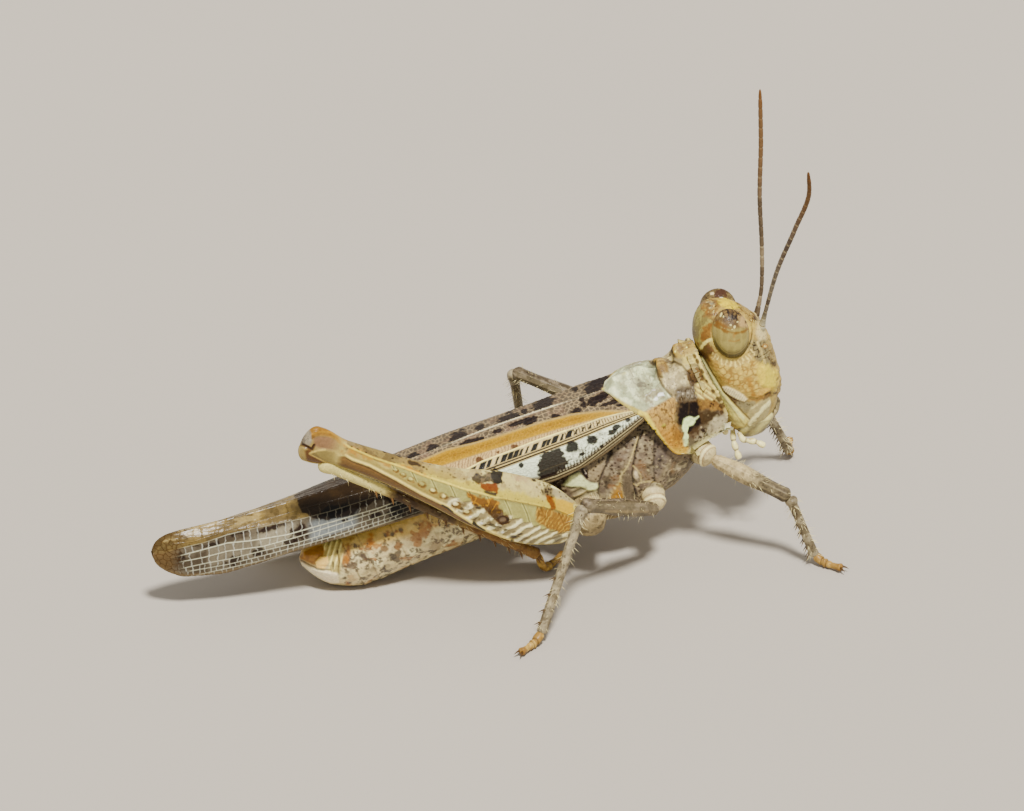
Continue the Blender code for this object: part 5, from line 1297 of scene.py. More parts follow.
def make_hind_femur():
    fr = axes_of(HIP["R"], KNEE["R"], (0, 1, 0))
    L = fr[4]
    nt, na = count(520), count(230)
    p, t, ang = tube(L, [(0, 0.30), (0.08, 0.52), (0.25, 0.62), (0.5, 0.50), (0.75, 0.34), (0.9, 0.36), (1, 0.36)],
                     [(0, 0.62), (0.06, 1.05), (0.18, 1.46), (0.32, 1.40), (0.5, 1.02), (0.7, 0.66), (0.85, 0.58), (0.95, 0.80), (1, 0.80)],
                     nt, na, 2.3, 0.5, 0.45)
    p[..., 2] = np.where(p[..., 2] < 0, p[..., 2] * (1 - 0.24 * np.exp(-((t - 0.53) / 0.17) ** 2)), p[..., 2])
    n = outward(p, normals_of(p, True))
    P = place(p, fr)
    N = n[..., :1] * fr[1] + n[..., 1:2] * fr[2] + n[..., 2:] * fr[3]
    C = chart3(P, 35, 0.25)
    U, V, R = C
    face = smooth(0.05, 0.30, N @ TO_EYE)
    down = np.where(p[..., 2] < 0, -p[..., 2] / np.minimum(p[..., 2].min(axis=1, keepdims=True), -1e-6), p[..., 2] / np.maximum(p[..., 2].max(axis=1, keepdims=True), 1e-6))   # -1 upper edge, 1 lower edge
    fine = fbm(p, 0.16, 4, 81)
    mot = 2.0 * fbm(p, 0.6, 4, 82)
    med = 2.0 * fbm(p, 0.25, 4, 83)
    mid_line = [(344, 443), (350, 447), (374, 457.5), (404, 467.5), (430, 477.6), (443.7, 481.8), (464.7, 489), (482.6, 493.4), (497, 497.6), (530, 504), (556, 509.7), (572, 516)]
    low_line = [(346, 455), (353, 459), (370, 465), (395, 478), (421.6, 493), (448, 505.8), (454.4, 511), (474.4, 523.4), (492, 531.4), (513, 540.6), (524, 545.4), (541, 549), (557.8, 549), (567, 545), (576, 538)]
    dm = V - along_u(U, mid_line)
    dl = V - along_u(U, low_line)
    on = face * smooth(342, 350, U)
    mid_c = line(C, mid_line, 0.9, 1.0) * on
    low_c = line(C, low_line, 1.3, 1.0) * on
    top_keel = np.exp(-((down + 1.0) / 0.05) ** 2)
    low_keel = np.exp(-((down - 1.0) / 0.06) ** 2)
    # lower arms of the fishbone: lobes rising forwards from the lower edge
    w = 0.407 * U + 0.914 * V + 0.020 * np.clip(-dl, 0, 40) ** 1.5
    phase = np.interp(w, [560, 581, 600, 620, 634, 645, 655, 664.5, 674, 683, 691, 698, 704, 709.5, 715, 720, 725, 731, 737], np.arange(19.0)) + 0.10 * R
    rib = np.cos(2 * math.pi * phase)
    scallop = [(346, 452), (380, 464), (400, 474), (430, 490), (443, 494), (458, 499), (470, 502), (486, 507), (500, 514), (512, 517), (524, 520.5), (536, 525.5), (552, 531), (568, 534)]
    dsc = V - along_u(U, scallop) - 1.6 * np.cos(2 * math.pi * (phase - 0.2))
    fish = smooth(-0.8, 0.8, dsc) * (1 - smooth(-1.6, -0.2, dl)) * smooth(440, 452, U) * on
    upper_f = smooth(0.3, 1.5, dm) * (1 - smooth(-0.8, 0.8, dsc)) * on * smooth(388, 396, U)
    arcs = np.cos(2 * math.pi * ((U - 0.55 * V + 0.010 * np.clip(dm, 0, 40) ** 2) / 15.5 + 0.15))
    d = 0.005 * fine + 0.04 * top_keel + 0.03 * mid_c + 0.06 * low_c + 0.04 * low_keel
    d = d + fish * (0.036 * smooth(-0.8, 1.0, rib) - 0.032) - 0.02 * upper_f * smooth(0.93, 1.0, arcs)
    ribbed = inside(C, [(537, 507), (556, 510), (570, 517), (572, 530), (560, 532.5), (546, 529), (537, 519)], 2, 1.2) * on
    ribl = np.cos(2 * math.pi * (U + 0.25 * V + 0.02 * (V - 510) ** 2 + 1.7 * R) / 4.6)
    d = d + 0.008 * ribbed * ribl
    knee = smooth(0.86, 0.93, t)
    pink = inside(C, [(314.5, 438), (320, 436), (330, 436.5), (337, 440), (341, 446), (340, 450.5), (332, 450), (322, 448.5), (315, 446)], 1.6) * face * knee
    cres = line(C, [(312.5, 438), (316, 435), (322, 433.5), (331, 434.5), (338, 438.5), (342.5, 445), (344, 451)], 2.0, 1.4, 1.4) * face * knee
    ball = inside(C, [(305.5, 451), (310, 449), (316, 453), (322, 459), (330, 463.5), (324, 466.5), (314, 466.5), (307.5, 461)], 1.6) * face * knee
    spear = inside(C, [(310, 453.3), (318, 449.6), (326, 448.5), (334, 450.5), (342, 457), (339, 461.5), (330, 462.8), (322, 458.5)], 1.2) * face * knee
    slot_k = line(C, [(300.5, 443), (306, 446), (313, 449.5), (315, 446)], 1.5, 1.0) * face * knee
    d = d - 0.05 * pink - 0.03 * cres - 0.03 * ball + 0.04 * spear - 0.07 * slot_k
    pitsm = 0 * U
    pitc = 0 * U
    for a, b, r0 in ((396.5, 470.4, 3.2), (403.6, 475, 3.6), (411.5, 479.6, 4.2), (422.5, 484.6, 4.6), (433.6, 490.8, 4.6), (444, 496.6, 4.8), (456.5, 505, 5.2), (467.5, 512.6, 5.0)):
        ring = spot(C, a, b, r0, r0 * 0.72, 20, 0.28) - spot(C, a - 0.6, b - 0.9, r0 * 0.62, r0 * 0.44, 20, 0.35)
        pitsm = np.maximum(pitsm, np.clip(ring, 0, 1))
        pitc = np.maximum(pitc, spot(C, a - 0.8, b - 1.0, r0 * 0.5, r0 * 0.32, 20, 0.4))
    pitsm, pitc = pitsm * on, pitc * on
    d = d - 0.022 * pitsm + 0.008 * pitc
    q = p + n * d[..., None]
    painted_relief_shading = d - blur(d, 3, True)

    col = np.broadcast_to(rgb(196, 184, 140), p.shape).copy()
    col = lay(col, smooth(-0.2, 0.7, mot), rgb(206, 196, 158), 0.8)
    # upper faces
    toph = 1 - smooth(-0.9, -0.55, down)
    col = lay(col, toph, rgb(190, 172, 126), 0.7)
    area = (1 - smooth(-0.5, 0.5, dm)) * on
    col = lay(col, area, rgb(204, 196, 164), 0.9)
    col = lay(col, area * (1 - smooth(6, 13, -dm - 2.0 * R)) * smooth(352, 366, U), rgb(206, 193, 136), 0.9)
    col = lay(col, area * smooth(10, 14, -dm) * blots(p, 0.35, 84), rgb(200, 188, 160), 0.6)
    col = lay(col, area * specks(p, 0.21, 86, 0.16, 0.34), rgb(120, 88, 56), 0.8)
    col = lay(col, area * specks(p, 0.12, 83, 0.22, 0.22), rgb(150, 116, 80), 0.7)
    col = lay(col, area * smooth(9, 13, -dm) * blots(p, 0.3, 82, 0.2, 0.6), rgb(178, 156, 118), 0.6)
    for a, b, ru, rv, dg, c0, k in ((413, 470.5, 13, 3.0, 20, (196, 144, 66), 0.8), (368, 455, 16, 3.6, 24, (198, 158, 84), 0.7), (330, 428.5, 14, 3.6, 10, (190, 140, 60), 0.9), (345, 436, 8, 3, 30, (184, 136, 66), 0.8),
                                    (352, 452, 8, 5, 30, (194, 146, 72), 0.6), (385, 462, 12, 2.2, 24, (196, 150, 78), 0.6)):
        col = lay(col, spot(C, a, b, ru, rv, dg, 0.5, 0.35) * face, rgb(*c0), k)
    # outer field
    col = lay(col, upper_f, rgb(190, 183, 140), 0.9)
    col = lay(col, upper_f * smooth(0.0, 0.9, med), rgb(200, 194, 156), 0.7)
    # painted shading of the folds: a dark line along each fold's groove and a pale band beside it
    col = lay(col, upper_f * smooth(0.90, 0.995, arcs), rgb(160, 150, 104), 0.65)
    col = lay(col, upper_f * smooth(0.70, 0.9, arcs) * (1 - smooth(0.9, 0.99, arcs)), rgb(208, 203, 172), 0.7)
    mid_zone = smooth(-0.8, 0.8, dsc) * (1 - smooth(-0.6, 0.4, dl)) * on * (1 - smooth(440, 452, U))
    col = lay(col, mid_zone, rgb(188, 172, 122), 0.85)
    pearl = fish * smooth(-0.1, 0.75, rib)
    hollow = fish * smooth(0.0, 0.8, -rib)
    col = lay(col, fish, rgb(200, 190, 162), 0.9)
    col = lay(col, pearl, rgb(221, 217, 202), 0.9)
    # painted shade in the hollows between the pearly ribs
    col = lay(col, hollow, rgb(180, 165, 136), 0.65)
    left_end = (1 - smooth(5, 11, -dl + 2.0 * R)) * (1 - smooth(515, 545, U))
    col = lay(col, (0.35 + 0.65 * hollow) * fish * left_end * smooth(-0.3, 0.4, med), rgb(112, 80, 48), 0.85)
    col = lay(col, fish * (1 - smooth(500, 520, U)) * blots(p, 0.2, 93, 0.2, 0.6), rgb(150, 122, 82), 0.6)
    # painted glints: white specks on the ribs near their left ends
    col = lay(col, pearl * left_end * specks(p, 0.2, 94, 0.3, 0.35), rgb(240, 238, 230), 0.9)
    col = lay(col, ribbed, rgb(184, 138, 72), 0.9)
    col = lay(col, ribbed * smooth(0.2, 0.95, ribl) * smooth(-0.6, 0.6, mot + R), rgb(208, 186, 132), 0.75)
    col = lay(col, ribbed * smooth(0.3, 0.9, -ribl) * smooth(0, 0.8, med), rgb(140, 90, 44), 0.6)
    col = lay(col, spot(C, 558, 538.5, 5, 3, -20, 0.4, 0.4) * on, rgb(120, 104, 86), 0.8)
    patch = inside(C, [(467, 492.5), (482, 496), (497, 499.5), (501, 506), (505, 513), (510, 519), (509, 524), (502, 527), (497, 522), (490, 515), (482, 508.5), (474, 503), (468, 498)], 1.4, 1.8) * on
    col = lay(col, patch, rgb(166, 112, 52), 0.95)
    col = lay(col, patch * smooth(501, 511, V + 2 * R), rgb(92, 62, 38), 0.85)
    col = lay(col, patch * worms(p, 0.22, 87, 0.14) * (1 - smooth(508, 514, V)), rgb(210, 176, 104), 0.7)
    col = lay(col, patch * worms(p, 0.20, 88, 0.14) * smooth(504, 510, V), rgb(150, 124, 96), 0.7)
    ringr = np.clip(spot(C, 503, 520, 5.4, 4.4, 0, 0.2) - spot(C, 503, 520, 3.4, 2.6, 0, 0.3), 0, 1) * on
    col = lay(col, spot(C, 503, 520, 3.6, 2.8, 0, 0.3, 0.3) * on, rgb(150, 130, 106), 0.8)
    col = lay(col, ringr, rgb(84, 50, 30), 0.85)
    for a, b, ru, rv, dg in ((478, 508, 2.6, 1.2, 10), (508, 518.6, 1.6, 2.2, 0), (506, 529.6, 2.4, 0.9, -10), (520, 534.5, 2.4, 0.9, -10), (513, 536.5, 4, 1.6, 10), (459, 508, 3.6, 1.4, 15), (494, 526, 6, 1.2, 12)):
        col = lay(col, spot(C, a, b, ru, rv, dg, 0.3, 0.3) * on, rgb(60, 40, 28), 0.85)
    # dark bands over the upper face
    band1 = inside(C, [(469, 475.5), (475, 474), (482, 476), (488, 472), (492, 470), (503.5, 472), (502, 478), (502.5, 482.5), (497, 484), (488, 482), (481, 483.5), (473, 480.5)], 0.9, 1.6) * face
    halo1 = inside(C, [(466, 474), (490, 468), (506, 471), (505, 485), (500, 491), (480, 489), (470, 482)], 3, 2) * face
    col = lay(col, halo1 * specks(p, 0.15, 95, 0.30, 0.5), rgb(96, 70, 50), 0.8)
    col = lay(col, band1, rgb(80, 62, 46), 0.92)
    col = lay(col, band1 * worms(p, 0.2, 96, 0.16), rgb(160, 138, 104), 0.7)
    col = lay(col, inside(C, [(489, 470), (504, 471.5), (502, 477), (502, 483), (494, 484), (491, 478)], 0.9, 1.5) * face, rgb(54, 47, 38), 0.93)
    col = lay(col, band1 * specks(p, 0.17, 89, 0.26, 0.5), rgb(40, 26, 20), 0.8)
    col = lay(col, inside(C, [(479, 483.5), (488, 482.2), (497, 484), (498.5, 488), (496.5, 492), (488, 490.5), (481, 488.5)], 0.9, 1.5) * face, rgb(166, 82, 30), 0.95)
    col = lay(col, inside(C, [(483.5, 490.2), (489, 491), (496, 493), (496, 496), (489, 495), (484.5, 492.5)], 0.8, 0.8) * face, rgb(62, 50, 54), 0.92)
    col = lay(col, spot(C, 533.5, 480.4, 2.6, 1.5, 20, 0.3, 0.3) * face, rgb(50, 36, 28), 0.9)
    col = lay(col, spot(C, 521, 478, 8, 2.4, 12, 0.6, 0.6) * face, rgb(188, 160, 136), 0.5)
    band2 = inside(C, [(541.5, 489), (545, 485.5), (552, 486), (558, 489), (558, 495), (552, 497), (546, 496), (542, 493)], 1.0, 1.8) * face
    col = lay(col, band2 * smooth(-0.6, 0.5, R), rgb(100, 74, 52), 0.75)
    col = lay(col, inside(C, [(538, 486), (548, 483), (560, 487), (562, 497), (552, 500), (543, 496)], 2.5, 2.5) * face * specks(p, 0.15, 81, 0.4, 0.8), rgb(58, 40, 30), 0.9)
    col = lay(col, inside(C, [(545, 494.5), (550, 497), (555, 502), (556.5, 509), (552, 509.5), (548, 503)], 1.0, 1.0) * face, rgb(168, 92, 36), 0.95)
    base_y = inside(C, [(554, 498), (563, 499), (573, 504), (574, 517), (564, 514), (557, 509)], 1.5, 1.0) * face
    col = lay(col, base_y, rgb(208, 184, 118), 0.9)
    col = lay(col, inside(C, [(553, 487), (562, 491), (573, 499), (572, 503), (560, 498), (552, 494)], 1.2) * face, rgb(190, 178, 152), 0.85)
    col = lay(col, specks(p, 0.2, 90, 0.22, 0.4) * inside(C, [(534, 484), (566, 489), (570, 500), (545, 498)], 3) * face, rgb(70, 50, 36), 0.8)
    # below the lower line: smooth brown groove of the underside
    under = smooth(0.5, 1.6, dl) * smooth(336, 344, U) * face
    col = lay(col, under, rgb(156, 117, 68), 0.95)
    col = lay(col, under * smooth(0.2, 0.9, np.cos(2 * math.pi * dl / 4.2 + 0.5 * R)), rgb(176, 138, 86), 0.6)
    col = lay(col, under * smooth(6.5, 9.5, dl), rgb(140, 98, 58), 0.6)
    col = lay(col, under * smooth(440, 470, U) * blots(p, 0.3, 91, 0.1, 0.6), rgb(104, 72, 48), 0.7)
    # inner side
    inn = smooth(0.2, 0.6, n[..., 1])
    col = lay(col, inn, rgb(196, 170, 112), 0.85)
    for a0, b0 in ((0.18, 0.27), (0.42, 0.5), (0.66, 0.72)):
        col = lay(col, inn * smooth(a0 - 0.015, a0 + 0.015, t + 0.02 * mot) * (1 - smooth(b0 - 0.015, b0 + 0.015, t + 0.02 * mot)), DARK, 0.9)
    shade_t = inside(C, [(338, 426), (352, 432), (372, 441), (398, 452), (424, 461), (424, 470), (398, 464), (368, 455), (346, 446)], 1.8, 2.2) * face
    col = lay(col, shade_t, rgb(156, 132, 90), 0.85)
    col = lay(col, shade_t * blots(p, 0.3, 97, 0.1, 0.5), rgb(128, 100, 64), 0.6)
    shade_u = inside(C, [(396, 451), (424, 461), (450, 468), (470, 475), (468, 482), (444, 479), (418, 470), (400, 463)], 1.8, 2.0) * face
    col = lay(col, shade_u, rgb(180, 156, 108), 0.7)
    col = lay(col, shade_u * specks(p, 0.16, 98, 0.3, 0.5), rgb(104, 78, 50), 0.75)
    # top edge dots and dashes
    for a, b, ru, rv, dg in ((350, 438.2, 3.4, 1.2, 25), (357.5, 442.3, 4.6, 1.6, 28), (358, 449, 1, 0.9, 0), (352, 446.5, 1, 0.9, 0), (359, 450, 0.9, 0.8, 0), (366.5, 452.3, 0.9, 0.8, 0), (384.4, 452.2, 1.7, 1.0, 20),
                             (393, 458, 1.4, 1.0, 0), (399, 456.5, 3.4, 1.2, 20), (413, 463.3, 6.8, 2.0, 20), (424, 467, 1.4, 0.9, 10), (340, 432.5, 3, 0.8, 25)):
        col = lay(col, spot(C, a, b, ru, rv, dg, 0.3, 0.3) * face, rgb(60, 40, 28), 0.9)
    pit_dark = np.clip(pitsm * smooth(-0.6, 0.8, np.cos(V * 1.1 + U * 0.6 + 2 * R) + 0.5 * R), 0, 1)
    col = lay(col, pitsm, rgb(190, 160, 104), 0.6)
    col = lay(col, pit_dark, rgb(150, 102, 52), 0.85)
    # painted glints: pale centres of the pits
    col = lay(col, pitc * smooth(-0.4, 0.6, med), rgb(222, 214, 190), 0.8)
    col = lay(col, mid_c * (1 - smooth(494, 502, U)), rgb(222, 212, 168), 0.45)
    col = lay(col, line(C, mid_line, 0.35, 0.6) * on * smooth(496, 502, U), rgb(96, 72, 44), 0.8)
    col = lay(col, low_c, rgb(214, 204, 170), 0.9)
    for pts in ([(442.5, 504.4), (447.5, 507), (452.5, 511)], [(473.5, 522.2), (479, 526), (484.6, 529.4)], [(511.5, 540), (515, 541.8), (519, 543.4)]):
        col = lay(col, line(C, pts, 1.3, 0.6) * face, rgb(34, 24, 20), 0.97)
    col = lay(col, line(C, [(551, 486.8), (557, 489), (562, 491.5), (570, 497), (575.5, 502.5)], 0.8, 0.7) * face, rgb(222, 216, 196), 0.95)
    # knee
    col = lay(col, knee * face, rgb(170, 142, 94), 0.65)
    col = lay(col, knee * inside(C, [(308, 424), (316, 422), (330, 424.5), (340, 430), (334, 434), (320, 432), (313, 437), (310, 432)], 1.5, 1.2) * face, rgb(176, 132, 58), 0.9)
    col = lay(col, knee * inside(C, [(312, 434), (322, 431), (332, 432), (340, 437), (346, 446), (342, 446), (336, 438), (326, 435), (316, 436)], 0.9) * face, rgb(206, 176, 112), 0.8)
    col = lay(col, pink, rgb(172, 138, 106), 0.95)
    col = lay(col, cres, rgb(150, 104, 56), 0.75)
    col = lay(col, knee * inside(C, [(299, 430), (304, 424.5), (309, 424), (312, 428), (311, 436), (312, 442), (310, 445), (303, 444), (300, 439)], 1.0, 0.8) * face, rgb(176, 166, 150), 0.95)
    col = lay(col, knee * inside(C, [(299, 430), (311, 424), (312, 442), (300, 443)], 1.0) * face * worms(p, 0.12, 92, 0.2), rgb(120, 106, 92), 0.6)
    col = lay(col, slot_k, rgb(80, 44, 28), 0.95)
    col = lay(col, ball, rgb(132, 82, 48), 0.95)
    col = lay(col, ball * smooth(456, 464, V), rgb(158, 112, 62), 0.6)
    col = lay(col, spear, rgb(172, 154, 104), 0.95)
    col = lay(col, line(C, [(310.5, 454), (318, 458), (327, 462.6), (332, 463.4)], 0.7, 0.7) * face * knee, rgb(216, 202, 164), 0.9)
    col = lay(col, line(C, [(311, 453), (318, 450), (326, 449.4)], 0.5, 0.7) * face * knee, rgb(206, 190, 146), 0.7)
    # painted shading from the relief: darker in hollows, lighter on raised parts, with fine random tone
    col = col * np.clip(1 + 7 * painted_relief_shading + 0.10 * fine, 0.5, 1.35)[..., None]
    look = np.clip(0.42 - 0.18 * pearl - 0.1 * under - 0.12 * ball + 0.06 * mot, 0.16, 0.7)
    limb_piece("thigh_hind_R", q, fr, col, look, M_THIGH, ("femur_hind_R",))
    fl = axes_of(HIP["L"], KNEE["L"], (0, 1, 0))
    ql = (q * np.array([fl[4] / fr[4], -1, 1]))[::2, ::2]
    limb_piece("thigh_hind_L", ql, fl, col[::2, ::2], look[::2, ::2], M_THIGH, ("femur_hind_L",))


make_hind_femur()


def spikes(name, roots, dirs, lengths, radii, tint, mat, rough=0.4, uv=None, sides=5, steps=3, bend=None, nodes=()):
    """Many small cones as one mesh, in mm. bend is a vector each tip leans by."""
    roots, dirs = np.asarray(roots, float), np.asarray(dirs, float)
    m = len(roots)
    dirs = dirs / np.linalg.norm(dirs, axis=1, keepdims=True)
    up = np.where(np.abs(dirs[:, 2:3]) > 0.9, np.array([[1.0, 0, 0]]), np.array([[0, 0, 1.0]]))
    e1 = np.cross(dirs, up)
    e1 /= np.linalg.norm(e1, axis=1, keepdims=True)
    e2 = np.cross(dirs, e1)
    lengths, radii = np.broadcast_to(lengths, (m,)), np.broadcast_to(radii, (m,))
    ang = np.arange(sides) * 2 * math.pi / sides
    vs, us = [], []
    for k in range(steps):
        f = k / steps
        rr = radii * (1 - f) ** 0.8
        c = roots + dirs * (lengths * f)[:, None]
        if bend is not None:
            c = c + np.asarray(bend) * (f * f) * lengths[:, None]
        ring = c[:, None] + (e1[:, None] * np.cos(ang)[None, :, None] + e2[:, None] * np.sin(ang)[None, :, None]) * rr[:, None, None]
        vs.append(ring)
    tip = roots + dirs * lengths[:, None]
    if bend is not None:
        tip = tip + np.asarray(bend) * lengths[:, None]
    per = sides * steps + 1
    verts = np.concatenate([np.stack(vs, 1).reshape(m, -1, 3), tip[:, None]], 1)
    verts[..., 2] = np.maximum(verts[..., 2], FLOOR + 0.001)
    quads, tris = [], []
    for k in range(steps - 1):
        for j in range(sides):
            j2 = (j + 1) % sides
            quads.append((k * sides + j, k * sides + j2, (k + 1) * sides + j2, (k + 1) * sides + j))
    for j in range(sides):
        tris.append(((steps - 1) * sides + j, (steps - 1) * sides + (j + 1) % sides, per - 1))
    base = (np.arange(m) * per)[:, None, None]
    faces = [(np.array(quads)[None] + base).reshape(-1, 4), (np.array(tris)[None] + base).reshape(-1, 3)]
    tint = np.broadcast_to(np.asarray(tint, float), (m, 3))
    cols = np.repeat(tint, per, 0)
    full_uv = None
    if uv is not None:
        local = np.stack([np.concatenate([np.tile(np.cos(ang), steps), [0]]), np.concatenate([np.repeat(np.arange(steps) / steps, sides), [1]])], -1)
        local = (local * np.array([0.5, 1.0]) + np.array([0.5, 0.0])) * 0.003
        full_uv = (np.asarray(uv)[:, None] + local[None]).reshape(-1, 2)
    return build_mesh(name, verts.reshape(-1, 3), faces, cols, np.full(len(cols), rough), mat, uv=full_uv, nodes=nodes)


def banded_leg(t, p, seed, pale, dark, bands, knee_dark=True):
    """Mottled, banded colour along a leg segment."""
    mot = fbm(p + np.array([seed * 3.1, 0, 0]), 0.35, 4, seed)
    col = np.broadcast_to(pale, p.shape).copy()
    col = lay(col, smooth(0.05, 0.5, mot), pale * 1.22)
    col = lay(col, smooth(0.1, 0.5, -mot), dark * 1.6, 0.6)
    col = lay(col, blots(p + seed, 0.2, seed + 11, 0.15, 0.5), dark * 1.3, 0.6)
    col = lay(col, blots(p + seed, 0.16, seed + 12, 0.25, 0.6), pale * 1.35, 0.6)
    for a, b, k in bands:
        m = smooth(a - 0.02, a + 0.02, t + 0.05 * mot) * (1 - smooth(b - 0.02, b + 0.02, t + 0.05 * mot))
        col = lay(col, m, dark, k)
    f1, f2, who = cells(p + seed, 0.14, seed)
    col = lay(col, (1 - smooth(0.18, 0.34, f1)) * (who < 0.5), dark * 0.6, 0.8)
    return col, mot


HAIRS = []        # roots and directions of the fine hairs, gathered per leg


def gather_hairs(q, frame, na_range, t_range, m, seed, length, tag):
    """Picks m root points on a placed limb grid, over parts of its length and circumference."""
    rng = np.random.default_rng(seed)
    P = place(q, frame)
    n = normals_of(P, True)
    c = P.mean(axis=1, keepdims=True)
    if ((P - c) * n).sum() < 0:
        n = -n
    i = (rng.uniform(t_range[0], t_range[1], m) * (P.shape[0] - 1)).astype(int)
    j = (rng.uniform(na_range[0], na_range[1], m) * P.shape[1]).astype(int) % P.shape[1]
    axis = frame[1]
    dirs = n[i, j] + axis * 0.5 + rng.normal(0, 0.15, (m, 3))
    HAIRS.append((P[i, j], dirs, rng.uniform(0.6, 1.2, m) * length, np.stack([i / P.shape[0], j / P.shape[1]], -1), tag))


def make_leg(tag, hip, knee, ankle, toe, coxa, kind, seed):
    side = tag[-1]
    w, shin = {"fore": (0.36, 0.28), "mid": (0.38, 0.28)}[kind]
    w = w * (0.84 if tag == "mid_L" else 1.0)
    hip, knee, ankle, toe, coxa = arr(hip, knee, ankle, toe, coxa)
    # coxa
    fr = axes_of(coxa, hip + (hip - coxa) * 0.02, (1, 0, 0))
    q, t, ang = tube(fr[4], [(0, 0.56), (0.6, 0.5), (1, 0.36)], [(0, 0.62), (0.6, 0.5), (1, 0.36)], count(60), count(70), 2.2, 0.3, 0.25)
    n = outward(q, normals_of(q, True))
    fine = fbm(q, 0.15, 4, seed)
    ringc = np.exp(-((t - 0.72) / 0.05) ** 2)
    d = 0.01 * fine + 0.04 * ringc - 0.03 * np.exp(-((t - 0.58) / 0.04) ** 2)
    col, mot = banded_leg(t, q, seed, rgb(176, 162, 132), rgb(104, 84, 58), [(0.5, 0.6, 0.6)])
    creamy = smooth(0.30, 0.42, t + 0.05 * mot)
    col = lay(col, creamy, rgb(206, 198, 176), 0.85)
    col = lay(col, creamy * blots(q, 0.3, seed + 13, 0.2, 0.6), rgb(176, 158, 128), 0.6)
    col = lay(col, ringc, rgb(218, 212, 194), 0.8)
    col = lay(col, np.exp(-((t - 0.60) / 0.02) ** 2) + np.exp(-((t - 0.80) / 0.015) ** 2), rgb(170, 122, 78), 0.7)
    limb_piece("hip_" + tag, q + n * d[..., None], fr, col * (1 + 0.1 * fine[..., None]), 0.5 + 0 * t, M_LEG, ("coxa_" + tag,))
    # femur
    a = hip
    fr = axes_of(a, knee, (0, 0, 1))
    q, t, ang = tube(fr[4], [(0, w * 0.7), (0.12, w * 0.8), (0.4, w), (0.8, w * 0.78), (0.9, w * 0.80), (1, w * 0.84)],
                     [(0, w * 0.75), (0.12, w * 0.8), (0.4, w * 1.05), (0.8, w * 0.8), (0.9, w * 0.84), (1, w * 0.88)], count(130), count(72), 2.3, 0.22, 0.3)
    n = outward(q, normals_of(q, True))
    fine = fbm(q, 0.14, 4, seed + 1)
    keel = np.cos(ang * 4) ** 8
    groove = np.exp(-((t - 0.045) / 0.012) ** 2)
    d = 0.008 * fine + 0.018 * keel - 0.04 * groove + 0.02 * np.exp(-((t - 0.95) / 0.03) ** 2)
    qf = q + n * d[..., None]
    pale = rgb(192, 180, 154) if kind == "fore" else rgb(150, 134, 108)
    dark = rgb(98, 80, 56)
    bands = [(0.62, 0.78, 0.6), (0.90, 0.98, 0.7)] if kind == "fore" else [(0.16, 0.26, 0.45), (0.42, 0.54, 0.6), (0.80, 0.90, 0.7)]
    col, mot = banded_leg(t, q, seed + 1, pale, dark, bands)
    low_side = smooth(0.2, 0.8, (q[..., 2] if kind == "fore" else np.abs(q[..., 2])) / w)
    if kind == "mid":
        slow = q * np.array([0.45, 1.0, 1.0])
        col = lay(col, smooth(0.05, 0.20, noise(slow, 0.22, seed + 15)), rgb(88, 70, 54), 0.6)
        col = lay(col, smooth(0.06, 0.22, noise(slow, 0.20, seed + 16)), rgb(184, 172, 154), 0.6)
        col = lay(col, smooth(0.12, 0.25, noise(q, 0.12, seed + 17)), rgb(70, 54, 42), 0.55)
        M = chart3(place(qf, fr), seed, 0.25)
        col = lay(col, line(M, [(604, 502.2), (622, 502.0), (650, 501.6)], 1.0, 0.9, 0.8, 0.5), rgb(76, 58, 46), 0.85)
        col = lay(col, line(M, [(604, 507), (620, 507.4), (650, 508)], 0.9, 0.8, 0.7, 0.8) * smooth(-0.3, 0.3, M[2]), rgb(70, 52, 42), 0.85)
        col = lay(col, line(M, [(606, 511), (628, 511.4), (648, 511.6)], 1.2, 1.0, 1.0, 0.4), rgb(202, 186, 156), 0.8)
        for a, b, ru, rv, dg in ((619.5, 503.4, 3.4, 2.0, 20), (650, 505, 2.2, 4.2, 0), (600, 504, 3, 2, 30), (590, 506, 3.4, 2.2, -20), (581, 503, 2.6, 2, 20), (634, 507.6, 2.4, 1.0, 0)):
            col = lay(col, spot(M, a, b, ru, rv, dg, 0.4, 0.5), rgb(78, 60, 48), 0.8)
        for a, b, ru, rv, dg in ((609, 505.4, 3, 1.1, 0), (586, 501, 3, 1.0, 20), (641, 504.6, 4, 1.1, 0)):
            col = lay(col, spot(M, a, b, ru, rv, dg, 0.5, 0.4), rgb(190, 176, 156), 0.7)
    if kind == "fore":
        col = lay(col, smooth(0.45, 0.8, t), rgb(142, 126, 103), 0.6)
        col = lay(col, smooth(0.4, 0.7, t) * blots(q, 0.3, seed + 14), rgb(112, 94, 72), 0.6)
        col = lay(col, (1 - smooth(0.3, 0.6, t)) * (1 - np.abs(low_side) * 0.5), rgb(206, 196, 172), 0.5)
    else:
        col = lay(col, low_side * 0.7, rgb(186, 174, 150), 0.6)
    col = lay(col, keel * 0.5, pale * 1.2, 0.6)
    col = col * (1 - 0.20 * smooth(0.4, 0.7, t) if kind == "fore" else 0.76 + 0 * t)[..., None]
    limb_piece("thigh_" + tag, qf, fr, col * (1 + 0.1 * fine[..., None]), 0.45 + 0 * t, M_LEG, ("femur_" + tag,))
    gather_hairs(qf, fr, (0, 1), (0.1, 0.95), 60, seed + 5, 0.34, tag)
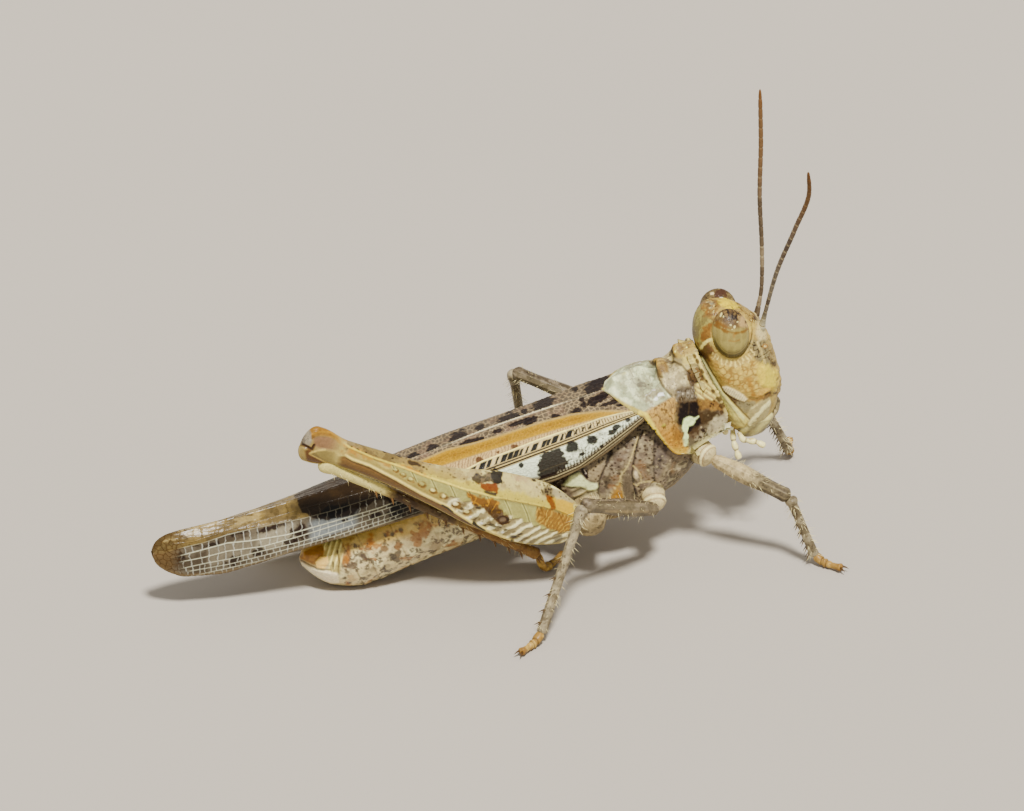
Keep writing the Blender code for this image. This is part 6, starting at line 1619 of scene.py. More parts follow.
    # tibia
    fr = axes_of(knee, ankle, (0, 1, 0))
    q, t, ang = tube(fr[4], [(0, shin * 0.8), (0.06, shin * 0.95), (0.13, shin * 0.72), (0.5, shin * 0.66), (0.92, shin * 0.72), (1, shin * 0.8)],
                     [(0, shin * 0.8), (0.06, shin * 1.0), (0.13, shin * 0.76), (0.5, shin * 0.68), (0.92, shin * 0.74), (1, shin * 0.8)], count(150), count(60), 2.2, 0.2, 0.15)
    n = outward(q, normals_of(q, True))
    fine = fbm(q, 0.12, 4, seed + 2)
    d = 0.007 * fine + 0.012 * np.cos(ang * 3) ** 6
    qt = q + n * d[..., None]
    pale = rgb(178, 168, 146)
    bands = [(0.0, 0.06, 0.5), (0.16, 0.30, 0.65), (0.44, 0.60, 0.65), (0.74, 0.88, 0.6)] if kind == "fore" else [(0.14, 0.22, 0.35), (0.34, 0.42, 0.3), (0.55, 0.63, 0.35), (0.8, 0.9, 0.3)]
    col, mot = banded_leg(t, q, seed + 2, pale, rgb(110, 90, 64), bands)
    limb_piece("shin_" + tag, qt, fr, col * (1 + 0.08 * fine[..., None]), 0.45 + 0 * t, M_LEG, ("tibia_" + tag,))
    gather_hairs(qt, fr, (0, 1), (0.1, 0.95), 90, seed + 6, 0.36, tag)
    # spines below the shin
    P = place(qt, fr)
    roots, dirs = [], []
    for k in range(5):
        i = int((0.45 + 0.11 * k) * (P.shape[0] - 1))
        for sgn in (0.70, 0.80):
            j = int(sgn * P.shape[1])
            roots.append(P[i, j])
            out = P[i, j] - P[i].mean(0)
            dirs.append(out / np.linalg.norm(out) + fr[1] * 0.9)
    spikes("spines_" + tag, roots, dirs, 0.30, 0.035, rgb(120, 92, 60), M_LEG, sides=6)
    make_tarsus(tag, ankle, toe, seed)


def make_tarsus(tag, ankle, toe, seed, big=1.0):
    """Three pads, a long end joint and two claws."""
    ankle, toe = arr(ankle, toe)
    flat = toe - ankle
    flat[2] = 0
    length = np.linalg.norm(flat)
    flat /= length
    cross = np.cross([0, 0, 1.0], flat)
    nt, na = count(120), count(40)
    k = np.linspace(0, 1, nt)
    r = through([0, 0.12, 0.26, 0.30, 0.40, 0.44, 0.55, 0.60, 0.8, 0.93, 1.0], [0.19, 0.21, 0.20, 0.16, 0.20, 0.15, 0.16, 0.13, 0.14, 0.18, 0.10], k) * big
    zc = through([0, 0.15, 0.35, 0.6, 0.85, 1.0], [ankle[2], FLOOR + 0.32 + 0.2 * (ankle[2] - FLOOR - 0.3), FLOOR + 0.22, FLOOR + 0.20, FLOOR + 0.22, FLOOR + 0.24], k)
    near = np.minimum(np.minimum(k / 0.04, (1 - k) / 0.05), 1)
    r = r * np.sqrt(np.clip(1 - (1 - near) ** 2, 0.002, 1))
    ang = np.arange(na) * 2 * math.pi / na
    c = ankle[None] + flat[None] * (k * length)[:, None]
    c[:, 2] = zc
    p = c[:, None] + (np.cos(ang)[None, :, None] * cross + np.sin(ang)[None, :, None] * np.array([0, 0, 1.0])) * r[:, None, None]
    p[..., 2] = np.maximum(p[..., 2], FLOOR + 0.003)
    n = outward(p, normals_of(p, True))
    mot = fbm(p, 0.25, 3, seed)
    t = np.broadcast_to(k[:, None], (nt, na))
    col = np.broadcast_to(rgb(184, 152, 100), p.shape).copy()
    col = lay(col, smooth(0.0, 0.5, mot), rgb(200, 180, 134))
    for a in (0.29, 0.45):
        col = lay(col, np.exp(-((t - a) / 0.02) ** 2), rgb(120, 88, 50), 0.7)
    col = lay(col, smooth(0.75, 0.95, t), rgb(170, 124, 70), 0.6)
    grid_piece("tarsus_pads_" + tag, p, col, 0.42 + 0 * t, M_LEG, closed=True, nodes=("tarsus_" + tag,), flip=bool((normals_of(p, True) * n).sum() > 0))
    end = c[-1] - flat * 0.06
    end[2] = FLOOR + 0.26
    roots = [end + cross * 0.07, end - cross * 0.07]
    dirs = [flat + cross * 0.35 + np.array([0, 0, 0.12]), flat - cross * 0.35 + np.array([0, 0, 0.12])]
    spikes("claws_" + tag, roots, dirs, 0.32 * big, 0.06, rgb(110, 72, 40), M_LEG, sides=8, steps=5, bend=(0, 0, -0.42))


LEGS = {
    "fore_R": dict(hip=(16.10, -2.05, 5.30), knee=(19.10, -3.55, 3.80), ankle=(20.16, -3.80, 0.85), toe=(21.10, -4.80, 0.45), coxa=(15.55, -1.20, 5.45)),
    "fore_L": dict(hip=(16.20, 2.05, 5.20), knee=(19.90, 3.75, 4.10), ankle=(21.41, 4.77, 0.90), toe=(21.75, 6.05, 0.45), coxa=(15.55, 1.20, 5.45)),
    "mid_R": dict(hip=(13.45, -2.62, 3.55), knee=(9.61, -4.90, 5.66), ankle=(7.20, -7.00, 0.88), toe=(6.05, -7.90, 0.45), coxa=(13.50, -1.50, 4.05)),
    "mid_L": dict(hip=(13.00, 3.30, 5.10), knee=(9.18, 5.00, 6.64), ankle=(10.39, 7.20, 0.88), toe=(11.30, 8.35, 0.45), coxa=(13.45, 1.70, 4.35)),
}
for i_leg, (tag, j) in enumerate(LEGS.items()):
    make_leg(tag, j["hip"], j["knee"], j["ankle"], j["toe"], j["coxa"], tag.split("_")[0], 100 + 11 * i_leg)


def make_hind_shin(side):
    sgn = -1 if side == "R" else 1
    tag = "hind_" + side
    fr = axes_of(HEEL[side], HANK[side], (0, 1, 0))
    q, t, ang = tube(fr[4], [(0, 0.24), (0.03, 0.28), (0.08, 0.22), (0.5, 0.20), (0.93, 0.21), (1, 0.25)],
                     [(0, 0.28), (0.03, 0.34), (0.08, 0.25), (0.5, 0.22), (0.93, 0.23), (1, 0.28)], count(260), count(60), 2.2, 0.25, 0.15)
    n = outward(q, normals_of(q, True))
    fine = fbm(q, 0.14, 4, 301)
    d = 0.008 * fine
    qt = q + n * d[..., None]
    col, mot = banded_leg(t, q, 302, rgb(196, 180, 138), rgb(116, 84, 48), [(0.05, 0.10, 0.6), (0.3, 0.4, 0.4), (0.62, 0.7, 0.35)])
    cream_t = 1 - smooth(0.27, 0.33, t + 0.03 * mot)
    col = lay(col, cream_t, rgb(210, 202, 172), 0.9)
    col = lay(col, cream_t * specks(q, 0.2, 303, 0.28, 0.35) * smooth(0.16, 0.24, t), rgb(120, 70, 44), 0.85)
    # the shin's middle, which runs under the femur, is painted dark brown as shade to blend with the shadow there
    painted_shade_middle = smooth(0.29, 0.36, t + 0.03 * mot) * (1 - smooth(0.58, 0.68, t + 0.03 * mot))
    col = lay(col, painted_shade_middle, rgb(112, 82, 58), 0.9)
    col = lay(col, painted_shade_middle * blots(q, 0.3, 304), rgb(84, 58, 42), 0.8)
    col = lay(col, smooth(0.6, 0.72, t), rgb(168, 124, 72), 0.85)
    col = lay(col, smooth(0.6, 0.72, t) * blots(q, 0.3, 305, 0.1, 0.6), rgb(136, 92, 54), 0.7)
    limb_piece("shin_" + tag, qt, fr, col, 0.42 + 0 * t, M_LEG, ("tibia_" + tag,))
    P = place(qt, fr)
    roots, dirs = [], []
    up = -fr[3] if fr[3][2] > 0 else fr[3]
    for row in (-1, 1):
        for k in range(10):
            i = int((0.30 + 0.066 * k) * (P.shape[0] - 1))
            c = P[i].mean(0)
            out = up * 0.8 + fr[2] * row * 0.55
            out /= np.linalg.norm(out)
            roots.append(c + out * 0.17)
            dirs.append(out + fr[1] * 0.7)
    for row in (-1, 1):
        for z in (0.3, 0.9):
            c = P[-4].mean(0)
            out = up * z + fr[2] * row
            roots.append(c + out / np.linalg.norm(out) * 0.12)
            dirs.append(out * 0.6 + fr[1])
    spikes("spines_" + tag, roots, dirs, 0.38, 0.075, rgb(150, 112, 70), M_LEG, sides=7, steps=4)
    gather_hairs(qt, fr, (0, 1), (0.05, 0.95), 120, 311, 0.30, tag)
    make_tarsus(tag, HANK[side], HTOE[side], 320, 1.05)
    s = sgn
    fr = axes_of((10.75, s * 1.35, 3.55), (10.45, s * 3.0, 3.25), (1, 0, 0))
    q, t, ang = tube(fr[4], [(0, 0.85), (0.6, 0.75), (1, 0.55)], [(0, 0.9), (0.6, 0.75), (1, 0.55)], count(70), count(90), 2.2, 0.3, 0.3)
    n = outward(q, normals_of(q, True))
    fine = fbm(q, 0.15, 4, 330)
    d = 0.012 * fine - 0.05 * np.exp(-((t - 0.6) / 0.04) ** 2)
    col, mot = banded_leg(t, q, 331, rgb(182, 168, 136), rgb(112, 92, 64), [(0.55, 0.65, 0.5)])
    limb_piece("hip_" + tag, q + n * d[..., None], fr, col, 0.48 + 0 * t, M_BODY, ("coxa_" + tag,))


make_hind_shin("R")
make_hind_shin("L")


# ------------------------------------------------------------------------ head
HEAD = [
    (5.62, 18.75, 17.45, 0.85, 2.3),
    (6.1, 19.10, 17.00, 1.18, 2.3),
    (6.9, 19.42, 16.62, 1.44, 2.3),
    (7.9, 19.52, 16.28, 1.58, 2.3),
    (8.9, 19.30, 16.05, 1.60, 2.3),
    (9.7, 19.10, 15.92, 1.52, 2.3),
    (10.3, 18.82, 15.80, 1.36, 2.3),
    (10.8, 18.52, 15.84, 1.16, 2.4),
    (11.3, 18.00, 15.98, 0.92, 2.4),
    (11.62, 17.50, 16.25, 0.66, 2.3),
    (11.76, 17.15, 16.50, 0.36, 2.2),
]


def make_head():
    hd = np.array(HEAD)
    nz, na = count(230), count(340)
    k = np.linspace(0, 1, nz)
    z = (5.62 + (11.76 - 5.62) * (1 - (1 - k) ** 1.25))[:, None]
    xf, xb, w, pw = (through(hd[:, 0], hd[:, j], z) for j in range(1, 5))
    top = np.clip((11.76 - z) / 0.10, 0.02, 1) ** 0.5
    ang = np.arange(na) * 2 * math.pi / na
    e = 2 / pw
    c, s = np.cos(ang)[None], np.sin(ang)[None]
    c, s = np.sign(c) * np.abs(c) ** e, np.sign(s) * np.abs(s) ** e
    p = np.stack([(xf + xb) / 2 + c * (xf - xb) / 2 * top, s * w * top, z + 0 * c], -1)
    n = outward(p, normals_of(p, True))
    C = chart3(p, 45, 0.22)
    U, V, R = C
    fp = folded(p)
    y = np.abs(p[..., 1])
    face = smooth(0.0, 0.3, facing(p, n))
    fine = fbm(fp, 0.13, 4, 91)
    mot = fbm(fp, 0.55, 4, 92)
    med = fbm(fp, 0.28, 4, 93)
    # round the eye: a fine groove where the lower half of the eye sits
    er = np.sqrt(((U - 732.5) / 19.5) ** 2 + ((V - 331) / 25.5) ** 2)
    lowh = smooth(-2, 10, V - 326)
    rim = np.exp(-((er - 1.10) / 0.045) ** 2) * face * lowh
    gro = np.exp(-((er - 1.02) / 0.035) ** 2) * face * (0.3 + 0.7 * lowh)
    # plates and swellings of the cheek
    gena = inside(C, [(698, 355), (702.5, 357.5), (711.5, 373), (721, 388.5), (731.5, 401.5), (744, 414.5), (749, 420), (744, 427), (733, 423), (728, 415), (718, 398), (708, 379)], 1.4) * face
    seam = line(C, [(703, 357), (712, 372.5), (721.6, 388), (732, 400.8), (744, 413.5), (750, 419)], 0.5, 0.8) * face
    cheek = inside(C, [(712, 357), (722, 362), (738, 364), (752, 360), (762, 366), (764, 384), (756, 396), (744, 392), (728, 384), (718, 374)], 4, 1) * face
    bulge = inside(C, [(761, 367), (768, 364), (775, 371), (777, 382), (774, 391), (766, 392), (761, 384)], 3.5, 0.6) * face
    knob = inside(C, [(722.5, 386.5), (727, 386), (735, 389.5), (743, 394), (747.5, 399), (744.5, 401.5), (737, 399), (729, 394.5), (723.5, 390)], 1.2) * face
    scape = inside(C, [(758, 318), (764, 319), (766, 330), (765, 340), (759, 341), (755.5, 334)], 2.4) * face
    ocell = np.clip(spot(C, 765, 346, 3.0, 2.6, 0, 0.3) - spot(C, 765, 346, 1.5, 1.3, 0, 0.3), 0, 1)
    costa = line(C, [(762, 322), (768, 335), (771, 346), (773, 356), (776, 364), (779, 368), (776, 373), (778.5, 380), (778.6, 390)], 3.0, 2.4)
    vertex = line(C, [(703, 309), (716, 300), (728, 300), (742, 305), (755, 316)], 3.0, 3.0)
    groove2 = line(C, [(750, 398), (757, 399.5), (764, 396.5), (769, 393), (776, 393)], 1.2, 1.0) * face
    mand = inside(C, [(747, 416), (752, 408), (760, 402), (768, 396), (771, 402), (769, 412), (764, 424), (756, 432), (748, 424)], 1.6) * face
    blade = smooth(-0.3, 1.0, np.cos(2 * math.pi * ((U * 0.74 + V * 0.67) - 838.6 + 0.9 * R) / 10.5)) * mand
    ribs = knob * np.cos((U * 0.87 + V * 0.49) * 2 * math.pi / 2.3)
    pebble, pf2, pwho = cells(fp, 0.11, 94)
    top_z = inside(C, [(703, 296), (716, 288), (728, 292), (744, 303), (762, 314), (762, 322), (750, 322), (748, 312), (736, 306), (722, 306), (712, 312), (704, 304)], 3, 1) * face
    frons = inside(C, [(749, 341), (755, 339), (766, 341), (772, 352), (775, 364), (766, 366), (757, 360), (750, 354)], 2.4, 1.2) * face
    wet = np.abs(noise(fp, 0.17, 99))
    g1, g2, gw = cells(fp + 0.04 * np.stack([noise(fp, 0.3, 81), noise(fp, 0.3, 82), noise(fp, 0.3, 83)], -1), 0.25, 95)
    net = 1 - smooth(0.05, 0.24, g2 - g1)
    rays = inside(C, [(713, 352), (722, 358), (734, 361), (748, 355), (752, 348), (756, 354), (748, 363), (736, 367), (722, 364), (712, 358)], 1.2, 0.8) * face
    ang_e = np.arctan2(V - 331, U - 732.5)
    ray_w = np.cos(ang_e * 46 + 1.2 * R)
    d = 0.006 * fine + 0.014 * med + 0.010 * rim - 0.035 * gro + 0.030 * gena - 0.02 * seam + 0.03 * cheek + 0.05 * bulge + 0.05 * knob + 0.07 * scape + 0.03 * ocell
    d = d + 0.05 * costa * smooth(17.8, 18.4, p[..., 0]) + 0.10 * costa * smooth(18.2, 18.6, p[..., 0]) * fbm(fp, 0.24, 3, 87) + 0.02 * vertex - 0.035 * groove2 + 0.006 * ribs + 0.03 * mand + 0.03 * blade
    d = d + 0.030 * (0.5 - pebble) * (top_z + frons) - 0.03 * (1 - smooth(0.03, 0.12, wet)) * frons - 0.012 * net * cheek * (1 - bulge) + 0.010 * rays * ray_w
    pits = (1 - smooth(0.16, 0.34, pebble)) * (pwho < 0.4)
    smooth_parts = np.clip(gena + bulge + mand + knob + cheek, 0, 1)
    d = d - 0.012 * pits * (1 - smooth_parts)
    q = p + n * d[..., None]
    painted_relief_shading = d - blur(d, 4, True)

    col = np.broadcast_to(rgb(194, 172, 122), p.shape).copy()
    col = lay(col, blots(fp, 0.5, 92, -0.1, 0.6), rgb(204, 188, 142), 0.85)
    # nape and the smooth band behind the eye
    occ = inside(C, [(688, 350), (692, 330), (700, 309), (712, 300), (716, 310), (713, 322), (712, 336), (703, 345), (697, 354)], 2.4, 1) * face
    col = lay(col, occ, rgb(164, 148, 98), 0.95)
    col = lay(col, occ * smooth(-0.2, 0.9, np.cos(2 * math.pi * (U * 0.8 + V * 0.45 + 1.5 * R) / 9.0)), rgb(190, 178, 128), 0.75)
    col = lay(col, inside(C, [(709, 320), (714, 326), (713, 338), (706, 343), (699, 343), (702, 334), (706, 326)], 1.8, 1.8) * face, rgb(168, 116, 58), 0.85)
    col = lay(col, inside(C, [(709, 320), (714, 326), (713, 338), (706, 343), (699, 343), (702, 334), (706, 326)], 1.8, 1.8) * face * blots(fp, 0.2, 88), rgb(186, 148, 88), 0.7)
    col = lay(col, inside(C, [(702, 300), (712, 303), (716, 312), (712, 320), (706, 316), (702, 308)], 2.4, 2) * face, rgb(174, 122, 62), 0.8)
    col = lay(col, inside(C, [(700, 300), (714, 303), (718, 312), (712, 320), (702, 312)], 2.4, 2) * face * blots(fp, 0.18, 89), rgb(146, 106, 64), 0.75)
    col = lay(col, line(C, [(704, 302), (698.5, 309), (694.8, 317), (693, 326), (693.6, 337)], 1.8, 1.8) * face, rgb(120, 98, 62), 0.7)
    # crown: pebbled, yellow in the middle, dark and orange specks
    col = lay(col, top_z, rgb(186, 162, 112), 0.9)
    greyz = inside(C, [(702, 303), (706, 294), (716, 290), (719, 298), (712, 306)], 2, 1.5) * face
    col = lay(col, greyz, rgb(176, 168, 146), 0.9)
    yel = inside(C, [(718, 303), (724, 299), (734, 300), (739, 306), (734, 309), (722, 308)], 1.8, 1.4) * face
    col = lay(col, top_z * blots(fp, 0.2, 97, -0.05, 0.3), rgb(158, 114, 60), 0.85)
    col = lay(col, top_z * specks(fp, 0.14, 98, 0.36, 0.45), rgb(96, 64, 38), 0.85)
    col = lay(col, top_z * worms(fp, 0.2, 80, 0.2) * blots(fp, 0.3, 84, -0.1, 0.3), rgb(84, 56, 34), 0.75)
    col = lay(col, (top_z + greyz).clip(0, 1) * specks(fp, 0.13, 101, 0.30, 0.32), rgb(222, 214, 188), 0.8)
    col = lay(col, yel, rgb(212, 198, 132), 0.92)
    sq_top = inside(C, [(717, 296), (722, 294.5), (730, 297), (736, 301.5), (730, 303), (721, 301)], 1.0, 0.8) * face
    col = lay(col, sq_top * worms(fp, 0.13, 102, 0.24), rgb(46, 32, 26), 0.9)
    # painted glints: white specks among the dark squiggles of the crown
    col = lay(col, sq_top * specks(fp, 0.12, 103, 0.3, 0.3), rgb(232, 230, 222), 0.85)
    fanz = inside(C, [(721, 306), (730, 303), (740, 307), (742, 314), (736, 318), (724, 316)], 1.6, 1) * face
    col = lay(col, fanz * (1 - smooth(0.04, 0.16, wet)), rgb(56, 40, 28), 0.85)
    col = lay(col, spot(C, 756.5, 318.5, 3.8, 3.2, 30, 0.4, 0.4) * face, rgb(72, 44, 28), 0.95)
    col = lay(col, inside(C, [(742, 306), (752, 310), (758, 316), (752, 320), (746, 313)], 1.6, 1.5) * face * specks(fp, 0.14, 85, 0.4, 0.6), rgb(128, 84, 44), 0.8)
    col = lay(col, line(C, [(752, 309), (759, 314.5), (763, 320)], 1.0, 0.9) * face, rgb(206, 190, 146), 0.8)
    # behind the eye
    back = inside(C, [(700, 345), (706, 343), (713.5, 344), (715.5, 350), (716, 356), (711, 361), (704, 361), (700, 354)], 1.8, 1.8) * face
    col = lay(col, back, rgb(112, 70, 42), 0.9)
    col = lay(col, back * blots(fp, 0.2, 104), rgb(150, 104, 66), 0.7)
    col = lay(col, inside(C, [(708, 356), (716, 355), (720, 362), (722, 372), (716, 372), (709, 364)], 3, 1.5) * face, rgb(176, 136, 88), 0.5)
    col = lay(col, line(C, [(701.5, 347.5), (704.5, 343), (709, 340), (714, 339)], 1.5, 0.9, 1.1, 0.3) * face, rgb(214, 208, 176), 0.95)
    # between the eye and the front ridge
    col = lay(col, frons, rgb(146, 126, 96), 0.95)
    col = lay(col, frons * smooth(0.2, 0.4, wet), rgb(178, 163, 128), 0.75)
    col = lay(col, frons * specks(fp, 0.13, 86, 0.3, 0.4), rgb(86, 62, 44), 0.8)
    sqz = inside(C, [(747, 343), (755, 340), (763, 345), (766, 358), (759, 361), (750, 355)], 1.6, 1) * face
    col = lay(col, sqz * (1 - smooth(0.08, 0.24, wet)), rgb(52, 38, 28), 0.92)
    col = lay(col, inside(C, [(762, 343), (769, 345), (773, 356), (774, 366), (767, 362), (764, 352)], 1.5, 1) * face * (1 - smooth(0.06, 0.2, wet)), rgb(104, 78, 54), 0.85)
    col = lay(col, scape, rgb(206, 198, 174), 0.95)
    col = lay(col, scape * specks(fp, 0.13, 105, 0.28, 0.35), rgb(150, 134, 108), 0.6)
    col = lay(col, line(C, [(757, 342), (762, 352), (765, 362)], 1.3, 1.2) * face, rgb(206, 196, 162), 0.8)
    col = lay(col, spot(C, 765, 346, 2.9, 2.4, 0, 0.3) * face, rgb(184, 140, 72), 0.8)
    col = lay(col, spot(C, 765, 346, 1.4, 1.2, 0, 0.3) * face, rgb(214, 206, 180), 0.9)
    col = lay(col, costa * smooth(17.8, 18.4, p[..., 0]), rgb(190, 172, 130), 0.7)
    col = lay(col, spot(C, 774.5, 363, 2.4, 3.0, 20, 0.5, 0.4) * face, rgb(84, 58, 40), 0.85)
    col = lay(col, spot(C, 777, 372, 1.6, 3, 10, 0.5, 0.4) * face, rgb(106, 82, 62), 0.8)
    col = lay(col, spot(C, 772, 352, 2, 4, 10, 0.5, 0.4) * face, rgb(140, 112, 80), 0.6)
    # cheek
    col = lay(col, cheek, rgb(208, 192, 146), 0.9)
    col = lay(col, net * cheek * (1 - bulge) * smooth(-0.9, 0.2, R), rgb(184, 148, 90), 0.8)
    col = lay(col, cheek * smooth(0.36, 0.6, g2 - g1), rgb(216, 202, 158), 0.6)
    for a, b, ru, rv, dg, k in ((730, 380.5, 3.4, 2.6, 0, 0.85), (750, 381, 2.2, 3.4, 10, 0.7), (752, 389, 2.4, 5.4, -12, 0.75), (746.5, 379, 2.0, 1.6, 0, 0.6), (757, 395.5, 4.6, 1.8, 10, 0.75), (717, 366, 3, 2.4, 50, 0.5),
                                (741, 386, 3, 1.6, 20, 0.5), (723, 377, 2.4, 1.8, 30, 0.5)):
        col = lay(col, spot(C, a, b, ru, rv, dg, 0.6, 0.5) * face, rgb(192, 150, 84), 0.85 * k)
    col = lay(col, rays, rgb(204, 188, 150), 0.6)
    col = lay(col, rays * smooth(0.2, 0.9, ray_w), rgb(222, 212, 182), 0.6)
    col = lay(col, bulge, rgb(212, 200, 142), 0.92)
    col = lay(col, inside(C, [(757, 364), (763, 362), (766, 372), (764, 386), (758, 380)], 2, 1) * face, rgb(214, 200, 146), 0.7)
    col = lay(col, bulge * smooth(384, 392, V + 2 * R), rgb(186, 152, 86), 0.7)
    col = lay(col, inside(C, [(762, 387), (769, 388), (769, 393), (762, 396), (757, 396)], 1.2, 0.8) * face, rgb(214, 196, 148), 0.7)
    # below the ribbed knob
    rough_p = inside(C, [(725, 392), (733, 396), (743, 401), (748, 404), (747, 411), (739, 408), (731, 401)], 1.8, 1.4) * face
    col = lay(col, rough_p, rgb(150, 118, 82), 0.9)
    col = lay(col, rough_p * specks(fp, 0.13, 106, 0.3, 0.55), rgb(74, 50, 34), 0.9)
    col = lay(col, inside(C, [(738, 402), (748, 401), (756, 403), (752, 411), (744, 414), (738, 408)], 1.8, 1.2) * face, rgb(186, 176, 148), 0.8)
    col = lay(col, inside(C, [(740, 402), (750, 400), (757, 403), (750, 410)], 1.4, 1) * face * specks(fp, 0.12, 107, 0.3, 0.5), rgb(88, 72, 50), 0.85)
    col = lay(col, knob, rgb(214, 208, 190), 0.96)
    col = lay(col, knob * smooth(0.2, 0.9, -ribs), rgb(184, 172, 150), 0.5)
    col = lay(col, line(C, [(724, 392), (731, 396.5), (739, 401)], 0.8, 0.8) * face, rgb(120, 84, 54), 0.7)
    # mandible blades on the side
    col = lay(col, mand, rgb(208, 200, 174), 0.95)
    col = lay(col, blade, rgb(222, 217, 198), 0.7)
    col = lay(col, mand * (1 - smooth(0.0, 0.35, blade)), rgb(176, 162, 130), 0.45)
    col = lay(col, inside(C, [(762, 398), (766, 393.6), (770, 391.6), (772, 393.6), (767.6, 398.6), (763, 401)], 1.1, 1) * face, rgb(112, 66, 42), 0.8)
    col = lay(col, line(C, [(750, 399), (757, 400.5), (763, 398)], 0.9, 0.9) * face, rgb(150, 96, 52), 0.7)
    col = lay(col, line(C, [(771, 396), (777, 393), (780, 396)], 1.2, 1.0) * face, rgb(126, 92, 60), 0.7)
    # hind blade of the cheek
    down_g = smooth(372, 400, V)
    col = lay(col, gena, rgb(222, 214, 184), 0.95)
    rear = line(C, [(699, 356), (708, 378), (719.5, 398.6), (728, 414.6), (734, 422)], 1.2, 1.2) * face
    mid_g = line(C, [(702, 359), (711, 375), (721, 392), (731, 405.5), (744, 418)], 1.2, 1.6) * face
    col = lay(col, gena * (1 - down_g), rgb(182, 158, 116), 0.6)
    # pale line along the gena's ridge: partly its pale colour, partly a painted highlight
    col = lay(col, mid_g, rgb(232, 226, 200), 0.85)
    col = lay(col, gena * down_g * smooth(0.2, 0.9, np.cos(2 * math.pi * (U * 0.80 - V * 0.60) / 5.5)), rgb(196, 184, 140), 0.6)
    col = lay(col, rear * (1 - 0.5 * down_g), rgb(124, 76, 44), 0.7)
    col = lay(col, seam, rgb(128, 88, 54), 0.7)
    col = lay(col, spot(C, 738, 421, 6, 3, 30, 0.5, 0.4) * face, rgb(182, 166, 124), 0.5)
    col = lay(col, rim, rgb(206, 190, 146), 0.5)
    col = lay(col, gro, rgb(92, 70, 44), 0.8)
    col = lay(col, pits * (1 - smooth_parts), rgb(128, 94, 60), 0.5)
    # painted shading from the relief: darker in hollows, lighter on raised parts, with fine random tone
    col = col * np.clip(1 + 6 * painted_relief_shading + 0.08 * fine, 0.55, 1.3)[..., None]
    look = np.clip(0.46 - 0.14 * gena - 0.10 * bulge - 0.14 * mand - 0.1 * knob + 0.04 * mot, 0.18, 0.6)
    grid_piece("head_skin", q, col, look, M_HEAD, closed=True, nodes=("head",), flip=bool((normals_of(q, True) * n).sum() > 0))


make_head()


def eye_frame(side):
    a, b = math.radians(-8), math.radians(side * 19)
    ry = np.array([[math.cos(a), 0, math.sin(a)], [0, 1, 0], [-math.sin(a), 0, math.cos(a)]])
    rx = np.array([[1, 0, 0], [0, math.cos(b), -math.sin(b)], [0, math.sin(b), math.cos(b)]])
    return ry @ rx


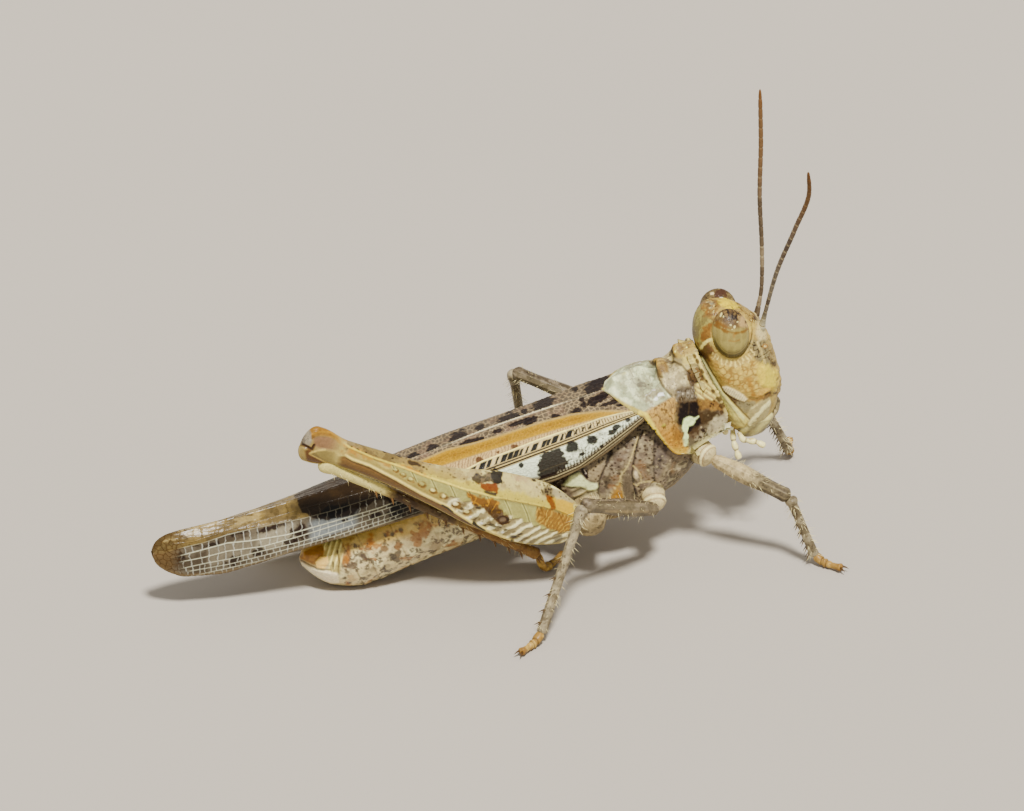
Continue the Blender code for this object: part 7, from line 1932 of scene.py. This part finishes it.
def make_eye(tag, side):
    nt, na = count(150), count(220)
    th = np.linspace(0.02, math.pi - 0.02, nt)[:, None]
    ph = (np.arange(na) * 2 * math.pi / na)[None]
    unit = np.stack([np.sin(th) * np.cos(ph), np.sin(th) * np.sin(ph), np.cos(th) + 0 * ph], -1)
    p = unit * np.array([0.82, 0.70, 1.09])
    M = eye_frame(side)
    P = p @ M.T + np.array([17.14, side * 1.04, 10.79])
    n = outward(P, normals_of(P, True))
    C = chart3(P, 55, 0.2)
    U, V, R = C
    q = folded(P)
    f1, f2, who = cells(q, 0.045, 111)
    pb1, pb2, pbw = cells(q, 0.11, 115)
    rim_d = np.sqrt(((U - 732.5) / 18.5) ** 2 + ((V - 331) / 24.6) ** 2)
    low = smooth(325, 333, V + 0.012 * (U - 733) ** 2 + 2.0 * R)
    up = 1 - low
    d = 0.0015 * (0.5 - f1) - 0.02 * smooth(0.80, 1.0, rim_d) + 0.016 * (0.5 - pb1) * up * (1 - smooth(322, 326, V))
    Q = P + n * d[..., None]
    med = 2.0 * fbm(q, 0.3, 4, 112)
    wet = np.abs(noise(q, 0.15, 113))
    ang = np.arctan2(V - 323, U - 731)
    dist = np.hypot(U - 731, V - 323)
    fan = smooth(0.15, 0.8, np.cos(ang * 13 + 1.4 * R)) * smooth(2, 4, dist) * (1 - smooth(13, 18, dist + 2 * R)) * smooth(-2, 3, 321 - V)
    col = np.broadcast_to(rgb(146, 114, 66), P.shape).copy()
    col = lay(col, blots(q, 0.22, 116, 0.0, 0.4), rgb(172, 146, 98), 0.75)
    col = lay(col, up * blots(q, 0.14, 117, 0.1, 0.5), rgb(122, 92, 60), 0.75)
    col = lay(col, up * (1 - smooth(0.05, 0.16, wet)) * smooth(-0.6, 0.4, med), rgb(104, 74, 48), 0.5)
    col = lay(col, low, rgb(180, 163, 114), 0.97)
    col = lay(col, low * blots(q, 0.5, 118, -0.1, 0.8), rgb(192, 178, 132), 0.7)
    col = lay(col, low * smooth(0.3, 0.9, np.cos(2 * math.pi * (U + 0.5 * R) / 6.5)), rgb(194, 182, 138), 0.35)
    core = inside((U, V, R), [(721, 308), (729, 305), (739, 307), (743, 314), (739, 321), (729, 322.5), (722, 318)], 2, 1.6)
    col = lay(col, core * (1 - smooth(0.05, 0.20, wet)), rgb(58, 42, 30), 0.9)
    col = lay(col, fan * core, rgb(48, 34, 26), 0.9)
    col = lay(col, spot(C, 733, 317.5, 3.4, 3.2, 0, 0.5, 0.5), rgb(40, 30, 26), 0.8)
    col = lay(col, (1 - smooth(316, 320, V)) * (1 - core) * (1 - smooth(0.04, 0.13, wet)), rgb(96, 68, 44), 0.7)
    col = lay(col, inside(C, [(738, 316), (746, 313), (751, 320), (748, 327), (740, 326)], 2, 1), rgb(202, 184, 150), 0.8)
    col = lay(col, spot(C, 747, 321.5, 1.8, 1.8, 0, 0.4, 0.5), rgb(70, 50, 38), 0.85)
    for pts in ([(714.6, 325), (721, 329), (728, 331.6), (735, 333), (743, 331.6), (751, 327.6)], [(716, 322), (723, 326), (731, 328.6)]):
        col = lay(col, line(C, pts, 1.5, 1.0, 1.4, 0.45) * smooth(-3.4, -1.6, med + 1.5 * R), rgb(160, 112, 50), 0.88)
    col = lay(col, line(C, [(729, 340.5), (734, 341.5), (739, 340)], 0.8, 0.8, 0.6, 0.5), rgb(182, 138, 72), 0.6)
    col = lay(col, spot(C, 734, 336, 1.4, 3, 0, 0.5, 0.5), rgb(186, 146, 82), 0.5)
    # painted highlights: small white glints and pale specks on the eye
    for a, b, ru, rv, dg in ((721, 314, 0.9, 2.2, 15), (723.4, 316.5, 0.7, 1.0, 0), (730.6, 325, 1.3, 0.9, 10), (734.4, 327, 0.9, 1.3, 20), (732, 329.4, 1.0, 0.7, 0), (740, 311, 0.8, 0.7, 0), (737.4, 322, 1.0, 0.8, -20)):
        col = lay(col, spot(C, a, b, ru, rv, dg, 0.35, 0.4), rgb(226, 216, 194), 0.6)
    col = lay(col, up * specks(q, 0.12, 119, 0.24, 0.16), rgb(214, 202, 176), 0.35)
    ringl = np.cos(rim_d * 2 * math.pi / 0.075)
    lowrim = smooth(0.80, 0.88, rim_d) * smooth(334, 344, V)
    col = lay(col, lowrim * smooth(0.2, 0.9, ringl), rgb(112, 92, 60), 0.7)
    topp = 1 - smooth(300, 306, V)
    col = lay(col, topp, rgb(106, 72, 46), 0.85)
    col = lay(col, topp * blots(q, 0.2, 120), rgb(150, 120, 90), 0.7)
    if side > 0:                      # only the top of the far eye shows, past the crown
        seen = chart(P, mirror=False) + (R,)
        seen_t = 1 - smooth(305, 312, seen[1])
        col = lay(col, seen_t, rgb(146, 120, 78), 0.95)
        col = lay(col, seen_t * blots(q, 0.2, 122), rgb(182, 162, 118), 0.8)
        col = lay(col, seen_t * specks(q, 0.13, 121, 0.36, 0.6), rgb(88, 66, 46), 0.85)
        col = lay(col, seen_t * worms(q, 0.16, 123, 0.2), rgb(100, 74, 48), 0.7)
        col = lay(col, inside(seen, [(713, 297), (715.5, 289), (721, 287), (726, 290), (727, 295), (722, 298), (717, 299)], 1.4, 1.6), rgb(92, 52, 36), 0.92)
        col = lay(col, spot(seen, 727, 300, 5, 1.6, 25, 0.4, 0.5), rgb(54, 40, 30), 0.8)
        # painted highlights: two pale glints on the far eye's top
        col = lay(col, spot(seen, 712, 293, 2.0, 1.4, -20, 0.4, 0.4), rgb(214, 206, 188), 0.8)
        col = lay(col, spot(seen, 722, 298.5, 2.6, 1.0, 10, 0.4, 0.4), rgb(228, 224, 214), 0.8)
    col = lay(col, smooth(0.95, 1.02, rim_d) * lowrim, rgb(78, 60, 38), 0.8)
    col = col * (1 - 0.06 * smooth(0.35, 0.6, f1))[..., None]
    grid_piece("compound_eye_" + tag, Q, col, 0.36 + (0.16 if side < 0 else 0.34) * up, M_EYE, closed=True, nodes=("eye_" + tag,), flip=bool((normals_of(Q, True) * n).sum() > 0))


make_eye("R", -1)
make_eye("L", 1)


def ring_stack(stations, nt, na, power=2.3):
    """Closed loft through (z, x front, x back, half width, y middle) stations."""
    st = np.array(stations)
    k = np.linspace(0, 1, nt)
    z = (st[0, 0] + (st[-1, 0] - st[0, 0]) * k)[:, None]
    xf, xb, w, ym = (through(st[:, 0], st[:, j], z) for j in (1, 2, 3, 4))
    ang = np.arange(na) * 2 * math.pi / na
    e = 2 / power
    c, s = np.cos(ang)[None], np.sin(ang)[None]
    c, s = np.sign(c) * np.abs(c) ** e, np.sign(s) * np.abs(s) ** e
    return np.stack([(xf + xb) / 2 + c * (xf - xb) / 2, ym + s * w, z + 0 * c], -1)


def make_mouth():
    # labrum and clypeus
    p = ring_stack([(5.12, 18.48, 18.20, 0.14, 0), (5.18, 18.58, 18.16, 0.30, 0), (5.3, 18.70, 18.12, 0.42, 0), (5.5, 18.88, 18.10, 0.52, 0),
                    (5.74, 19.06, 18.15, 0.60, 0), (5.80, 19.07, 18.2, 0.58, 0), (5.87, 19.22, 18.2, 0.68, 0), (6.3, 19.54, 18.3, 0.78, 0), (6.55, 19.62, 18.4, 0.62, 0)],
                   count(120), count(120), 2.4)
    n = outward(p, normals_of(p, True))
    C = chart3(p, 61, 0.2)
    fp = folded(p)
    fine = fbm(fp, 0.12, 4, 121)
    med = fbm(fp, 0.3, 4, 122)
    z = p[..., 2]
    notch = np.exp(-(p[..., 1] / 0.05) ** 2) * (1 - smooth(5.1, 5.6, z))
    d = 0.01 * fine + 0.012 * med - 0.03 * notch
    q = p + n * d[..., None]
    painted_relief_shading = d - blur(d, 3, True)
    col = np.broadcast_to(rgb(166, 150, 118), p.shape).copy()
    cly = smooth(5.80, 5.88, z)
    col = lay(col, cly, rgb(178, 162, 130), 0.9)
    col = lay(col, blots(fp, 0.25, 123), rgb(206, 198, 174), 0.8)
    col = lay(col, blots(fp, 0.2, 124, 0.15, 0.5), rgb(118, 88, 60), 0.75)
    col = lay(col, specks(fp, 0.14, 125, 0.28, 0.4), rgb(84, 62, 44), 0.7)
    col = lay(col, np.exp(-((z - 5.80) / 0.04) ** 2), rgb(84, 56, 34), 0.8)
    # painted shade: the lip's colour is scaled to 0.78 for the shade under the head, then darkened in hollows and
    # lightened on raised parts by the relief
    col = 0.78 * col * np.clip(1 + 6 * painted_relief_shading + 0.1 * fine, 0.6, 1.3)[..., None]
    grid_piece("lip", q, col, 0.42 + 0 * z, M_MOUTH, closed=True, nodes=("labrum",), flip=bool((normals_of(q, True) * n).sum() > 0))
    # mandible of each side
    for tag, side in (("R", -1), ("L", 1)):
        p = ring_stack([(5.26, 18.34, 17.95, 0.10, side * 0.52), (5.38, 18.50, 17.80, 0.24, side * 0.58), (5.6, 18.74, 17.62, 0.36, side * 0.68), (5.9, 18.93, 17.5, 0.42, side * 0.78),
                        (6.3, 19.10, 17.45, 0.42, side * 0.86), (6.6, 19.0, 17.7, 0.2, side * 0.9)], count(90), count(90))
        n = outward(p, normals_of(p, True))
        fp = folded(p)
        fine = fbm(fp, 0.12, 4, 131)
        med = fbm(fp, 0.3, 4, 132)
        C = chart3(p, 65, 0.2)
        d = 0.012 * fine + 0.015 * med
        q = p + n * d[..., None]
        painted_relief_shading = d - blur(d, 3, True)
        col = np.broadcast_to(rgb(200, 191, 164), p.shape).copy()
        col = lay(col, smooth(-0.3, 1.0, np.cos(2 * math.pi * ((C[0] * 0.74 + C[1] * 0.67) - 838.6 + 0.9 * C[2]) / 10.5)), rgb(218, 212, 188), 0.7)
        col = lay(col, smooth(0.5, 1.0, -np.cos(2 * math.pi * ((C[0] * 0.74 + C[1] * 0.67) - 838.6 + 0.9 * C[2]) / 10.5)), rgb(156, 138, 104), 0.5)
        col = lay(col, 1 - smooth(5.10, 5.20, p[..., 2]), rgb(110, 72, 46), 0.7)
        # painted shade: the mandible's colour is scaled to 0.72 for the shade under the head, then darkened in hollows
        # and lightened on raised parts by the relief
        col = 0.72 * col * np.clip(1 + 6 * painted_relief_shading + 0.1 * fine, 0.6, 1.3)[..., None]
        grid_piece("mandible_" + tag, q, col, 0.4 + 0 * fine, M_MOUTH, closed=True, flip=bool((normals_of(q, True) * n).sum() > 0))


make_mouth()


def rod(pts, radii, nt, na, flat=1.0):
    """A smooth tube through points, with its own radius along it."""
    pts = np.asarray(pts, float)
    dist = np.concatenate([[0], np.cumsum(np.linalg.norm(np.diff(pts, axis=0), axis=1))])
    s = np.linspace(0, dist[-1], nt)
    c = np.stack([through(dist, pts[:, k], s) for k in range(3)], -1)
    tg = np.gradient(c, axis=0)
    tg /= np.linalg.norm(tg, axis=1, keepdims=True)
    ref = np.array([0, 1.0, 0]) if abs(tg[0, 1]) < 0.8 else np.array([1.0, 0, 0])
    e1 = ref - tg * (tg @ ref)[:, None]
    e1 /= np.linalg.norm(e1, axis=1, keepdims=True)
    e2 = np.cross(tg, e1)
    r = radii(s / dist[-1])
    ang = np.arange(na) * 2 * math.pi / na
    p = c[:, None] + (np.cos(ang)[None, :, None] * e1[:, None] + np.sin(ang)[None, :, None] * e2[:, None] * flat) * r[:, None, None]
    return p, np.broadcast_to((s / dist[-1])[:, None], (nt, na)), np.broadcast_to(ang[None], (nt, na)), tg


ANT_R = [(18.62, -0.50, 10.35), (18.80, -0.85, 11.77), (19.07, -1.35, 13.65), (19.69, -2.00, 16.07), (20.14, -2.60, 18.14), (20.00, -2.95, 19.40)]
ANT_L = [(18.62, 0.50, 10.05), (19.11, 1.10, 11.73), (19.25, 1.65, 13.42), (19.31, 2.20, 15.13), (19.54, 2.90, 17.77), (19.63, 3.40, 19.94)]


def make_antenna(tag, pts, near):
    segs = 24
    nt, na = count(620), count(26)

    def radius(t):
        base = through([0, 0.03, 0.06, 0.09, 0.12, 0.4, 0.75, 0.93, 1.0], [0.17, 0.20, 0.15, 0.13, 0.108, 0.120, 0.125, 0.115, 0.06], t)
        f = (t * segs) % 1.0
        ring = 1 - 0.16 * np.exp(-(np.minimum(f, 1 - f) / 0.08) ** 2)
        return base * ring * np.sqrt(np.clip(1 - ((t - 0.985) / 0.015).clip(0, 1) ** 2, 0.02, 1))

    p, t, ang, tg = rod(pts, radius, nt, na, 0.8)
    n = outward(p, normals_of(p, True))
    f = (t * segs) % 1.0
    seg = np.floor(t * segs)
    jn = np.exp(-(np.minimum(f, 1 - f) / 0.10) ** 2)
    fine = fbm(p, 0.12, 3, 141)
    pick = scramble(seg.astype(int), 0 * seg.astype(int), 0 * seg.astype(int), 7 if near else 8)
    q = p + n * (0.004 * fine)[..., None]
    if near:
        col = np.broadcast_to(rgb(138, 118, 96), p.shape).copy()
        col = lay(col, 1 - smooth(0.25, 0.5, t), rgb(158, 146, 130), 0.85)
        col = lay(col, (pick > 0.55) * 1.0, rgb(112, 94, 78), 0.7)
        col = lay(col, blots(p, 0.12, 142), rgb(94, 78, 66), 0.5)
        col = lay(col, 1 - smooth(0.03, 0.14, t), rgb(200, 194, 178), 0.85)
        col = lay(col, jn, rgb(196, 186, 164), 0.45)
        col = lay(col, smooth(0.55, 0.85, t), rgb(146, 104, 64), 0.8)
        col = lay(col, smooth(0.84, 1.0, t), rgb(140, 88, 48), 0.7)
    else:
        col = np.broadcast_to(rgb(138, 114, 88), p.shape).copy()
        dark = (pick > 0.5) * (1 - smooth(0.5, 0.62, t))
        col = lay(col, 1 - smooth(0.4, 0.6, t), rgb(166, 150, 124), 0.85)
        col = lay(col, dark, rgb(112, 92, 70), 0.8)
        col = lay(col, blots(p, 0.12, 143), rgb(98, 78, 60), 0.5)
        col = lay(col, jn * (1 - dark), rgb(190, 178, 152), 0.4)
        col = lay(col, smooth(0.5, 0.75, t), rgb(150, 112, 72), 0.8)
        col = lay(col, smooth(0.85, 1.0, t), rgb(148, 96, 54), 0.7)
    col = col * (1 + 0.12 * fine)[..., None]
    grid_piece("feeler_" + tag, q, col, 0.45 + 0 * t, M_FEELER, closed=True, nodes=("antenna_" + tag,), flip=bool((normals_of(q, True) * n).sum() > 0))


make_antenna("R", ANT_R, True)
make_antenna("L", ANT_L, False)

PALPS = {
    "palp_upper_R": [(17.55, -0.95, 5.75), (17.70, -1.22, 5.52), (18.10, -1.45, 5.50), (18.55, -1.62, 5.30)],
    "palp_upper_L": [(17.55, 0.95, 5.75), (17.70, 1.22, 5.52), (18.10, 1.45, 5.50), (18.55, 1.62, 5.30)],
    "palp_lower_R": [(17.40, -0.50, 5.75), (17.38, -0.75, 5.25), (17.45, -0.95, 4.90), (17.55, -1.10, 4.50)],
    "palp_lower_L": [(17.40, 0.50, 5.75), (17.38, 0.75, 5.25), (17.45, 0.95, 4.90), (17.55, 1.10, 4.50)],
}
for i_palp, (name, pts) in enumerate(PALPS.items()):
    bulbs = lambda t: through([0, 0.12, 0.26, 0.36, 0.40, 0.55, 0.66, 0.70, 0.85, 0.95, 1.0], [0.09, 0.105, 0.135, 0.115, 0.088, 0.14, 0.118, 0.088, 0.142, 0.125, 0.03], t)
    p, t, ang, tg = rod(pts, bulbs, count(150), count(40))
    n = outward(p, normals_of(p, True))
    fine = fbm(p, 0.12, 3, 151)
    q = p + n * (0.006 * fine)[..., None]
    col = np.broadcast_to(rgb(218, 212, 192), p.shape).copy()
    for a in (0.38, 0.68):
        col = lay(col, np.exp(-((t - a) / 0.03) ** 2), rgb(140, 108, 68), 0.7)
    col = lay(col, smooth(0.15, 0.5, fbm(p, 0.2, 3, 152)), rgb(190, 168, 122), 0.6)
    col = lay(col, 1 - smooth(0.02, 0.2, t), rgb(172, 148, 104), 0.6)
    grid_piece("mouth_" + name, q, col * (1 + 0.1 * fine)[..., None], 0.35 + 0 * t, M_MOUTH, closed=True, nodes=(name,), flip=bool((normals_of(q, True) * n).sum() > 0))

# ----------------------------------------------------------------------- hairs
M_HAIR = cuticle("hair_pale", coat=0.0, fine=0.4, grain=0.2, bump=0.0, tone=0.05)
for roots, dirs, lengths, uv, tag in HAIRS:
    spikes("hairs_" + tag + "_" + str(len(bpy.data.objects)), roots, dirs, lengths, 0.012, rgb(214, 208, 190), M_HAIR, 0.35, uv=uv, sides=3, steps=3)

# ------------------------------------------------------------- light and stage
cam_data = bpy.data.cameras.new("camera")
cam = bpy.data.objects.new("camera", cam_data)
bpy.context.scene.collection.objects.link(cam)
LENS = 1000.0
WIDE = 43.57
dist = LENS * WIDE / 36.0 * 0.001
aim = np.array([7.80 - X_MID, 0 - Y_MID, 8.05 - FLOOR]) * 0.001
where = aim + TO_EYE * dist
cam.location = where
cam_data.lens = LENS
cam_data.sensor_width = 36.0
cam_data.clip_start = 0.01
cam_data.clip_end = 20.0
from mathutils import Vector
look = Vector(aim - where)
cam.rotation_euler = look.to_track_quat("-Z", "Y").to_euler()
bpy.context.scene.camera = cam

sun_data = bpy.data.lights.new("key", "SUN")
sun_data.energy = 6.9
sun_data.angle = math.radians(9)
sun_data.color = (1.0, 0.97, 0.90)
sun = bpy.data.objects.new("key", sun_data)
sun.rotation_euler = Vector((0.0, 0.46, -1.0)).to_track_quat("-Z", "Y").to_euler()
bpy.context.scene.collection.objects.link(sun)

world = bpy.data.worlds.new("room")
world.use_nodes = True
bg = world.node_tree.nodes["Background"]
bg.inputs["Color"].default_value = (1.0, 0.95, 0.87, 1)
bg.inputs["Strength"].default_value = 0.70
bpy.context.scene.world = world

fl = bpy.data.meshes.new("floor")
S = 0.6
fl.from_pydata([(-S, -S, 0), (S, -S, 0), (S, S, 0), (-S, S, 0)], [], [(0, 1, 2, 3)])
floor = bpy.data.objects.new("floor", fl)
fm = bpy.data.materials.new("pale_floor")
fm.use_nodes = True
fb = fm.node_tree.nodes["Principled BSDF"]
fn = fm.node_tree.nodes.new("ShaderNodeTexNoise")
fn.inputs["Scale"].default_value = 60.0
fr2 = fm.node_tree.nodes.new("ShaderNodeMapRange")
fr2.inputs["To Min"].default_value = 0.97
fr2.inputs["To Max"].default_value = 1.03
fv = fm.node_tree.nodes.new("ShaderNodeVectorMath")
fv.operation = "SCALE"
fv.inputs[0].default_value = (0.40, 0.365, 0.32)
fm.node_tree.links.new(fn.outputs["Fac"], fr2.inputs["Value"])
fm.node_tree.links.new(fr2.outputs["Result"], fv.inputs["Scale"])
fm.node_tree.links.new(fv.outputs["Vector"], fb.inputs["Base Color"])
fb.inputs["Roughness"].default_value = 0.85
fl.materials.append(fm)
bpy.context.scene.collection.objects.link(floor)
floor.location = (0, 0, -0.00001)
